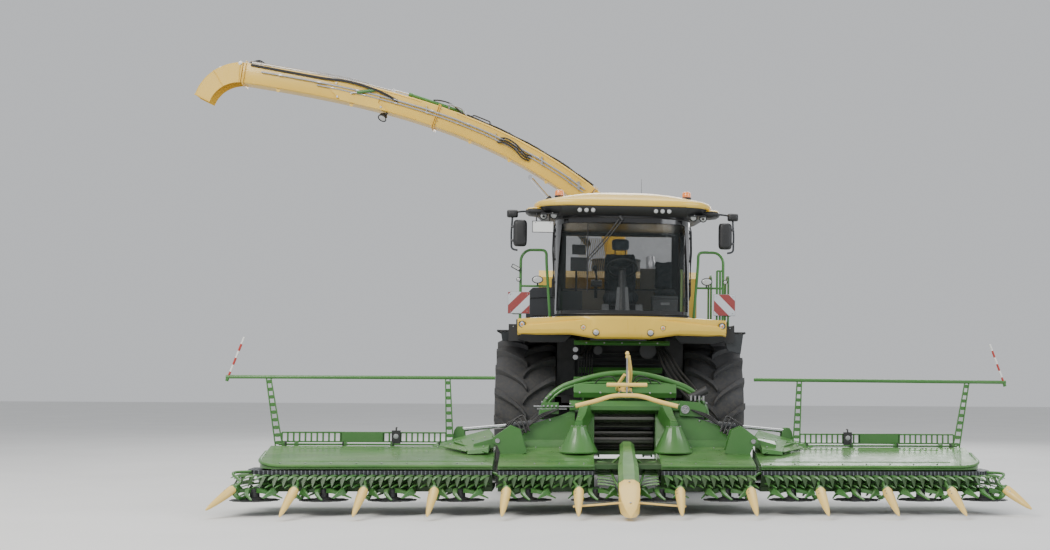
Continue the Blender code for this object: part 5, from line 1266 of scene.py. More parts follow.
for y, top in ((-4.02, 0.392), (-4.40, 0.19)):
    snout.bolt(at(0, y, top), (0, -0.45, 1), 0.012, 0.008)
make("middle_divider", snout, [deckGreen, creamPaint, bareSteel], "feeder_lift", edge=0.004, sharp=30)

# crop press in cream paint
press = Form()
press.tube(bend([at(0, -2.46, 1.40), at(0.04, -2.62, 1.46), at(0.05, -2.80, 1.60), at(0.01, -3.00, 1.80)],
    0.10), 0.027, 14)
press.tube(bend([at(-0.10, -2.50, 1.40), at(-0.10, -2.66, 1.45), at(-0.02, -2.78, 1.58)], 0.08), 0.020, 12)
press.spin([(0.001, -0.02), (0.022, -0.015), (0.016, 0.01), (0.026, 0.03), (0.014, 0.055), (0.001, 0.06)],
    at(0, -3.01, 1.80), (0, -0.3, 1), 20)
press.tube([at(-0.24, -3.00, 1.46), at(-0.235, -3.00, 1.46), at(0.235, -3.00, 1.46), at(0.24, -3.00, 1.46)],
    [0.016, 0.024, 0.024, 0.016], 14)
press.tube(bend([at(-0.60, -3.06, 1.21), at(-0.35, -3.02, 1.27), at(-0.16, -3.00, 1.335),
    at(0.16, -3.00, 1.335), at(0.35, -3.02, 1.27), at(0.60, -3.06, 1.21)], 0.10), 0.027, 14)
press.slot = 1
press.tube([at(0, -3.00, 1.80), at(0, -3.00, 1.33)], 0.011, 10)
press.slot = 0
press.tube([at(0.02, -2.84, 1.62), at(0.01, -3.00, 1.47)], 0.017, 10)
press.block(at(-0.08, -2.50, 1.33), at(0.08, -2.462, 1.43))
press.slot = 1
for x in (-0.055, 0.055):
    press.bolt(at(x, -2.50, 1.38), (0, -1, 0), 0.012, 0.010)
make("crop_press", press, [creamPaint, bareSteel], "feeder_lift", sharp=40,
    replaces=["crop_pusher"])

couplings = Form()
# coupler box and round lock wheel at the left of the intake
couplings.slot = 0
couplings.loft([[at(0.66, -2.56, 1.09), at(0.98, -2.56, 1.07), at(0.98, -2.56, 1.20), at(0.90, -2.56, 1.25),
    at(0.66, -2.56, 1.27)],
                [at(0.66, -2.487, 1.09), at(0.98, -2.487, 1.07), at(0.98, -2.487, 1.20), at(0.90, -2.487, 1.25),
                    at(0.66, -2.487, 1.27)]], rounded=False)
couplings.slot = 1
knob = at(0.725, -2.562, 1.165)
couplings.spin([(0.052, 0.0), (0.052, -0.016), (0.042, -0.016), (0.042, -0.004), (0.001, -0.004)], knob,
    (0, 1, 0), 40)
for turnBy in (45, -45):
    a = math.radians(turnBy)
    way = Vector((math.cos(a), 0, math.sin(a))) * 0.044
    couplings.tube([knob - way + Vector((0, -0.010, 0)), knob + way + Vector((0, -0.010, 0))], 0.006, 8)
# multi-coupler with the hoses that come down from the machine
couplings.slot = 2
couplings.tube([at(0.80, -2.44, 1.30), at(1.00, -2.44, 1.40)], 0.052, 20)
couplings.tube([at(0.785, -2.44, 1.293), at(0.80, -2.44, 1.30)], 0.060, 20)
couplings.slot = 3
for k in range(4):
    couplings.tube([at(0.80 + 0.05 * k, -2.50, 1.27), at(0.80 + 0.05 * k, -2.50, 1.33)], 0.014, 10)
    couplings.tube([at(-0.98 + 0.05 * k, -2.50, 1.16), at(-0.98 + 0.05 * k, -2.56, 1.20)], 0.013, 10)
couplings.tube([at(-1.10, -2.52, 1.19), at(-0.62, -2.52, 1.19)], 0.012, 10)
couplings.tube([at(-1.06, -2.54, 1.16), at(-0.70, -2.54, 1.16)], 0.007, 8)
couplings.slot = 0
couplings.block(at(-1.00, -2.545, 1.10), at(-0.80, -2.487, 1.24))
make("header_couplings", couplings, [headerGreen, bareSteel, blackPlastic, bareSteel], "feeder_lift",
    edge=0.003, sharp=35)

pipes = Form()
for side in (1, -1):
    # short loops at the wing hinges, held at both ends
    for k in range(3):
        start = at(side * (1.22 - 0.04 * k), -2.72, 0.86 + 0.02 * k)
        mid = at(side * (1.34 - 0.05 * k), -2.62, 1.02 + 0.03 * k)
        end = at(side * (1.43 - 0.02 * k), -2.66, 0.86)
        pipes.tube(curve([start, (start + mid) / 2 + Vector((0, 0, 0.05)), mid,
            (mid + end) / 2 + Vector((side * 0.03, 0, 0.03)), end], 5), 0.012, 8)
    # lines that run along the lower beam and down the side wall
    for k in range(3):
        y = -2.565 - 0.018 * k
        pipes.tube(curve([at(side * 0.80, y + 0.01, 1.16), at(side * 1.00, y - 0.03, 1.10 - 0.02 * k),
            at(side * 1.14, y - 0.07, 0.99 - 0.01 * k), at(side * 1.24 - side * 0.03 * k, -2.70, 0.88)], 6),
            0.009, 8)
for k, (x, z) in enumerate(((0.14, 1.50), (0.19, 1.47), (-0.16, 1.49))):
    pipes.tube(curve([at(x * 0.4, -2.50, 1.42), at(x, -2.56, z + 0.06), at(x * 1.9, -2.48, z + 0.04),
        at(x * 2.3, -2.44, 1.465)], 6), 0.007, 8)
make("header_hoses", pipes, [hoseRubber], "feeder_lift", sharp=50)
print("header centre made")


# wing ends at the hinges, crop guards, lamps and markers

for side, word in ((1, "left"), (-1, "right")):
    wing = Form()

    def put(x, y, z, s=side):
        return at(s * x, y, z)
    # fairing over the inner end: a raised rear rail, sloping panels and a stiffener
    wing.loft([[put(1.56, -2.72, 0.70), put(1.56, -2.68, 0.86), put(1.62, -2.56, 0.92), put(1.62, -2.54, 0.60)],
               [put(2.30, -2.72, 0.70), put(2.26, -2.68, 0.735), put(2.24, -2.56, 0.75),
                   put(2.30, -2.54, 0.60)]], rounded=False)
    wing.loft([[put(1.57, -2.72, 0.73), put(1.57, -2.72, 0.86), put(1.60, -3.10, 0.72), put(1.60, -3.12, 0.66)],
               [put(1.95, -2.72, 0.73), put(1.95, -2.72, 0.80), put(1.84, -3.10, 0.685),
                   put(1.84, -3.12, 0.645)]], rounded=False)
    wing.slot = 1
    wing.loft([[put(1.72, -2.90, 0.745), put(1.98, -2.78, 0.765), put(2.14, -2.86, 0.716),
        put(1.86, -3.10, 0.672)],
               [put(1.72, -2.90, 0.755), put(1.98, -2.78, 0.775), put(2.14, -2.86, 0.726),
                   put(1.86, -3.10, 0.682)]], rounded=False)
    wing.slot = 0
    wing.tube([put(1.60, -3.16, 0.665), put(2.02, -2.80, 0.775)], 0.010, 8)
    # eye of the wing on its pin, and its root
    eyeBack = [(side * 1.50 + 0.055 * math.cos(a),
        0.80 + 0.055 * math.sin(a)) for a in [2 * math.pi * k / 20 for k in range(20)]]
    wing.loft([[at(x, -3.008, z) for x, z in eyeBack], [at(x, -2.872, z) for x, z in eyeBack]])
    wing.loft([[put(1.50, -3.00, 0.75), put(1.50, -3.00, 0.84), put(1.78, -3.00, 0.76), put(1.78, -3.00, 0.60)],
               [put(1.50, -2.88, 0.75), put(1.50, -2.88, 0.84), put(1.78, -2.88, 0.80),
                   put(1.78, -2.88, 0.60)]], rounded=False)
    # fork that the fold cylinder pulls on
    for y in (-2.50, -2.36):
        outline = [(1.88, 0.56), (1.92, 0.90), (1.95, 0.945), (2.01, 0.945), (2.04, 0.90), (2.10, 0.56)]
        first = [put(x, y - 0.010, z) for x, z in outline]
        wing.loft([first, [p + Vector((0, 0.020, 0)) for p in first]], rounded=False)
    low, high = put(1.58, -2.72, 0.42), put(4.15, -2.54, 0.60)
    wing.block((min(low.x, high.x), low.y, low.z), (max(low.x, high.x), high.y, high.z))
    low, high = put(1.86, -2.72, 0.45), put(2.10, -2.355, 0.58)
    wing.block((min(low.x, high.x), low.y, low.z), (max(low.x, high.x), high.y, high.z))
    wing.slot = 2
    for x, y, z in ((1.66, -2.80, 0.83), (1.80, -2.80, 0.80), (1.66, -3.06, 0.735), (2.06, -2.84, 0.745),
        (1.93, -3.02, 0.70)):
        wing.bolt(put(x, y, z), (0, -0.3, 1), 0.011, 0.009)
    make("wing_end_" + word, wing, [headerGreen, deckGreen, bareSteel], "wing_" + word, edge=0.003, sharp=32)

    # guard posts and sheet are pierced by rounded slots: a lattice of bars is left between them
    guard = Form()
    railY = -2.57
    guard.tube([put(1.56, railY, 1.53), put(4.70, railY, 1.52)], 0.022, 14)
    for xTop, xLow in ((2.12, 2.08), (4.21, 4.06)):
        for edgeAt in (-0.042, 0.042):
            a, b = put(xLow + edgeAt, railY, 0.64), put(xTop + edgeAt * 0.62, railY, 1.52)
            guard.loft([[a + Vector((-0.007, -0.012, 0)), a + Vector((0.007, -0.012, 0)),
                a + Vector((0.007, 0.012, 0)), a + Vector((-0.007, 0.012, 0))],
                        [b + Vector((-0.007, -0.012, 0)), b + Vector((0.007, -0.012, 0)),
                            b + Vector((0.007, 0.012, 0)), b + Vector((-0.007, 0.012, 0))]], rounded=False)
        for k in range(10):
            f0 = (k + 0.0) / 9.6
            x, z = xLow + (xTop - xLow) * f0, 0.66 + 0.86 * f0
            half = 0.042 - 0.016 * f0
            web = [(x - half, z - 0.014), (x - half * 0.4, z - 0.022), (x + half * 0.4, z - 0.022),
                (x + half, z - 0.014), (x + half, z + 0.014), (x + half * 0.4, z + 0.022),
                (x - half * 0.4, z + 0.022), (x - half, z + 0.014)]
            first = [put(a, railY - 0.005, b) for a, b in web]
            guard.loft([first, [p + Vector((0, 0.010, 0)) for p in first]], rounded=False)
    # pierced sheet: slots on two stretches, plain between
    for low, high, slots in ((2.13, 2.86, True), (2.86, 3.36, False), (3.36, 4.04, True)):
        if not slots:
            a, b = put(low, railY - 0.004, 0.755), put(high, railY + 0.004, 0.88)
            guard.block((min(a.x, b.x), a.y, a.z), (max(a.x, b.x), b.y, b.z))
            continue
        for z0, z1 in ((0.755, 0.772), (0.862, 0.88)):
            a, b = put(low, railY - 0.004, z0), put(high, railY + 0.004, z1)
            guard.block((min(a.x, b.x), a.y, a.z), (max(a.x, b.x), b.y, b.z))
        count = int((high - low) / 0.062)
        for k in range(count + 1):
            x = low + (high - low) * k / count
            a, b = put(x - 0.011, railY - 0.004, 0.765), put(x + 0.011, railY + 0.004, 0.87)
            guard.block((min(a.x, b.x), a.y, a.z), (max(a.x, b.x), b.y, b.z))
    low, high = put(2.02, railY - 0.10, 0.6005), put(4.14, railY + 0.02, 0.655)
    guard.block((min(low.x, high.x), low.y, low.z), (max(low.x, high.x), high.y, high.z))
    guard.tube([put(2.10, railY - 0.09, 0.735), put(4.06, railY - 0.09, 0.735)], 0.012, 10)
    for x in (2.20, 2.75, 3.30, 3.86, 4.0):
        a, b = put(x - 0.02, railY - 0.10, 0.65), put(x + 0.02, railY - 0.004, 0.76)
        guard.block((min(a.x, b.x), a.y, a.z), (max(a.x, b.x), b.y, b.z))
    guard.slot = 1
    a, b = put(2.66, railY - 0.07, 0.73), put(2.76, railY - 0.02, 0.90)
    guard.block((min(a.x, b.x), a.y, a.z), (max(a.x, b.x), b.y, b.z))
    guard.tube(bend([put(2.71, railY - 0.045, 0.90), put(2.71, railY - 0.045, 0.93),
        put(2.71, railY + 0.02, 0.93)], 0.02), 0.010, 8)
    for x in (2.20, 2.74, 3.32, 3.98):
        guard.tube(bend([put(x, railY - 0.115, 0.72), put(x, railY - 0.115, 0.765), put(x, railY - 0.05, 0.765),
            put(x, railY - 0.05, 0.70)], 0.02), 0.007, 8)
    guard.slot = 2
    guard.spin([(0.001, -0.004), (0.026, -0.003), (0.030, 0.0), (0.030, 0.004)], put(2.71, railY - 0.071, 0.83),
        (0, 1, 0), 24)
    make("crop_rail_" + word, guard, [headerGreen, blackPlastic, greyPaint], "wing_" + word, edge=0.002,
        sharp=35, replaces=["crop_guard_" + word])
    rodForm = Form()
    low, high = put(4.68, railY, 1.50), put(4.50, railY, 1.99)
    for k in range(6):
        rodForm.slot = k % 2
        rodForm.tube([low.lerp(high, k / 6), low.lerp(high, (k + 1) / 6)], 0.013, 12)
    rodForm.slot = 2
    rodForm.tube([put(4.69, railY, 1.47), put(4.672, railY, 1.53)], 0.020, 12)
    make("width_marker_" + word, rodForm, [paintFinish("marker_red_" + word, (0.42, 0.03, 0.02), gloss=0.4),
        paintFinish("marker_white_" + word, (0.75, 0.75, 0.73), gloss=0.4), headerGreen], "wing_" + word,
        sharp=40)
print("wings and crop guards made")


# more finishes: glass, lenses, stripes

def glassFinish(name, tint, alpha, gloss=0.04):
    shop = Shop(name)
    smear = shop.noise(1.7, 5.0, 0.6).between(0.0, 0.05, 0.4, 0.7)
    shop.put(colour=tint, roughness=shop.noise(5, 4.0).between(gloss, gloss + 0.05, 0.3, 0.7),
        alpha=smear + alpha, coat=0.25)
    return shop.done()


def lensFinish(name, colour):
    shop = Shop(name)
    x, y, z = shop.parted(shop.place())
    ribs = (x * 260.0).wrapped(1.0)
    # the ribs are coloured lighter than the lens between them: painted glints; the same ribs give the bump
    shop.put(colour=shop.mix(ribs.between(0.0, 0.5), colour, tuple(min(1, c * 1.5 + 0.05) for c in colour)),
        roughness=shop.noise(12, 2.0).between(0.08, 0.16, 0.3, 0.7), coat=0.8,
             normal=shop.bump(ribs, 0.3, 0.001))
    return shop.done()


def stripeFinish(name, slope):
    # slanting reflective warning stripes
    shop = Shop(name)
    x, y, z = shop.parted(shop.place())
    band = ((x + z * slope) * 3.7).wrapped(1.0) > 0.5
    cells = shop.node("ShaderNodeTexVoronoi", {}, {"Vector": shop.place(), "Scale": 260.0})
    tone = shop.mix(band, (0.24, 0.010, 0.007), (0.50, 0.53, 0.57))
    shop.put(colour=shop.mix(cells.between(0, 0.06, 0.0, 0.8), tone, (0.9, 0.9, 0.9)),
        roughness=shop.noise(30, 2.0).between(0.28, 0.42, 0.3, 0.7), coat=0.4)
    return shop.done()


cabGlass = glassFinish("cab_glass", (0.020, 0.028, 0.028), 0.14)
sideGlass = glassFinish("side_glass", (0.016, 0.022, 0.023), 0.30)
mirrorFace = metalFinish("mirror_face", (0.62, 0.66, 0.70), gloss=0.08)
clearLens = lensFinish("clear_lens", (0.40, 0.41, 0.41))
amberLens = lensFinish("amber_lens", (0.80, 0.26, 0.03))
redLens = lensFinish("red_lens", (0.48, 0.02, 0.015))
beaconOrange = lensFinish("beacon_orange", (0.85, 0.22, 0.02))
plateWhite = paintFinish("plate_white", (0.72, 0.73, 0.72), gloss=0.35, dustAmount=0.08)


def roundLamp(form, place, out, radius, depth=0.03, lens=1, body=0, bowl=2):
    # a lamp with its housing, bright bowl and domed lens; slots pick the finishes
    place, out = Vector(place), Vector(out).normalized()
    form.slot = body
    form.spin([(radius * 0.55, -depth), (radius * 0.95, -depth * 0.55), (radius * 1.08, -0.004),
        (radius * 1.10, 0.004), (radius * 1.02, 0.007), (radius * 0.98, 0.001)], place, out, 28)
    form.slot = bowl
    form.spin([(radius * 0.98, 0.001), (radius * 0.90, -0.006), (radius * 0.80, -0.008)], place, out, 28)
    form.slot = lens
    form.spin([(radius * 0.92, -0.003), (radius * 0.80, 0.003), (radius * 0.5, 0.007), (radius * 0.2, 0.0085),
        (0.001, 0.009)], place, out, 28)


# cab roof with visor, beacons and lamps

roof = {"half": 1.17, "middleY": -0.52, "reach": 1.14, "squareness": 0.45,
        "under": ((3.622, 0.95, 0.105), (3.650, 1.04, 0.065), (3.690, 1.105, 0.030), (3.722, 1.140, 0.014),
            (3.732, 1.150, 0.010)),
        "rings": ((3.728, 1.145, 0.012), (3.740, 1.163, 0.003), (3.765, 1.170, 0.0), (3.790, 1.168, 0.002),
            (3.806, 1.150, 0.012), (3.824, 1.105, 0.040), (3.848, 1.00, 0.095), (3.882, 0.85, 0.18),
            (3.912, 0.70, 0.29), (3.940, 0.53, 0.43), (3.960, 0.36, 0.58), (3.971, 0.20, 0.75))}


def roofRing(z, half, inset, steps=96):
    made = []
    for k in range(steps):
        a = 2 * math.pi * k / steps
        c, s = math.cos(a), math.sin(a)
        made.append(at(half * math.copysign(abs(c) ** roof["squareness"], c),
            roof["middleY"] + (roof["reach"] - inset) * math.copysign(abs(s) ** roof["squareness"], s), z))
    return made


shell = Form()
shell.loft([roofRing(*ring) for ring in roof["rings"]])
shell.slot = 1
shell.loft([roofRing(*ring) for ring in roof["under"]])
shell.slot = 0
for side in (1, -1):
    # lamp pods that stand out at the front corners
    rings = []
    for x, grow in ((0.86, 0.0), (0.98, 0.9), (1.14, 1.0), (1.225, 0.85), (1.262, 0.45), (1.27, 0.1)):
        ring = []
        for k in range(20):
            a = 2 * math.pi * k / 20
            c, s = math.cos(a), math.sin(a)
            ring.append(at(side * x, -1.10 + 0.235 * grow * math.copysign(abs(c) ** 0.7, c),
                3.684 + 0.056 * grow * math.copysign(abs(s) ** 0.7, s)))
        rings.append(ring)
    shell.slot = 1
    shell.loft(rings)
    shell.slot = 0
    caps = []
    for x, grow in ((0.90, 0.55), (0.98, 0.93), (1.14, 1.03), (1.225, 0.88), (1.255, 0.50)):
        arc = []
        for k in range(15):
            a = math.pi * (0.10 + 0.80 * k / 14)
            c, s = math.cos(a), math.sin(a)
            arc.append(at(side * x, -1.10 + 0.237 * grow * math.copysign(abs(c) ** 0.7, c),
                3.686 + 0.057 * grow * abs(s) ** 0.7))
        caps.append(arc)
    shell.loft(caps, caps=False, ring=False)
shell.slot = 1
# dark brow over the windscreen, set just proud of the roof's front
rings = []
for z, inset in ((3.610, 0.112), (3.618, 0.090), (3.655, 0.045), (3.700, 0.012), (3.722, 0.004),
    (3.726, 0.020)):
    ring = []
    for k in range(49):
        x = 0.80 * (2 * k / 48 - 1)
        bow = 0.035 * (abs(x) / 0.80) ** 4
        ring.append(at(x, roof["middleY"] - (roof["reach"] - inset + 0.006) + bow, z))
    rings.append(ring)
shell.loft(rings, caps=False, ring=False)
for side in (1, -1):
    # grey undersides beside the brow
    low, high = at(side * 0.84, -1.47, 3.628), at(side * 1.06, -1.05, 3.640)
    shell.block((min(low.x, high.x), low.y, low.z), (max(low.x, high.x), high.y, high.z))
shell.slot = 2
for x in (-0.62, 0.62):
    # swages that run back over the roof
    shell.tube(curve([at(x, -1.42, 3.850), at(x, -1.10, 3.896), at(x, -0.52, 3.924), at(x, 0.05, 3.896),
        at(x, 0.38, 3.850)], 6), 0.008, 8)
make("roof_shell", shell, [bodyYellow, blackPlastic, bodyYellow], "machine", sharp=42,
    replaces=["cab_roof"])

lights = Form()
for side in (1, -1):
    for k in range(3):
        x = side * (0.40 + 0.085 * k)
        roundLamp(lights, at(x, -1.640 + 0.004 * k, 3.668), (side * 0.05, -1, -0.35), 0.033, 0.02)
    roundLamp(lights, at(side * 0.90, -1.40, 3.618), (side * 0.1, -1, -0.25), 0.046, 0.05)
    roundLamp(lights, at(side * 1.03, -1.35, 3.612), (side * 0.1, -1, -0.25), 0.046, 0.05)
    lights.slot = 0
    for x in (0.90, 1.03):
        lights.tube([at(side * x, -1.36, 3.60), at(side * x, -1.30, 3.66)], 0.016, 8)
    # rear work lamps under the roof's back edge
    roundLamp(lights, at(side * 0.62, 0.585, 3.66), (side * 0.1, 1, -0.25), 0.050, 0.04)
    roundLamp(lights, at(side * 0.78, 0.555, 3.66), (side * 0.2, 1, -0.25), 0.050, 0.04)
    # beacons on their sockets
    base = at(side * 0.835, -1.05 if side > 0 else -1.0, 3.896)
    lights.slot = 0
    lights.spin([(0.060, -0.06), (0.062, 0.016), (0.056, 0.024), (0.001, 0.024)], base, (0, 0, 1), 28)
    lights.slot = 3
    lights.spin([(0.055, 0.024), (0.054, 0.076), (0.048, 0.090), (0.033, 0.096), (0.001, 0.098)], base,
        (0, 0, 1), 28)
    for k in range(12):
        a = 2 * math.pi * k / 12
        lights.tube([base + Vector((math.cos(a) * 0.0545, math.sin(a) * 0.0545, 0.026)),
            base + Vector((math.cos(a) * 0.053, math.sin(a) * 0.053, 0.078))], 0.0026, 5)
make("roof_lamps", lights, [blackPlastic, clearLens, mirrorFace, beaconOrange], "machine", sharp=35)

sign = Form()
low, high = at(-1.165, -1.46, 3.395), at(-0.905, -1.452, 3.530)
sign.slot = 0
sign.block(low, high)
sign.slot = 1
for a, b in (((-1.170, -1.464, 3.388), (-0.900, -1.450, 3.395)),
    ((-1.170, -1.464, 3.530), (-0.900, -1.450, 3.537)), ((-1.172, -1.464, 3.388), (-1.165, -1.450, 3.537)),
    ((-0.905, -1.464, 3.388), (-0.898, -1.450, 3.537))):
    sign.block(at(*a), at(*b))
for x in (-1.12, -0.95):
    sign.tube([at(x, -1.448, 3.52), at(x, -1.40, 3.58), at(x, -1.36, 3.64)], 0.008, 8)
sign.slot = 2
for x in (-1.13, -0.94):
    sign.bolt(at(x, -1.460, 3.515), (0, -1, 0), 0.007, 0.004)
make("blank_plate", sign, [plateWhite, blackPlastic, bareSteel], "machine", sharp=35)

aerial = Form()
aerial.spin([(0.030, 0.0), (0.028, 0.012), (0.012, 0.020), (0.010, 0.04), (0.001, 0.042)],
    at(0.30, 0.25, 3.962), (0, 0, 1), 20)
aerial.tube([at(0.30, 0.25, 3.99), at(0.30, 0.27, 4.15), at(0.30, 0.30, 4.32)], [0.005, 0.003, 0.002], 8)
aerial.slot = 1
aerial.spin([(0.09, 0.0), (0.088, 0.02), (0.06, 0.035), (0.001, 0.040)], at(0.0, -0.10, 3.970), (0, 0, 1), 32)
make("roof_aerial", aerial, [blackPlastic, plateWhite], "machine", sharp=35)
print("roof made")


# mirrors

for side, word in ((1, "left"), (-1, "right")):
    mirror = Form()

    def put(x, y, z, s=side):
        return at(s * x, y, z)
    mirror.slot = 0
    mirror.tube(bend([put(1.20, -1.08, 3.70), put(1.34, -1.10, 3.69), put(1.43, -1.20, 3.66),
        put(1.445, -1.22, 3.40), put(1.44, -1.22, 3.19), put(1.36, -1.22, 3.175)], 0.05), 0.013, 12)
    # rounded housings lofted front to back, with their glass on the rear face
    for x0, x1, z0, z1, y0, depth in ((1.245, 1.415, 3.225, 3.565, -1.215, 0.085),
        (1.365, 1.50, 3.60, 3.695, -1.195, 0.070)):
        rings = []
        for back, shrink in ((0.0, 0.0), (-0.35, -0.004), (-0.75, 0.006), (-0.93, 0.018), (-1.0, 0.045)):
            ring = []
            mx, mz, hx, hz = (x0 + x1) / 2, (z0 + z1) / 2, (x1 - x0) / 2 - shrink, (z1 - z0) / 2 - shrink
            for k in range(32):
                a = 2 * math.pi * k / 32
                c, s = math.cos(a), math.sin(a)
                ring.append(put(mx + hx * math.copysign(abs(c) ** 0.42, c), y0 + depth * back,
                    mz + hz * math.copysign(abs(s) ** 0.30, s)))
            rings.append(ring)
        mirror.slot = 1
        mirror.loft(rings)
        mirror.slot = 2
        face = []
        for k in range(32):
            a = 2 * math.pi * k / 32
            c, s = math.cos(a), math.sin(a)
            face.append(put(mx + (x1 - x0) * 0.44 * math.copysign(abs(c) ** 0.42, c), y0 + 0.0035,
                mz + (z1 - z0) * 0.465 * math.copysign(abs(s) ** 0.30, s)))
        mirror.loft([face, [p + Vector((0, -0.003, 0)) for p in face]], rounded=False)
    mirror.slot = 3
    for z in (3.30, 3.48):
        mirror.tube([put(1.41, -1.235, z), put(1.445, -1.225, z)], 0.016, 10)
    mirror.block(put(1.20, -1.15, 3.66) if side > 0 else put(1.26, -1.15, 3.66),
        put(1.26, -1.03, 3.72) if side > 0 else put(1.20, -1.03, 3.72))
    make("mirror_set_" + word, mirror, [anthracite, blackPlastic, mirrorFace, darkSteel], "machine", sharp=40,
        replaces=["mirror_" + word])
print("mirrors made")


# front light bar

panel = {"half": 1.34, "front": -1.66, "sweep": 0.30, "steps": 72}


def panelLine(x):
    t = abs(x) / panel["half"]
    front = panel["front"] + panel["sweep"] * t ** 2.4
    top = 2.325 - 0.035 * t ** 2
    low = 2.035 + 0.055 * min(1.0, max(0.0, (t - 0.25) / 0.25)) - 0.01 * t
    return front, top, low


def panelCrease(t):
    # height share of the crease that sweeps from the end's middle down towards the deep centre
    if t < 0.30:
        return 0.98
    s = (t - 0.30) / 0.70
    return 0.90 - 0.42 * s ** 0.75 + 0.10 * s ** 3


bar = Form()
rings = []
for k in range(panel["steps"] + 1):
    x = panel["half"] * (2 * k / panel["steps"] - 1)
    t = abs(x) / panel["half"]
    front, top, low = panelLine(x)
    tall = top - low
    crease = low + tall * panelCrease(t)
    hollow = 0.034 * min(1.0, max(0.0, (t - 0.26) / 0.18))
    upper = crease + (top - 0.022 - crease) * 0.5
    points = [(front + 0.10, low), (front + 0.055, low), (front + 0.022, low + 0.020),
        (front + 0.004, low + 0.060), (front, low + tall * 0.34)]
    points += [(front, min(crease - 0.008, top - 0.050)), (front + hollow, min(crease + 0.010, top - 0.040)),
        (front + hollow * 0.8, min(upper, top - 0.032)), (front + 0.008 + hollow * 0.4, top - 0.022),
        (front + 0.022, top - 0.006), (front + 0.045, top), (front + 0.10, top)]
    rings.append([at(x, y, z) for y, z in points])
bar.loft(rings)
for side in (1, -1):
    # end caps with a rolled edge
    x = side * 1.335
    front, top, low = panelLine(x)
    bar.tube([at(x, front + 0.05, low + 0.004), at(x, front + 0.008, low + 0.05),
        at(x, front + 0.002, (top + low) / 2), at(x, front + 0.016, top - 0.012),
        at(x, front + 0.06, top - 0.002)], 0.008, 8)
    low2, high2 = at(side * 0.40, -1.56, 2.12), at(side * 0.50, -0.28, 2.238)
    bar.block((min(low2.x, high2.x), low2.y, low2.z), (max(low2.x, high2.x), high2.y, high2.z))
make("light_bar", bar, [bodyYellow], "machine", sharp=24, replaces=["front_panel"])

barLamps = Form()
for x, z, radius, kind in ((-1.285, 2.215, 0.040, 3), (-0.505, 2.175, 0.033, 3), (-0.345, 2.115, 0.042, 1),
    (0.345, 2.115, 0.042, 1), (0.505, 2.175, 0.033, 3), (1.285, 2.215, 0.040, 3)):
    front = panelLine(x)[0]
    out = Vector((0.25 * x, -1, 0))
    spot = at(x, front + 0.004, z)
    roundLamp(barLamps, spot, out, radius, 0.03, lens=1)
    barLamps.slot = kind
    barLamps.spin([(radius * 0.42, 0.0085), (radius * 0.30, 0.013), (0.001, 0.0145)], spot, out, 20)
    barLamps.slot = 0
    for k in range(3):
        a = 2 * math.pi * k / 3 + 0.5
        barLamps.bolt(spot + Vector((math.cos(a) * radius * 1.22, -0.001, math.sin(a) * radius * 1.22)), out,
            0.0045, 0.003)
make("bar_lamps", barLamps, [blackPlastic, clearLens, mirrorFace, amberLens], "machine", sharp=35)

# black chamfered aprons below the bar's ends, and brackets
apron = Form()
for side in (1, -1):
    def put(x, y, z, s=side):
        return at(s * x, y, z)
    apron.slot = 0
    apron.loft([[put(0.66, -1.50, 2.075), put(1.30, -1.38, 2.085), put(1.34, -1.34, 2.03),
        put(1.18, -1.34, 1.985), put(0.74, -1.42, 1.99)],
                [put(0.66, -1.27, 2.075), put(1.30, -1.27, 2.085), put(1.34, -1.27, 2.03),
                    put(1.18, -1.27, 1.985), put(0.74, -1.27, 1.99)]], rounded=False)
    apron.loft([[put(0.92, -1.262, 2.00), put(1.46, -1.262, 2.00), put(1.46, -1.262, 2.22),
        put(0.92, -1.262, 2.22)],
                [put(0.92, -1.228, 2.00), put(1.46, -1.228, 2.00), put(1.46, -1.228, 2.22),
                    put(0.92, -1.228, 2.22)]], rounded=False)
    # wheel-arch plate over each tyre with its stiff outer edge
    apron.loft([[put(0.87, -1.255, 2.128), put(1.60, -1.255, 2.128), put(1.60, -1.255, 2.145),
        put(0.87, -1.255, 2.145)],
                [put(0.87, 0.545, 2.128), put(1.60, 0.545, 2.128), put(1.60, 0.545, 2.145),
                    put(0.87, 0.545, 2.145)]], rounded=False)
    apron.tube([put(1.595, -1.24, 2.132), put(1.595, 0.54, 2.132)], 0.016, 10)
    apron.slot = 1
    apron.loft([[put(1.30, -1.24, 2.12), put(1.58, -1.24, 2.12), put(1.55, -1.20, 1.86),
        put(1.38, -1.20, 1.90)],
                [put(1.30, -1.14, 2.12), put(1.58, -1.14, 2.12), put(1.55, -1.14, 1.86),
                    put(1.38, -1.14, 1.90)]] if side > 0 else
               [[put(1.40, -1.24, 2.12), put(1.56, -1.24, 2.12), put(1.54, -1.20, 2.00),
                   put(1.44, -1.20, 2.02)],
                [put(1.40, -1.14, 2.12), put(1.56, -1.14, 2.12), put(1.54, -1.14, 2.00),
                    put(1.44, -1.14, 2.02)]], rounded=False)
    apron.slot = 2
    for x in (0.98, 1.12, 1.26, 1.40):
        apron.bolt(put(x, -1.265, 2.19), (0, -1, 0), 0.010, 0.008)
make("arch_plates", apron, [blackPlastic, anthracite, bareSteel], "machine", edge=0.004, sharp=32)
print("light bar made")


# platforms, handrails, ladder and warning boards


def gripFinish():
    # pierced grip plate: rows of small raised rings
    shop = Shop("grip_plate")
    cells = shop.node("ShaderNodeTexVoronoi", {}, {"Vector": shop.place(), "Scale": 26.0, "Randomness": 0.15})
    ring = (cells - 0.30).distance() < 0.09
    shop.put(colour=dust(shop, shop.mix(ring, (0.030, 0.032, 0.035), (0.12, 0.12, 0.125)), 0.35),
        roughness=shop.noise(20, 3.0).between(0.4, 0.6, 0.3, 0.7), metallic=0.3,
        normal=shop.bump(ring * 1.0, 0.6, 0.003))
    return shop.done()


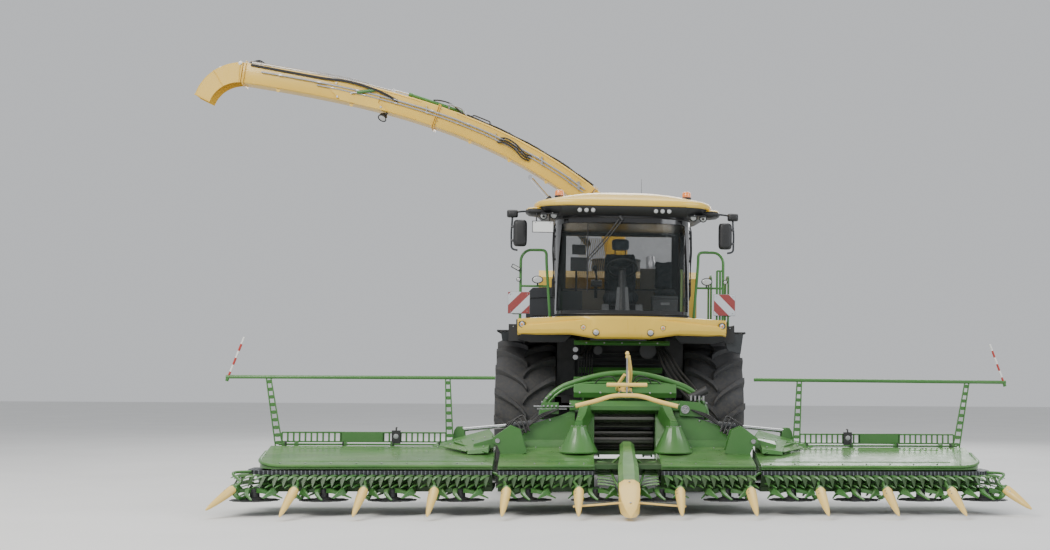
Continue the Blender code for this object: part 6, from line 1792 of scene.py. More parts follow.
treadPlate = gripFinish()
for side, word in ((1, "left"), (-1, "right")):
    deck = Form()

    def put(x, y, z, s=side):
        return at(s * x, y, z)

    def slab(low, high, form=None):
        a, b = put(*low), put(*high)
        (form or deck).block((min(a.x, b.x), a.y, a.z), (max(a.x, b.x), b.y, b.z))
    deck.slot = 0
    slab((0.881, -1.26, 2.225), (1.36, 0.60, 2.266))
    deck.slot = 1
    slab((0.52, -0.02, 2.17), (1.34, 0.08, 2.2397))
    slab((1.352, -1.26, 2.16), (1.364, 0.60, 2.282))
    slab((0.886, -1.264, 2.19), (1.364, -1.252, 2.282))
    slab((1.28, -1.25, 2.148), (1.34, 0.55, 2.226))
    railY = -1.12
    rails = Form()
    rails.tube(bend([put(1.32, railY, 2.24), put(1.32, railY, 3.10), put(1.24, railY, 3.19),
        put(0.99, railY, 3.19), put(0.99, railY, 3.05), put(0.93, railY, 2.24)], 0.07), 0.018, 14)
    rails.tube([put(1.33, railY, 2.72), put(0.958, railY, 2.72)], 0.014, 12)
    rails.tube(bend([put(1.32, railY, 2.36), put(1.36, railY, 2.36), put(1.43, railY - 0.005, 2.36),
        put(1.43, railY - 0.005, 2.60)], 0.03), 0.010, 10)
    rails.slot = 1
    for x, z in ((1.32, 2.245), (0.93, 2.245)):
        rails.spin([(0.040, 0.0), (0.040, 0.008), (0.001, 0.009)], put(x, railY, 2.268), (0, 0, 1), 20)
        for k in range(2):
            rails.bolt(put(x + (0.028 if k else -0.028), railY, 2.276), (0, 0, 1), 0.006, 0.006)
    rails.slot = 0
    if side == 1:
        for x in (1.24, 1.28):
            rails.tube([put(x, railY, 2.24), put(x, railY, 2.95)], 0.014, 12)
        rails.tube([put(1.24, railY, 2.95), put(1.32, railY, 2.95)], 0.012, 10)
        deck.slot = 0
        slab((1.335, 0.25, 2.225), (1.62, 1.42, 2.266))
        deck.slot = 1
        slab((1.610, 0.25, 2.20), (1.622, 1.42, 2.282))
        for x in (1.355, 1.605):
            slab((x - 0.010, 1.11, 0.52), (x + 0.010, 1.41, 2.24))
            rails.tube(bend([put(x, 1.38, 2.24), put(x, 1.38, 2.95), put(x, 0.95, 3.05), put(x, 0.95, 2.24)],
                0.14), 0.015, 12)
        for i in range(6):
            z = 0.55 + 0.30 * i
            deck.slot = 0
            slab((1.362, 1.115, z), (1.598, 1.405, z + 0.022))
            deck.slot = 1
            slab((1.362, 1.398, z - 0.012), (1.598, 1.408, z + 0.045))
    make("deck_plates_" + word, deck, [treadPlate, anthracite], "machine", edge=0.003, sharp=32,
        replaces=["platform_" + word])
    make("handrails_" + word, rails, [headerGreen, bareSteel], "machine", sharp=45)
    board = Form()
    a, b = put(1.20, railY - 0.036, 2.362), put(1.475, railY - 0.030, 2.638)
    board.slot = 0
    board.block((min(a.x, b.x), a.y, a.z), (max(a.x, b.x), b.y, b.z))
    board.slot = 1
    a, b = put(1.196, railY - 0.030, 2.358), put(1.479, railY - 0.016, 2.642)
    board.block((min(a.x, b.x), a.y, a.z), (max(a.x, b.x), b.y, b.z))
    board.slot = 2
    for x, z in ((1.23, 2.39), (1.445, 2.39), (1.23, 2.61), (1.445, 2.61)):
        board.bolt(put(x, railY - 0.036, z), (0, -1, 0), 0.007, 0.005)
    make("warning_board_" + word, board, [stripeFinish("stripes_" + word, -1.0 if side < 0 else 1.0), greyPaint,
        bareSteel], "machine", edge=0.002, sharp=35)
    # oval work lamps and side markers on the rails
    work = Form()
    for x, y, z, rx, rz in ((1.10, railY - 0.06, 2.80, 0.068, 0.046),):
        work.slot = 1
        rings = []
        for back, grow in ((0.05, 0.55), (0.03, 0.90), (0.0, 1.0), (-0.006, 1.0), (-0.010, 0.94)):
            rings.append([put(x + rx * 1.08 * grow * math.cos(q), y + back,
                z + rz * 1.10 * grow * math.sin(q)) for q in [2 * math.pi * k / 28 for k in range(28)]])
        work.loft(rings)
        work.slot = 0
        rings = []
        for back, grow in ((-0.008, 0.94), (-0.013, 0.80), (-0.016, 0.50), (-0.017, 0.10)):
            rings.append([put(x + rx * grow * math.cos(q), y + back,
                z + rz * grow * math.sin(q)) for q in [2 * math.pi * k / 28 for k in range(28)]])
        work.loft(rings)
        work.slot = 1
        work.tube([put(x, y + 0.04, z), put(x, railY, z - 0.06), put(x, railY, 2.72)], 0.010, 8)
    work.slot = 1
    roundLamp(work, put(1.345, railY - 0.035, 2.80), (0, -1, 0), 0.026, 0.03, lens=0, body=1, bowl=2)
    work.slot = 1
    work.tube([put(1.345, railY - 0.01, 2.80), put(1.322, railY, 2.80)], 0.009, 8)
    if side < 0:
        # angled lamp with a finned back above the board
        turnLamp = Matrix.Rotation(math.radians(28), 3, "Y")
        a, b = put(1.44, railY - 0.06, 2.93), put(1.32, railY + 0.02, 2.98)
        work.block((min(a.x, b.x), a.y, a.z), (max(a.x, b.x), b.y, b.z), turnLamp)
        work.slot = 0
        a, b = put(1.43, railY - 0.066, 2.938), put(1.33, railY - 0.058, 2.972)
        work.block((min(a.x, b.x), a.y, a.z), (max(a.x, b.x), b.y, b.z), turnLamp)
    make("rail_lamps_" + word, work, [clearLens, blackPlastic, mirrorFace], "machine", sharp=35)
print("platforms made")


# cab: frame, glass edges, wipers, doors and interior

cabLine = {"half": 0.88, "sideFront": -0.90, "depth": 0.66, "floor": 2.3203}


def cabFront(share, inset=0.0, grow=0.0):
    # the windscreen's plan curve: share runs from -1 (right) to 1 (left)
    a = math.pi / 2 * (1 - share)
    c, s = math.cos(a), math.sin(a)
    x = math.copysign(abs(c) ** 0.8, c) * (cabLine["half"] - inset + grow)
    y = cabLine["sideFront"] - (cabLine["depth"] - inset + grow) * s ** 0.75 if s > 0 else cabLine["sideFront"]
    return x, y


def fritFinish():
    # black ceramic border with a fade of small dots at its inner edge
    shop = Shop("glass_border")
    shop.put(colour=shop.mix(shop.noise(60, 2.0).between(0, 1, 0.4, 0.6), (0.006, 0.006, 0.007),
        (0.011, 0.011, 0.012)), roughness=shop.noise(20, 2.0).between(0.10, 0.2, 0.3, 0.7), coat=0.5)
    return shop.done()


glassBorder = fritFinish()
border = Form()
for low, high, rise in (((2.352, 2.352), (2.40, 2.40), 0), ((3.525, 3.525), (3.588, 3.588), 0)):
    rings = []
    for k in range(61):
        share = -0.97 + 1.94 * k / 60
        x, y = cabFront(share, grow=0.004)
        x2, y2 = cabFront(share, grow=0.0015)
        z0, z1 = low[0], high[0]
        if z0 > 3:
            z0 -= 0.05 * max(0.0, abs(share) - 0.55)
        rings.append([at(x, y, z0), at(x, y, z1), at(x2, y2, z1), at(x2, y2, z0)])
    border.loft(rings)
for side in (1, -1):
    # side bands, broader at the top
    rings = []
    for k in range(13):
        z = 2.36 + (3.58 - 2.36) * k / 12
        wide = 0.16 + 0.16 * (k / 12) ** 1.5
        ring = []
        for share in (0.985, 0.985 - wide * 0.33, 0.985 - wide * 0.66, 0.985 - wide):
            x, y = cabFront(side * share, grow=0.0045)
            ring.append(at(x, y, z))
        for share in (0.985 - wide, 0.985 - wide * 0.66, 0.985 - wide * 0.33, 0.985):
            x, y = cabFront(side * share, grow=0.0015)
            ring.append(at(x, y, z))
        rings.append(ring)
    border.loft(rings)
border.slot = 1
for z in (2.352, 3.590):
    path = []
    for k in range(61):
        x, y = cabFront(-0.985 + 1.97 * k / 60, grow=0.006)
        path.append(at(x, y, z))
    border.tube(path, 0.009, 8)
make("windscreen_border", border, [glassBorder, hoseRubber], "machine", sharp=40)

wipers = Form()


def onGlass(x, z, off):
    share = math.copysign(1 - math.acos(min(1.0, (abs(x) / cabLine["half"]) ** 1.25)) / (math.pi / 2), x)
    return at(x, cabFront(share, grow=off)[1], z)


# pantograph wiper with its long blade
wipers.tube([onGlass(-0.06, 3.60, 0.045), onGlass(-0.02, 3.545, 0.06)], 0.022, 14)
for shift in (0.0, 0.045):
    wipers.tube([onGlass(-0.02 - shift, 3.56, 0.052), onGlass(-0.24 - shift, 3.27, 0.050),
        onGlass(-0.455 - shift * 0.4, 3.03 + shift * 0.5, 0.040)], [0.010, 0.008, 0.006], 10)
wipers.tube([onGlass(-0.462, 3.50, 0.022), onGlass(-0.462, 3.03, 0.030), onGlass(-0.462, 2.62, 0.022)],
    [0.006, 0.010, 0.006], 10)
blade = [onGlass(-0.462, 2.62 + 0.88 * k / 12, 0.012) for k in range(13)]
wipers.tube(blade, 0.007, 8)
for z in (2.72, 2.92, 3.14, 3.36):
    wipers.tube([onGlass(-0.462, z, 0.012), onGlass(-0.462, z, 0.026)], 0.005, 6)
for side in (1, -1):
    # side wipers with their washer lines, standing outside the pillars
    wipers.tube(bend([at(side * 0.845, -1.06, 3.60), at(side * 0.905, -0.99, 3.50),
        at(side * 0.915, -0.95, 3.20), at(side * 0.900, -0.96, 2.95)], 0.06), 0.008, 10)
    wipers.tube([at(side * 0.893, -1.00, 3.48), at(side * 0.905, -0.94, 2.62)], 0.007, 8)
    wipers.tube(curve([at(side * 0.85, -1.08, 3.59), at(side * 0.888, -1.03, 3.42),
        at(side * 0.902, -0.99, 3.30), at(side * 0.888, -1.01, 3.12), at(side * 0.902, -0.98, 2.96),
        at(side * 0.892, -1.00, 2.80), at(side * 0.885, -1.02, 2.56)], 6), 0.006, 8)
    for z in (3.38, 3.08, 2.78):
        wipers.block(at(side * 0.893, -1.0, z) - Vector((0.012, 0.012, 0.014)),
            at(side * 0.893, -1.0, z) + Vector((0.012, 0.012, 0.014)))
make("wipers", wipers, [blackPlastic], "machine", sharp=40)

seatFabric = Shop("seat_fabric")
weave = (seatFabric.parted(seatFabric.place())[0] * 900.0).wrapped(1.0) * (seatFabric.parted(seatFabric.place())[2] * 900.0).wrapped(1.0)
seatFabric.put(colour=seatFabric.mix(seatFabric.noise(18, 4.0).between(0, 1, 0.35, 0.65), (0.018, 0.020, 0.024),
    (0.040, 0.044, 0.050)), roughness=seatFabric.noise(50, 3.0).between(0.8, 0.95, 0.3, 0.7),
               normal=seatFabric.bump(weave, 0.35, 0.0015))
seatCloth = seatFabric.done()
headFabric = Shop("head_rest_fabric")
headFabric.put(colour=headFabric.mix(headFabric.noise(22, 4.0).between(0, 1, 0.35, 0.65), (0.075, 0.095, 0.115),
    (0.11, 0.135, 0.155)), roughness=headFabric.noise(50, 3.0).between(0.75, 0.92, 0.3, 0.7),
               normal=headFabric.bump(headFabric.noise(420, 2.0), 0.3, 0.001))
headCloth = headFabric.done()

cushions = {  # pad pressure, most travel of a point and the voxel size, in metres
    "pressure": 4.0, "travel": 0.024, "voxel": 0.008, "frames": 20,
}


def cushion(name, low, high, corner, finish, lean=0.0, seams=(), replaces=()):
    # a crowned pad: rounded block, swollen by a short cloth run, then creased along its seams
    low, high = Vector(low), Vector(high)
    middle, half = (low + high) / 2, (high - low) / 2
    swell = 0.012
    form = Form()
    rings = []
    for k in range(9):
        b = -1 + 2 * k / 8
        rings.append((b, 1 - 0.16 * abs(b) ** 6))
    rows = []
    for b, size in rings:
        ring = []
        for i in range(40):
            a = 2 * math.pi * i / 40
            c, s = math.cos(a), math.sin(a)
            ring.append(Vector((math.copysign(abs(c) ** corner, c) * (half.x - swell) * size,
                math.copysign(abs(s) ** corner, s) * (half.y - swell) * size, b * (half.z - swell))))
        rows.append(ring)
    form.loft(rows)
    mesh = bpy.data.meshes.new(name)
    mesh.from_pydata(form.points, [], form.faces)
    work = bmesh.new()
    work.from_mesh(mesh)
    bmesh.ops.remove_doubles(work, verts=work.verts, dist=0.0001)
    bmesh.ops.recalc_face_normals(work, faces=work.faces)
    work.to_mesh(mesh)
    work.free()
    pad = bpy.data.objects.new(name, mesh)
    bpy.context.scene.collection.objects.link(pad)
    remesh = pad.modifiers.new("voxels", "REMESH")
    remesh.mode = "VOXEL"
    remesh.voxel_size = cushions["voxel"]
    graph = bpy.context.evaluated_depsgraph_get()
    mesh = bpy.data.meshes.new_from_object(pad.evaluated_get(graph))
    pad.modifiers.clear()
    pad.data = mesh
    before = [v.co.copy() for v in mesh.vertices]
    cloth = pad.modifiers.new("swell", "CLOTH")
    cloth.settings.use_pressure = True
    cloth.settings.uniform_pressure_force = cushions["pressure"]
    cloth.settings.effector_weights.gravity = 0
    scene = bpy.context.scene
    for step in range(1, cushions["frames"] + 1):
        scene.frame_set(step)
    graph = bpy.context.evaluated_depsgraph_get()
    swollen = bpy.data.meshes.new_from_object(pad.evaluated_get(graph))
    pad.modifiers.clear()
    scene.frame_set(1)
    for old, vert in zip(before, swollen.vertices):
        move = vert.co - old
        if move.length > cushions["travel"]:
            vert.co = old + move.normalized() * cushions["travel"]
        for axis in range(3):
            vert.co[axis] = max(-half[axis], min(half[axis], vert.co[axis]))
    pad.data = mesh = swollen
    for vert in mesh.vertices:
        for seamAxis, place, depth in seams:
            gap = abs(vert.co[seamAxis] - place * half[seamAxis])
            if gap < 0.016:
                pull = depth * (1 - gap / 0.016) ** 2
                vert.co *= 1 - pull / max(vert.co.length, 0.05)
    mesh.transform(Matrix.Translation(middle) @ Matrix.Rotation(lean, 4, "X"))
    mesh.polygons.foreach_set("use_smooth", [True] * len(mesh.polygons))
    mesh.materials.clear()
    mesh.materials.append(finish)
    finer = pad.modifiers.new("finer", "SUBSURF")
    finer.levels = finer.render_levels = 1
    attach(pad, "machine")
    if replaces:
        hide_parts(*replaces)
    return pad


floorZ = cabLine["floor"]
cushion("seat_cushion", at(-0.26, -0.72, floorZ + 0.20), at(0.26, -0.14, floorZ + 0.38), 0.42, seatCloth,
    seams=((0, 0.62, 0.012), (0, -0.62, 0.012), (1, -0.1, 0.010)), replaces=["operator_seat"])
cushion("seat_back", at(-0.25, -0.25, floorZ + 0.34), at(0.25, -0.10, floorZ + 0.93), 0.45, seatCloth,
    seams=((0, 0.60, 0.010), (0, -0.60, 0.010), (2, -0.35, 0.010), (2, 0.25, 0.010)))
cushion("head_rest", at(-0.13, -0.20, floorZ + 0.95), at(0.13, -0.11, floorZ + 1.12), 0.5, headCloth,
    seams=((0, 0.7, 0.006), (0, -0.7, 0.006)))
cushion("arm_rest", at(-0.37, -0.60, floorZ + 0.47), at(-0.28, -0.16, floorZ + 0.535), 0.4, seatCloth)
cushion("second_seat", at(0.43, -0.50, floorZ + 0.33), at(0.77, -0.04, floorZ + 0.42), 0.4, seatCloth,
    seams=((0, 0.6, 0.008), (0, -0.6, 0.008)), replaces=["passenger_seat"])
cushion("second_back", at(0.45, -0.10, floorZ + 0.42), at(0.75, 0.0, floorZ + 0.84), 0.42, seatCloth,
    seams=((2, 0.2, 0.008),))
print("seats made")

inside = Form()
inside.slot = 0
# suspension base of the driver's seat and its folds
for k in range(6):
    grow = 0.012 * (k % 2)
    z = floorZ + 0.02 + 0.026 * k
    inside.block(at(-0.20 - grow, -0.64 - grow, z), at(0.20 + grow, -0.18 + grow, z + 0.024))
inside.block(at(-0.24, -0.68, floorZ + 0.176), at(0.24, -0.16, floorZ + 0.205))
inside.block(at(-0.20, -0.10, floorZ + 0.32), at(0.20, -0.085, floorZ + 0.88))
for x in (-0.07, 0.07):
    inside.tube([at(x, -0.15, floorZ + 0.88), at(x, -0.15, floorZ + 0.98)], 0.008, 8)
inside.tube([at(-0.33, -0.20, floorZ + 0.30), at(-0.33, -0.20, floorZ + 0.50)], 0.022, 12)
# arm console with its control lever and key pad
inside.loft([[at(-0.40, -0.70, floorZ + 0.44), at(-0.26, -0.70, floorZ + 0.44), at(-0.26, -0.70, floorZ + 0.50),
    at(-0.40, -0.70, floorZ + 0.50)],
             [at(-0.40, -0.46, floorZ + 0.44), at(-0.26, -0.46, floorZ + 0.44), at(-0.26, -0.46, floorZ + 0.53),
                 at(-0.40, -0.46, floorZ + 0.53)]], rounded=False)
inside.tube([at(-0.33, -0.60, floorZ + 0.52), at(-0.335, -0.63, floorZ + 0.60),
    at(-0.345, -0.66, floorZ + 0.66)], [0.012, 0.014, 0.022], 12)
inside.spin([(0.001, -0.035), (0.026, -0.025), (0.032, 0.0), (0.024, 0.025), (0.001, 0.032)],
    at(-0.35, -0.67, floorZ + 0.68), (0, -0.4, 1), 20)
inside.slot = 1
for k in range(3):
    for j in range(2):
        inside.block(at(-0.375 + 0.035 * k, -0.56 + 0.035 * j, floorZ + 0.515),
            at(-0.352 + 0.035 * k, -0.537 + 0.035 * j, floorZ + 0.530))
# cool box under the second seat and its lid line
inside.slot = 2
inside.block(at(0.43, -0.50, floorZ + 0.01), at(0.77, -0.06, floorZ + 0.28))
inside.block(at(0.425, -0.505, floorZ + 0.285), at(0.775, -0.055, floorZ + 0.325))
inside.slot = 1
inside.block(at(0.54, -0.512, floorZ + 0.20), at(0.66, -0.500, floorZ + 0.235))
# screens on a pillar at the right, and side console
inside.slot = 0
inside.block(at(-0.82, -0.80, floorZ + 0.01), at(-0.52, 0.10, floorZ + 0.36))
inside.tube(bend([at(-0.60, -0.72, floorZ + 0.34), at(-0.60, -0.82, floorZ + 0.70),
    at(-0.55, -0.86, floorZ + 0.72)], 0.05), 0.014, 10)
inside.block(at(-0.68, -0.875, floorZ + 0.62), at(-0.44, -0.845, floorZ + 0.80),
    Matrix.Rotation(math.radians(18), 3, "Z"))
inside.block(at(-0.66, -0.86, floorZ + 0.84), at(-0.48, -0.83, floorZ + 0.97),
    Matrix.Rotation(math.radians(18), 3, "Z"))
# storage shelf and headliner with its lamp
inside.block(at(-0.66, -0.50, 3.585), at(0.66, 0.30, 3.612))
inside.block(at(-0.70, -1.30, 3.56), at(0.70, -1.12, 3.612))
inside.slot = 3
inside.block(at(-0.78, 0.36, floorZ + 0.01), at(0.78, 0.405, floorZ + 0.44))
inside.block(at(0.30, 0.35, floorZ + 0.46), at(0.74, 0.40, floorZ + 0.75))
inside.slot = 4
for k in range(14):
    # yellow slats behind the right part of the rear window
    x = -0.62 + 0.028 * k
    inside.tube([at(x, 0.50, floorZ + 0.48), at(x + 0.10, 0.52, floorZ + 1.18)], 0.006, 6)
inside.slot = 5
inside.tube(bend([at(0.80, -0.78, floorZ + 0.10), at(0.80, -0.80, floorZ + 0.60),
    at(0.80, -0.70, floorZ + 0.66)], 0.05), 0.018, 12)
make("cab_fittings", inside, [blackPlastic, greyPaint, trimGrey, plasticFinish("rear_lining", (0.24, 0.22,
    0.18), gloss=0.7), bodyYellow, plasticFinish("grab_strip", (0.30, 0.45, 0.16), gloss=0.5)], "machine",
    edge=0.006, sharp=32)

wheel = Form()
centre = at(0, -0.98, floorZ + 0.66)
axis = Vector((0, 0.55, 0.84)).normalized()
side0 = axis.orthogonal().normalized()
up0 = axis.cross(side0)
ringPath = [centre + (side0 * math.cos(2 * math.pi * k / 48) + up0 * math.sin(2 * math.pi * k / 48)) * 0.192 for k in range(49)]
wheel.tube(ringPath, 0.0145, 12, caps=False)
for k in range(3):
    a = 2 * math.pi * k / 3 + 0.4
    out = side0 * math.cos(a) + up0 * math.sin(a)
    wheel.tube([centre - axis * 0.02 + out * 0.03, centre - axis * 0.012 + out * 0.12, centre + out * 0.185],
        [0.016, 0.012, 0.010], 10)
wheel.spin([(0.046, -0.05), (0.050, -0.01), (0.044, 0.006), (0.001, 0.010)], centre, axis, 28)
wheel.tube([at(0, -1.00, floorZ + 0.62), at(0, -1.08, floorZ + 0.42), at(0, -1.16, floorZ + 0.04)],
    [0.040, 0.055, 0.07], 16)
wheel.slot = 1
wheel.loft([[at(-0.10, -1.22, floorZ + 0.02), at(0.10, -1.22, floorZ + 0.02), at(0.07, -1.13, floorZ + 0.40),
    at(-0.07, -1.13, floorZ + 0.40)],
            [at(-0.10, -1.06, floorZ + 0.02), at(0.10, -1.06, floorZ + 0.02), at(0.06, -1.05, floorZ + 0.40),
                at(-0.06, -1.05, floorZ + 0.40)]], rounded=False)
for x in (-0.22, 0.22):
    wheel.loft([[at(x - 0.05, -1.20, floorZ + 0.05), at(x + 0.05, -1.20, floorZ + 0.05),
        at(x + 0.05, -1.19, floorZ + 0.07), at(x - 0.05, -1.19, floorZ + 0.07)],
                [at(x - 0.045, -1.06, floorZ + 0.16), at(x + 0.045, -1.06, floorZ + 0.16),
                    at(x + 0.045, -1.05, floorZ + 0.18), at(x - 0.045, -1.05, floorZ + 0.18)]], rounded=False)
make("steering_wheel", wheel, [blackPlastic, trimGrey], "machine", edge=0.003, sharp=35,
    replaces=["steering_column"])
print("cab interior made")

# door handles, hinges and seals ride on the doors
for side, word in ((1, "left"), (-1, "right")):
    trimDoor = Form()

    def put(x, y, z, s=side):
        return at(s * x, y, z)
    trimDoor.slot = 0
    trimDoor.tube(bend([put(0.882, -0.835, 2.40), put(0.886, -0.84, 3.54), put(0.886, 0.09, 3.54),
        put(0.886, 0.09, 2.40), put(0.882, -0.835, 2.40)], 0.05), 0.008, 8)
    trimDoor.slot = 1
    trimDoor.tube(bend([put(0.884, -0.76, 2.62), put(0.915, -0.76, 2.62), put(0.915, -0.76, 2.84),
        put(0.884, -0.76, 2.84)], 0.02), 0.009, 10)
    trimDoor.spin([(0.020, 0.0), (0.020, 0.010), (0.001, 0.012)], put(0.884, -0.76, 2.56), (side, 0, 0), 18)
    make("door_trim_" + word, trimDoor, [hoseRubber, blackPlastic], "door_" + word, sharp=40)
print("doors trimmed")


# hood, frame, axles and hydraulics take their finishes on the frame's own solids

def sideFinish(name, colour, darkBelow, darkAhead):
    # paint that turns dark low down at the front, where the panels are black
    shop = Shop(name)
    x, y, z = shop.parted(shop.place())
    ahead = shop.parted(shop.node("ShaderNodeNewGeometry", {}, {}, "Normal"))[1] < -0.5
    low = ((z < darkBelow) * (y < darkAhead)).largest((z < darkBelow) * ahead).largest(z < 1.74)
    tone = shop.mix(shop.noise(0.9, 3.0).between(0, 1, 0.3, 0.7), tuple(c * 0.93 for c in colour),
        tuple(min(1.0, c * 1.06) for c in colour))
    streaks = shop.noise(26, 4.0, 0.6, (1.0, 1.0, 0.12))
    shop.put(colour=dust(shop, shop.mix(low, tone, paints["anthracite"]), 0.14),
        roughness=streaks.between(0.26, 0.42, 0.3, 0.7), coat=0.35, coatRoughness=0.12,
             normal=shop.bump(shop.noise(260, 2.0), 0.05, 0.0006))
    return shop.done()


def screenFinish(name):
    # woven air screen with dust caught in it
    shop = Shop(name)
    x, y, z = shop.parted(shop.place())
    holes = ((x * 90.0).wrapped(1.0) > 0.42) * ((z * 90.0).wrapped(1.0) > 0.42)
    shop.put(colour=dust(shop, shop.mix(holes, (0.055, 0.057, 0.060), (0.006, 0.006, 0.007)), 0.5),
        roughness=holes.between(0.45, 0.9), metallic=0.3, normal=shop.bump(holes, 0.6, 0.002))
    return shop.done()


def castFinish(name, colour, oil=0.25):
    # rough cast and welded parts, oily low down
    shop = Shop(name)
    grime = shop.noise(7, 5.0, 0.65).between(0, 1, 0.42, 0.70)
    shop.put(colour=dust(shop, shop.mix(grime * oil, colour, (0.035, 0.028, 0.020)), 0.35),
        roughness=grime.between(0.52, 0.38), normal=shop.bump(shop.noise(70, 4.0), 0.25, 0.0012))
    return shop.done()


hoodPaint = sideFinish("hood_paint", paints["body"], 2.26, at(0, 1.0, 0).y)
airScreen = screenFinish("air_screen")
frameCast = castFinish("frame_cast", (0.030, 0.033, 0.037))
axleCast = castFinish("axle_cast", (0.040, 0.043, 0.047), 0.4)
engineCast = castFinish("engine_cast", (0.10, 0.105, 0.11), 0.6)
feederPaint = paintFinish("feeder_paint", (0.028, 0.105, 0.022), gloss=0.42, dustAmount=0.3, shade=0.14)
rollerSteel = metalFinish("roller_steel", (0.30, 0.29, 0.28), gloss=0.36, wear=0.3)
cabBlack = paintFinish("cab_black", (0.020, 0.021, 0.023), gloss=0.36, dustAmount=0.10)


def dress(finish, *names, sharp=32, edge=0.0):
    for name in names:
        mesh = bpy.data.objects[name].data
        mesh.materials.clear()
        mesh.materials.append(finish)
        mesh.polygons.foreach_set("use_smooth", [True] * len(mesh.polygons))
        mesh.set_sharp_from_angle(angle=math.radians(sharp))
        if edge:
            rounding = bpy.data.objects[name].modifiers.new("edges", "BEVEL")
            rounding.width = edge
            rounding.segments = 2
            rounding.limit_method = "ANGLE"
            rounding.angle_limit = math.radians(40)
            rounding.harden_normals = True


def both(*stems):
    return [stem + side for stem in stems for side in ("left", "right")]


dress(cabGlass, "windscreen")
dress(sideGlass, "rear_window", *both("door_glass_"))
dress(cabBlack, "cab_frame", *both("cab_door_"), edge=0.006)
dress(hoodPaint, "engine_hood", edge=0.012)
dress(bodyYellow, *both("service_door_"), edge=0.006)
dress(airScreen, "rear_screen")
dress(frameCast, "chassis_frame")
dress(axleCast, "front_axle", "rear_axle", *both("knuckle_"))
dress(engineCast, "engine_block")
dress(darkSteel, "crop_channel")
dress(feederPaint, "feeder_housing")
dress(rollerSteel, "feed_roller_upper", "feed_roller_lower")
barrels = [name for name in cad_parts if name.endswith("barrel")]
rods = [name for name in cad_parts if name.endswith("rod")]
dress(anthracite, *barrels, sharp=40)
dress(chromeRod, *rods, sharp=40)
print("frame dressed")


# hood fittings: louvres, handles, seams, lights, front side box and exhaust

hood = {"half": 1.12, "doorY": (1.75, 4.30), "doorZ": (1.86, 2.74), "louvres": 11, "rear": 4.92}
for side, word in ((1, "left"), (-1, "right")):
    trim = Form()
    x = side * hood["half"]
    y0, y1 = hood["doorY"]
    z0, z1 = hood["doorZ"]

    def wall(out, y, z, s=side):
        return at(s * (hood["half"] + 0.022 + out), y, z)
    # slanted louvre blades in the rear half, in a pressed surround
    trim.slot = 0
    for k in range(hood["louvres"]):
        z = z0 + 0.12 + 0.062 * k
        section = [(0.001, z), (0.018, z - 0.012), (0.020, z - 0.008), (0.003, z + 0.022)]
        trim.loft([[wall(o, y, h) for o, h in section] for y in (y0 + 1.30, y1 - 0.18)], rounded=False)
    outline = [(y0 + 1.24, z0 + 0.06), (y1 - 0.12, z0 + 0.06), (y1 - 0.12, z1 - 0.06), (y0 + 1.24, z1 - 0.06)]
    for (ya, za), (yb, zb) in zip(outline, outline[1:] + outline[:1]):
        trim.tube([wall(0.004, ya, za), wall(0.004, yb, zb)], 0.010, 8)
    # swage and recessed handle in the front half
    trim.slot = 1
    trim.tube(curve([wall(0.002, y0 + 0.08, z0 + 0.30), wall(0.003, y0 + 0.6, z0 + 0.38),
        wall(0.002, y0 + 1.16, z0 + 0.60)], 8), 0.009, 8)
    trim.slot = 2
    trim.tube(bend([wall(0.0, y0 + 0.20, z0 + 0.10), wall(0.030, y0 + 0.20, z0 + 0.10),
        wall(0.030, y0 + 0.42, z0 + 0.10), wall(0.0, y0 + 0.42, z0 + 0.10)], 0.02), 0.009, 10)
    for y in (y0 + 0.10, y1 - 0.10):
        trim.bolt(wall(0.0, y, z1 - 0.05), (side, 0, 0), 0.014, 0.008)
        trim.bolt(wall(0.0, y, z0 + 0.05), (side, 0, 0), 0.014, 0.008)
    make("service_trim_" + word, trim, [blackPlastic, bodyYellow, darkSteel], "service_" + word, sharp=35)
print("service doors trimmed")

fitting = Form()
for side in (1, -1):
    def put(x, y, z, s=side):
        return at(s * x, y, z)
    # seam beads and grab bar along the hood's shoulder
    fitting.slot = 0
    fitting.tube([put(1.06, 0.90, 3.052), put(1.06, 4.10, 3.052)], 0.009, 8)
    fitting.slot = 1
    fitting.tube(bend([put(0.90, 1.10, 3.05), put(0.90, 1.10, 3.16), put(0.90, 3.90, 3.16),
        put(0.90, 3.90, 3.05)], 0.06), 0.014, 12)
    for y in (2.03, 2.97):
        fitting.tube([put(0.90, y, 3.05), put(0.90, y, 3.16)], 0.011, 10)
    # rear lamp clusters on their brackets
    fitting.slot = 2
    fitting.loft([[put(0.99, 4.93, 2.66), put(1.11, 4.93, 2.66), put(1.11, 4.93, 2.92), put(0.99, 4.93, 2.92)],
                  [put(1.00, 4.965, 2.67), put(1.10, 4.965, 2.67), put(1.10, 4.965, 2.91),
                      put(1.00, 4.965, 2.91)]], rounded=False)
    for z, kind in ((2.70, 3), (2.79, 4), (2.88, 5)):
        fitting.slot = kind
        fitting.spin([(0.036, 0.0), (0.034, 0.008), (0.020, 0.013), (0.001, 0.014)], put(1.05, 4.962, z),
            (0, 1, 0), 24)
    # ribs that stiffen the sloping tail
    fitting.slot = 0
    for x in (0.35, 0.75):
        fitting.tube([put(x, 4.22, 3.05), put(x, 4.86, 2.86)], 0.008, 8)
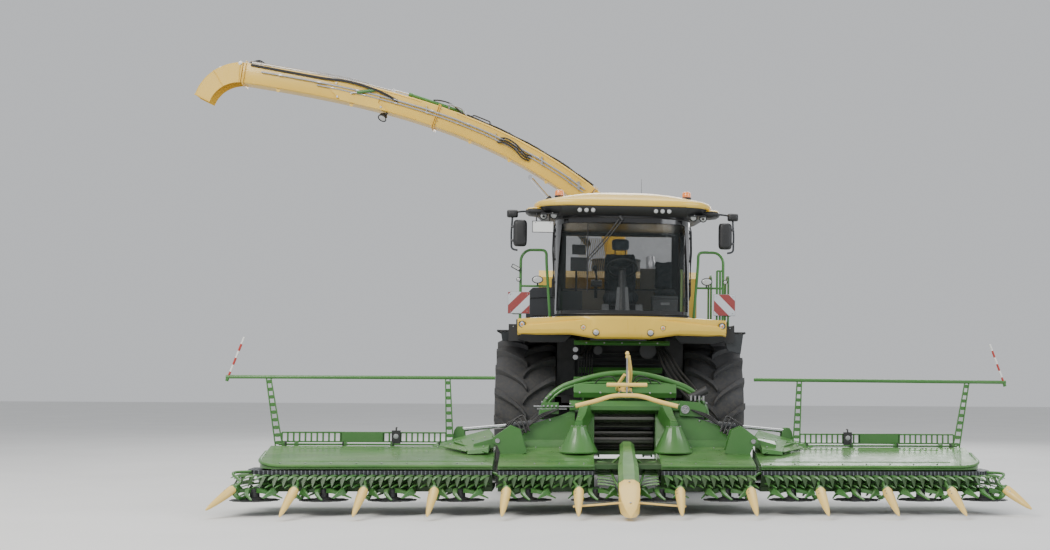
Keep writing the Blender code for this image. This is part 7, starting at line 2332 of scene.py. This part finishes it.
# exhaust outlet with its heat shield
fitting.slot = 6
fitting.tube(bend([at(0.62, 3.55, 3.00), at(0.62, 3.55, 3.30), at(0.62, 3.80, 3.46)], 0.16, 10), 0.075, 24,
    caps=False)
fitting.tube(bend([at(0.62, 3.55, 3.02), at(0.62, 3.55, 3.295), at(0.62, 3.785, 3.450)], 0.16, 10), 0.068, 24,
    caps=False)
fitting.spin([(0.13, 0.0), (0.125, 0.010), (0.085, 0.018), (0.080, 0.030)], at(0.62, 3.55, 3.050), (0, 0, 1),
    32)
make("hood_fittings", fitting, [bodyYellow, darkSteel, blackPlastic, redLens, amberLens, clearLens, bareSteel],
    "machine", sharp=38)

# dark box at the machine's right front, and the black plates between hood and cab
box = Form()
box.slot = 0
box.loft([[at(-1.29, 0.50, 2.00), at(-0.885, 0.50, 2.00), at(-0.885, 0.50, 2.80), at(-1.20, 0.50, 2.79),
    at(-1.29, 0.50, 2.70)],
          [at(-1.29, 1.05, 2.00), at(-0.885, 1.05, 2.00), at(-0.885, 1.05, 2.80), at(-1.20, 1.05, 2.79),
              at(-1.29, 1.05, 2.70)]], rounded=False)
box.slot = 1
for z in (2.32, 2.36, 2.40):
    box.tube([at(-1.20, 0.496, z), at(-1.00, 0.496, z)], 0.007, 8)
box.tube([at(-1.28, 0.494, 2.64), at(-0.90, 0.494, 2.66)], 0.006, 8)
box.slot = 2
for x in (-1.26, -0.92):
    for z in (2.34, 2.70 if x > -1 else 2.64):
        box.bolt(at(x, 0.50, z), (0, -1, 0), 0.012, 0.008)
make("side_box", box, [anthracite, blackPlastic, bareSteel], "machine", edge=0.010, sharp=32)
print("hood fitted")


# crossbars, couplings and drive shaft on the feeder, seen between the wheels

cross = Form()
cross.slot = 0
for z, y, tall in ((1.36, -1.30, 0.06), (1.50, -1.05, 0.05)):
    cross.loft([[at(-0.62, y, z), at(-0.62, y, z + tall), at(-0.62, y + 0.06, z + tall),
        at(-0.62, y + 0.06, z)],
                [at(0.62, y, z), at(0.62, y, z + tall), at(0.62, y + 0.06, z + tall), at(0.62, y + 0.06, z)]],
                    rounded=False)
for side in (1, -1):
    a, b = at(side * 0.45, -1.30, 1.20), at(side * 0.50, -1.00, 1.56)
    cross.block((min(a.x, b.x), a.y, a.z), (max(a.x, b.x), b.y, b.z))
cross.slot = 1
for k in range(7):
    x = -0.36 + 0.12 * k
    cross.tube([at(x, -2.10, 1.285), at(x, -1.20, 1.285)], 0.012, 8)
cross.slot = 2
for x in (-0.55, -0.20, 0.20, 0.55):
    cross.bolt(at(x, -1.302, 1.39), (0, -1, 0), 0.016, 0.010)
make("feeder_crossbars", cross, [headerGreen, feederPaint, bareSteel], "feeder_lift", edge=0.004, sharp=35)

shaft = Form()
shaft.slot = 0
shaft.tube([at(0.62, -2.30, 0.98), at(0.62, -1.50, 1.02)], 0.045, 20)
shaft.slot = 1
for y, z in ((-2.28, 0.981), (-1.52, 1.019)):
    shaft.spin([(0.062, -0.03), (0.066, -0.01), (0.066, 0.02), (0.050, 0.035)], at(0.62, y, z), (0, 1, 0.05),
        24)
shaft.slot = 2
for k in range(9):
    shaft.spin([(0.046, -0.006), (0.052, 0.0), (0.046, 0.006)], at(0.62, -2.20 + 0.018 * k, 0.985 + 0.0009 * k),
        (0, 1, 0.05), 24)
shaft.slot = 1
a, b = at(0.44, -1.62, 0.93), at(0.66, -1.46, 1.10)
shaft.block((a.x, a.y, a.z), (b.x, b.y, b.z))
make("header_drive_shaft", shaft, [creamPaint, darkSteel, blackPlastic], "feeder_lift", edge=0.003, sharp=38)
print("feeder fitted")


# what shows between the front wheels under the light bar: cross plates, guards, pulleys and lines
under = Form()
under.slot = 0
for z, y, tall, half in ((1.60, -0.62, 0.075, 0.56), (1.96, -1.18, 0.06, 0.62)):
    under.loft([[at(-half, y, z), at(-half, y - 0.02, z + tall * 0.5), at(-half, y, z + tall),
        at(-half, y + 0.05, z + tall), at(-half, y + 0.05, z)],
                [at(half, y, z), at(half, y - 0.02, z + tall * 0.5), at(half, y, z + tall),
                    at(half, y + 0.05, z + tall), at(half, y + 0.05, z)]], rounded=False)
under.loft([[at(-0.50, -0.60, 1.36), at(0.50, -0.60, 1.36), at(0.50, -0.60, 1.52), at(0.42, -0.60, 1.60),
    at(-0.42, -0.60, 1.60), at(-0.50, -0.60, 1.52)],
            [at(-0.50, -0.57, 1.36), at(0.50, -0.57, 1.36), at(0.50, -0.57, 1.52), at(0.42, -0.57, 1.60),
                at(-0.42, -0.57, 1.60), at(-0.50, -0.57, 1.52)]], rounded=False)
under.slot = 1
under.loft([[at(-0.60, -0.50, 1.30), at(0.60, -0.50, 1.30), at(0.60, -0.50, 2.02), at(-0.60, -0.50, 2.02)],
            [at(-0.60, -0.47, 1.30), at(0.60, -0.47, 1.30), at(0.60, -0.47, 2.02), at(-0.60, -0.47, 2.02)]],
                rounded=False)
for side in (1, -1):
    a, b = at(side * 0.60, -0.56, 1.30), at(side * 0.84, -0.40, 2.06)
    under.block((min(a.x, b.x), a.y, a.z), (max(a.x, b.x), b.y, b.z))
    for y, z in ((-0.66, 1.44), (-0.72, 1.80)):
        under.tube([at(side * 0.50, y, z), at(side * 0.62, y, z)], 0.035, 14)
for z in (1.72, 1.79, 1.86):
    under.tube([at(-0.54, -0.60, z), at(0.54, -0.60, z)], 0.020, 12)
under.slot = 3
under.spin([(0.030, -0.05), (0.110, -0.05), (0.110, -0.035), (0.085, -0.02), (0.085, 0.0), (0.110, 0.015),
    (0.110, 0.03), (0.030, 0.03)], at(0.36, -0.68, 1.90), (0, 1, 0), 40)
under.spin([(0.020, -0.05), (0.060, -0.05), (0.060, 0.03), (0.020, 0.03)], at(-0.30, -0.66, 1.90), (0, 1, 0),
    28)
under.slot = 2
for k in range(5):
    x = -0.46 + 0.23 * k
    under.bolt(at(x, -0.622, 1.64), (0, -1, 0), 0.014, 0.009)
    under.bolt(at(x, -1.202, 1.99), (0, -1, 0), 0.012, 0.008)
under.spin([(0.022, 0.0), (0.034, 0.0), (0.034, 0.02), (0.022, 0.02)], at(-0.60, -1.20, 1.90), (0, 1, 0), 20)
under.spin([(0.022, 0.0), (0.034, 0.0), (0.034, 0.02), (0.022, 0.02)], at(-0.60, -1.20, 1.80), (0, 1, 0), 20)
under.slot = 1
for k in range(6):
    x = -0.52 + 0.035 * k
    under.tube(curve([at(x, -0.58, 1.98), at(x - 0.03, -0.70, 1.80), at(x - 0.02, -0.66, 1.56),
        at(x + 0.04, -0.62, 1.40)], 6), 0.010, 8)
make("under_bar_fittings", under, [headerGreen, blackPlastic, bareSteel, darkSteel], "machine", edge=0.003,
    sharp=38)


# hoses from the machine to the header's coupler, each a tube along its path, on no body
headerHoses = {"diameter": 0.030, "spread": 0.052, "count": 4}
for k in range(headerHoses["count"]):
    off = (k - (headerHoses["count"] - 1) / 2) * headerHoses["spread"]
    knots = [(0.50 + off * 0.6, -1.10, 1.93), (0.56 + off, -1.22, 1.82), (0.66 + off * 1.2, -1.45, 1.62),
        (0.80 + off * 1.3, -1.75, 1.42), (0.90 + off * 0.8, -2.02, 1.25), (0.88 + off * 0.5, -2.13, 1.12),
        (0.80 + off * 0.6, -2.22, 1.05)]
    path = curve([at(*knot) for knot in knots], 5)
    run = sum((b - a).length for a, b in zip(path, path[1:]))
    form = Form()
    form.tube(path, headerHoses["diameter"] / 2, 14)
    mesh = bpy.data.meshes.new("header_hose_%d" % (k + 1))
    mesh.from_pydata(form.points, [], form.faces)
    mesh.materials.append(hoseRubber)
    mesh.polygons.foreach_set("use_smooth", form.rounds)
    hose = bpy.data.objects.new("header_hose_%d" % (k + 1), mesh)
    bpy.context.scene.collection.objects.link(hose)
    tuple(path[2])
    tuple(path[-3])
    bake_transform(hose)
    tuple(path[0])
coupler = Form()
coupler.slot = 0
a, b = at(0.70, -2.30, 0.97), at(0.96, -2.19, 1.10)
coupler.block(a, b)
coupler.slot = 1
for k in range(4):
    x = 0.80 + (k - 1.5) * 0.052 * 0.6
    coupler.spin([(0.019, -0.01), (0.021, 0.0), (0.021, 0.035), (0.017, 0.05)], at(x, -2.245, 1.05),
        (0, 0.6, 0.5), 16)
coupler.tube(bend([at(0.72, -2.29, 1.09), at(0.72, -2.31, 1.16), at(0.94, -2.31, 1.16), at(0.94, -2.29, 1.09)],
    0.03), 0.010, 10)
make("hose_coupler", coupler, [anthracite, bareSteel], "feeder_lift", edge=0.004, sharp=38)
print("hoses hung")


# fittings on the spout's near face: pipe clamps, mid joint plates, work lamp, grab handle, hose bundle, edge tabs
spoutFit = Form()
near = -1  # the face towards the front of the machine
spoutFit.slot = 0
for t in (0.04, 0.16, 0.30, 0.50):
    a, b = onBoom(t - 0.004, near, -0.10, 0.014), onBoom(t + 0.004, near, 0.62, 0.034)
    spoutFit.block((min(a.x, b.x), min(a.y, b.y), min(a.z, b.z)), (max(a.x, b.x), max(a.y, b.y), max(a.z, b.z)))
spoutFit.slot = 1
outline = [(0.60, -0.95), (0.63, -0.4), (0.63, 0.5), (0.66, 1.0), (0.74, 0.9), (0.78, 0.3), (0.73, -0.95)]
spoutFit.loft([[onBoom(t, near, up, 0.006) for t, up in outline],
    [onBoom(t, near, up * 0.97, 0.020) for t, up in outline]], rounded=False)
for t in (0.12, 0.24, 0.36, 0.70, 0.90):
    # pressed tabs on the lower edge
    spoutFit.loft([[onBoom(t - 0.006, near * 0.9, -1, -0.005), onBoom(t + 0.006, near * 0.9, -1, -0.005),
        onBoom(t + 0.002, near * 0.9, -1, 0.045), onBoom(t - 0.003, near * 0.9, -1, 0.045)],
                   [onBoom(t - 0.006, near * 0.8, -1, -0.005), onBoom(t + 0.006, near * 0.8, -1, -0.005),
                       onBoom(t + 0.002, near * 0.8, -1, 0.045), onBoom(t - 0.003, near * 0.8, -1, 0.045)]],
                       rounded=False)
spoutFit.slot = 2
roundLamp(spoutFit, onBoom(0.610, near * 0.8, -1, 0.10), (-0.35, -0.6, -0.75), 0.062, 0.09, lens=3, body=2,
    bowl=0)
spoutFit.slot = 2
spoutFit.tube([onBoom(0.600, near * 0.8, -1, -0.004), onBoom(0.608, near * 0.8, -1, 0.07)], 0.018, 12)
for k in range(3):
    lift = 0.30 - 0.22 * k
    spoutFit.tube(curve([onBoom(0.29, near, lift, 0.022), onBoom(0.27, near, lift + 0.22, 0.060),
        onBoom(0.24, near, lift + 0.10, 0.070), onBoom(0.21, near, lift - 0.25, 0.050),
        onBoom(0.19, near, lift - 0.15, 0.022)], 6), 0.011, 8)
for shift in (0.0, 0.10):
    spoutFit.tube(curve([onBoom(0.58, near, 0.30 - shift, 0.03), onBoom(0.64, near, 0.75 - shift, 0.060),
        onBoom(0.72, near, 0.95 - shift, 0.050), onBoom(0.80, near, 0.80 - shift, 0.020),
        onBoom(0.98, near, 0.88 - shift, 0.016)], 8), 0.011, 8)
spoutFit.slot = 4
spoutFit.tube([onBoom(0.645, near, 0.72, 0.045), onBoom(0.690, near, 0.10, 0.045)], 0.024, 16)
spoutFit.slot = 0
spoutFit.tube([onBoom(0.690, near, 0.10, 0.045), onBoom(0.705, near, -0.10, 0.045)], 0.012, 12)
spoutFit.tube(bend([onBoom(0.445, near * 0.9, 1, -0.004), onBoom(0.450, near * 0.9, 1, 0.075),
    onBoom(0.415, near * 0.9, 1, 0.075), onBoom(0.395, near * 0.9, 1, -0.004)], 0.03), 0.012, 10)
for t, up in ((0.645, 0.72), (0.705, -0.10), (0.62, -0.70), (0.75, 0.55), (0.74, -0.70), (0.66, 0.86)):
    spoutFit.bolt(onBoom(t, near, up, 0.020), (0, -1, 0), 0.017, 0.014)
make("spout_fittings", spoutFit, [bareSteel, spoutYellowShaded, hoseRubber, clearLens, headerGreen], "spout_lift",
    sharp=36)
print("spout fitted")
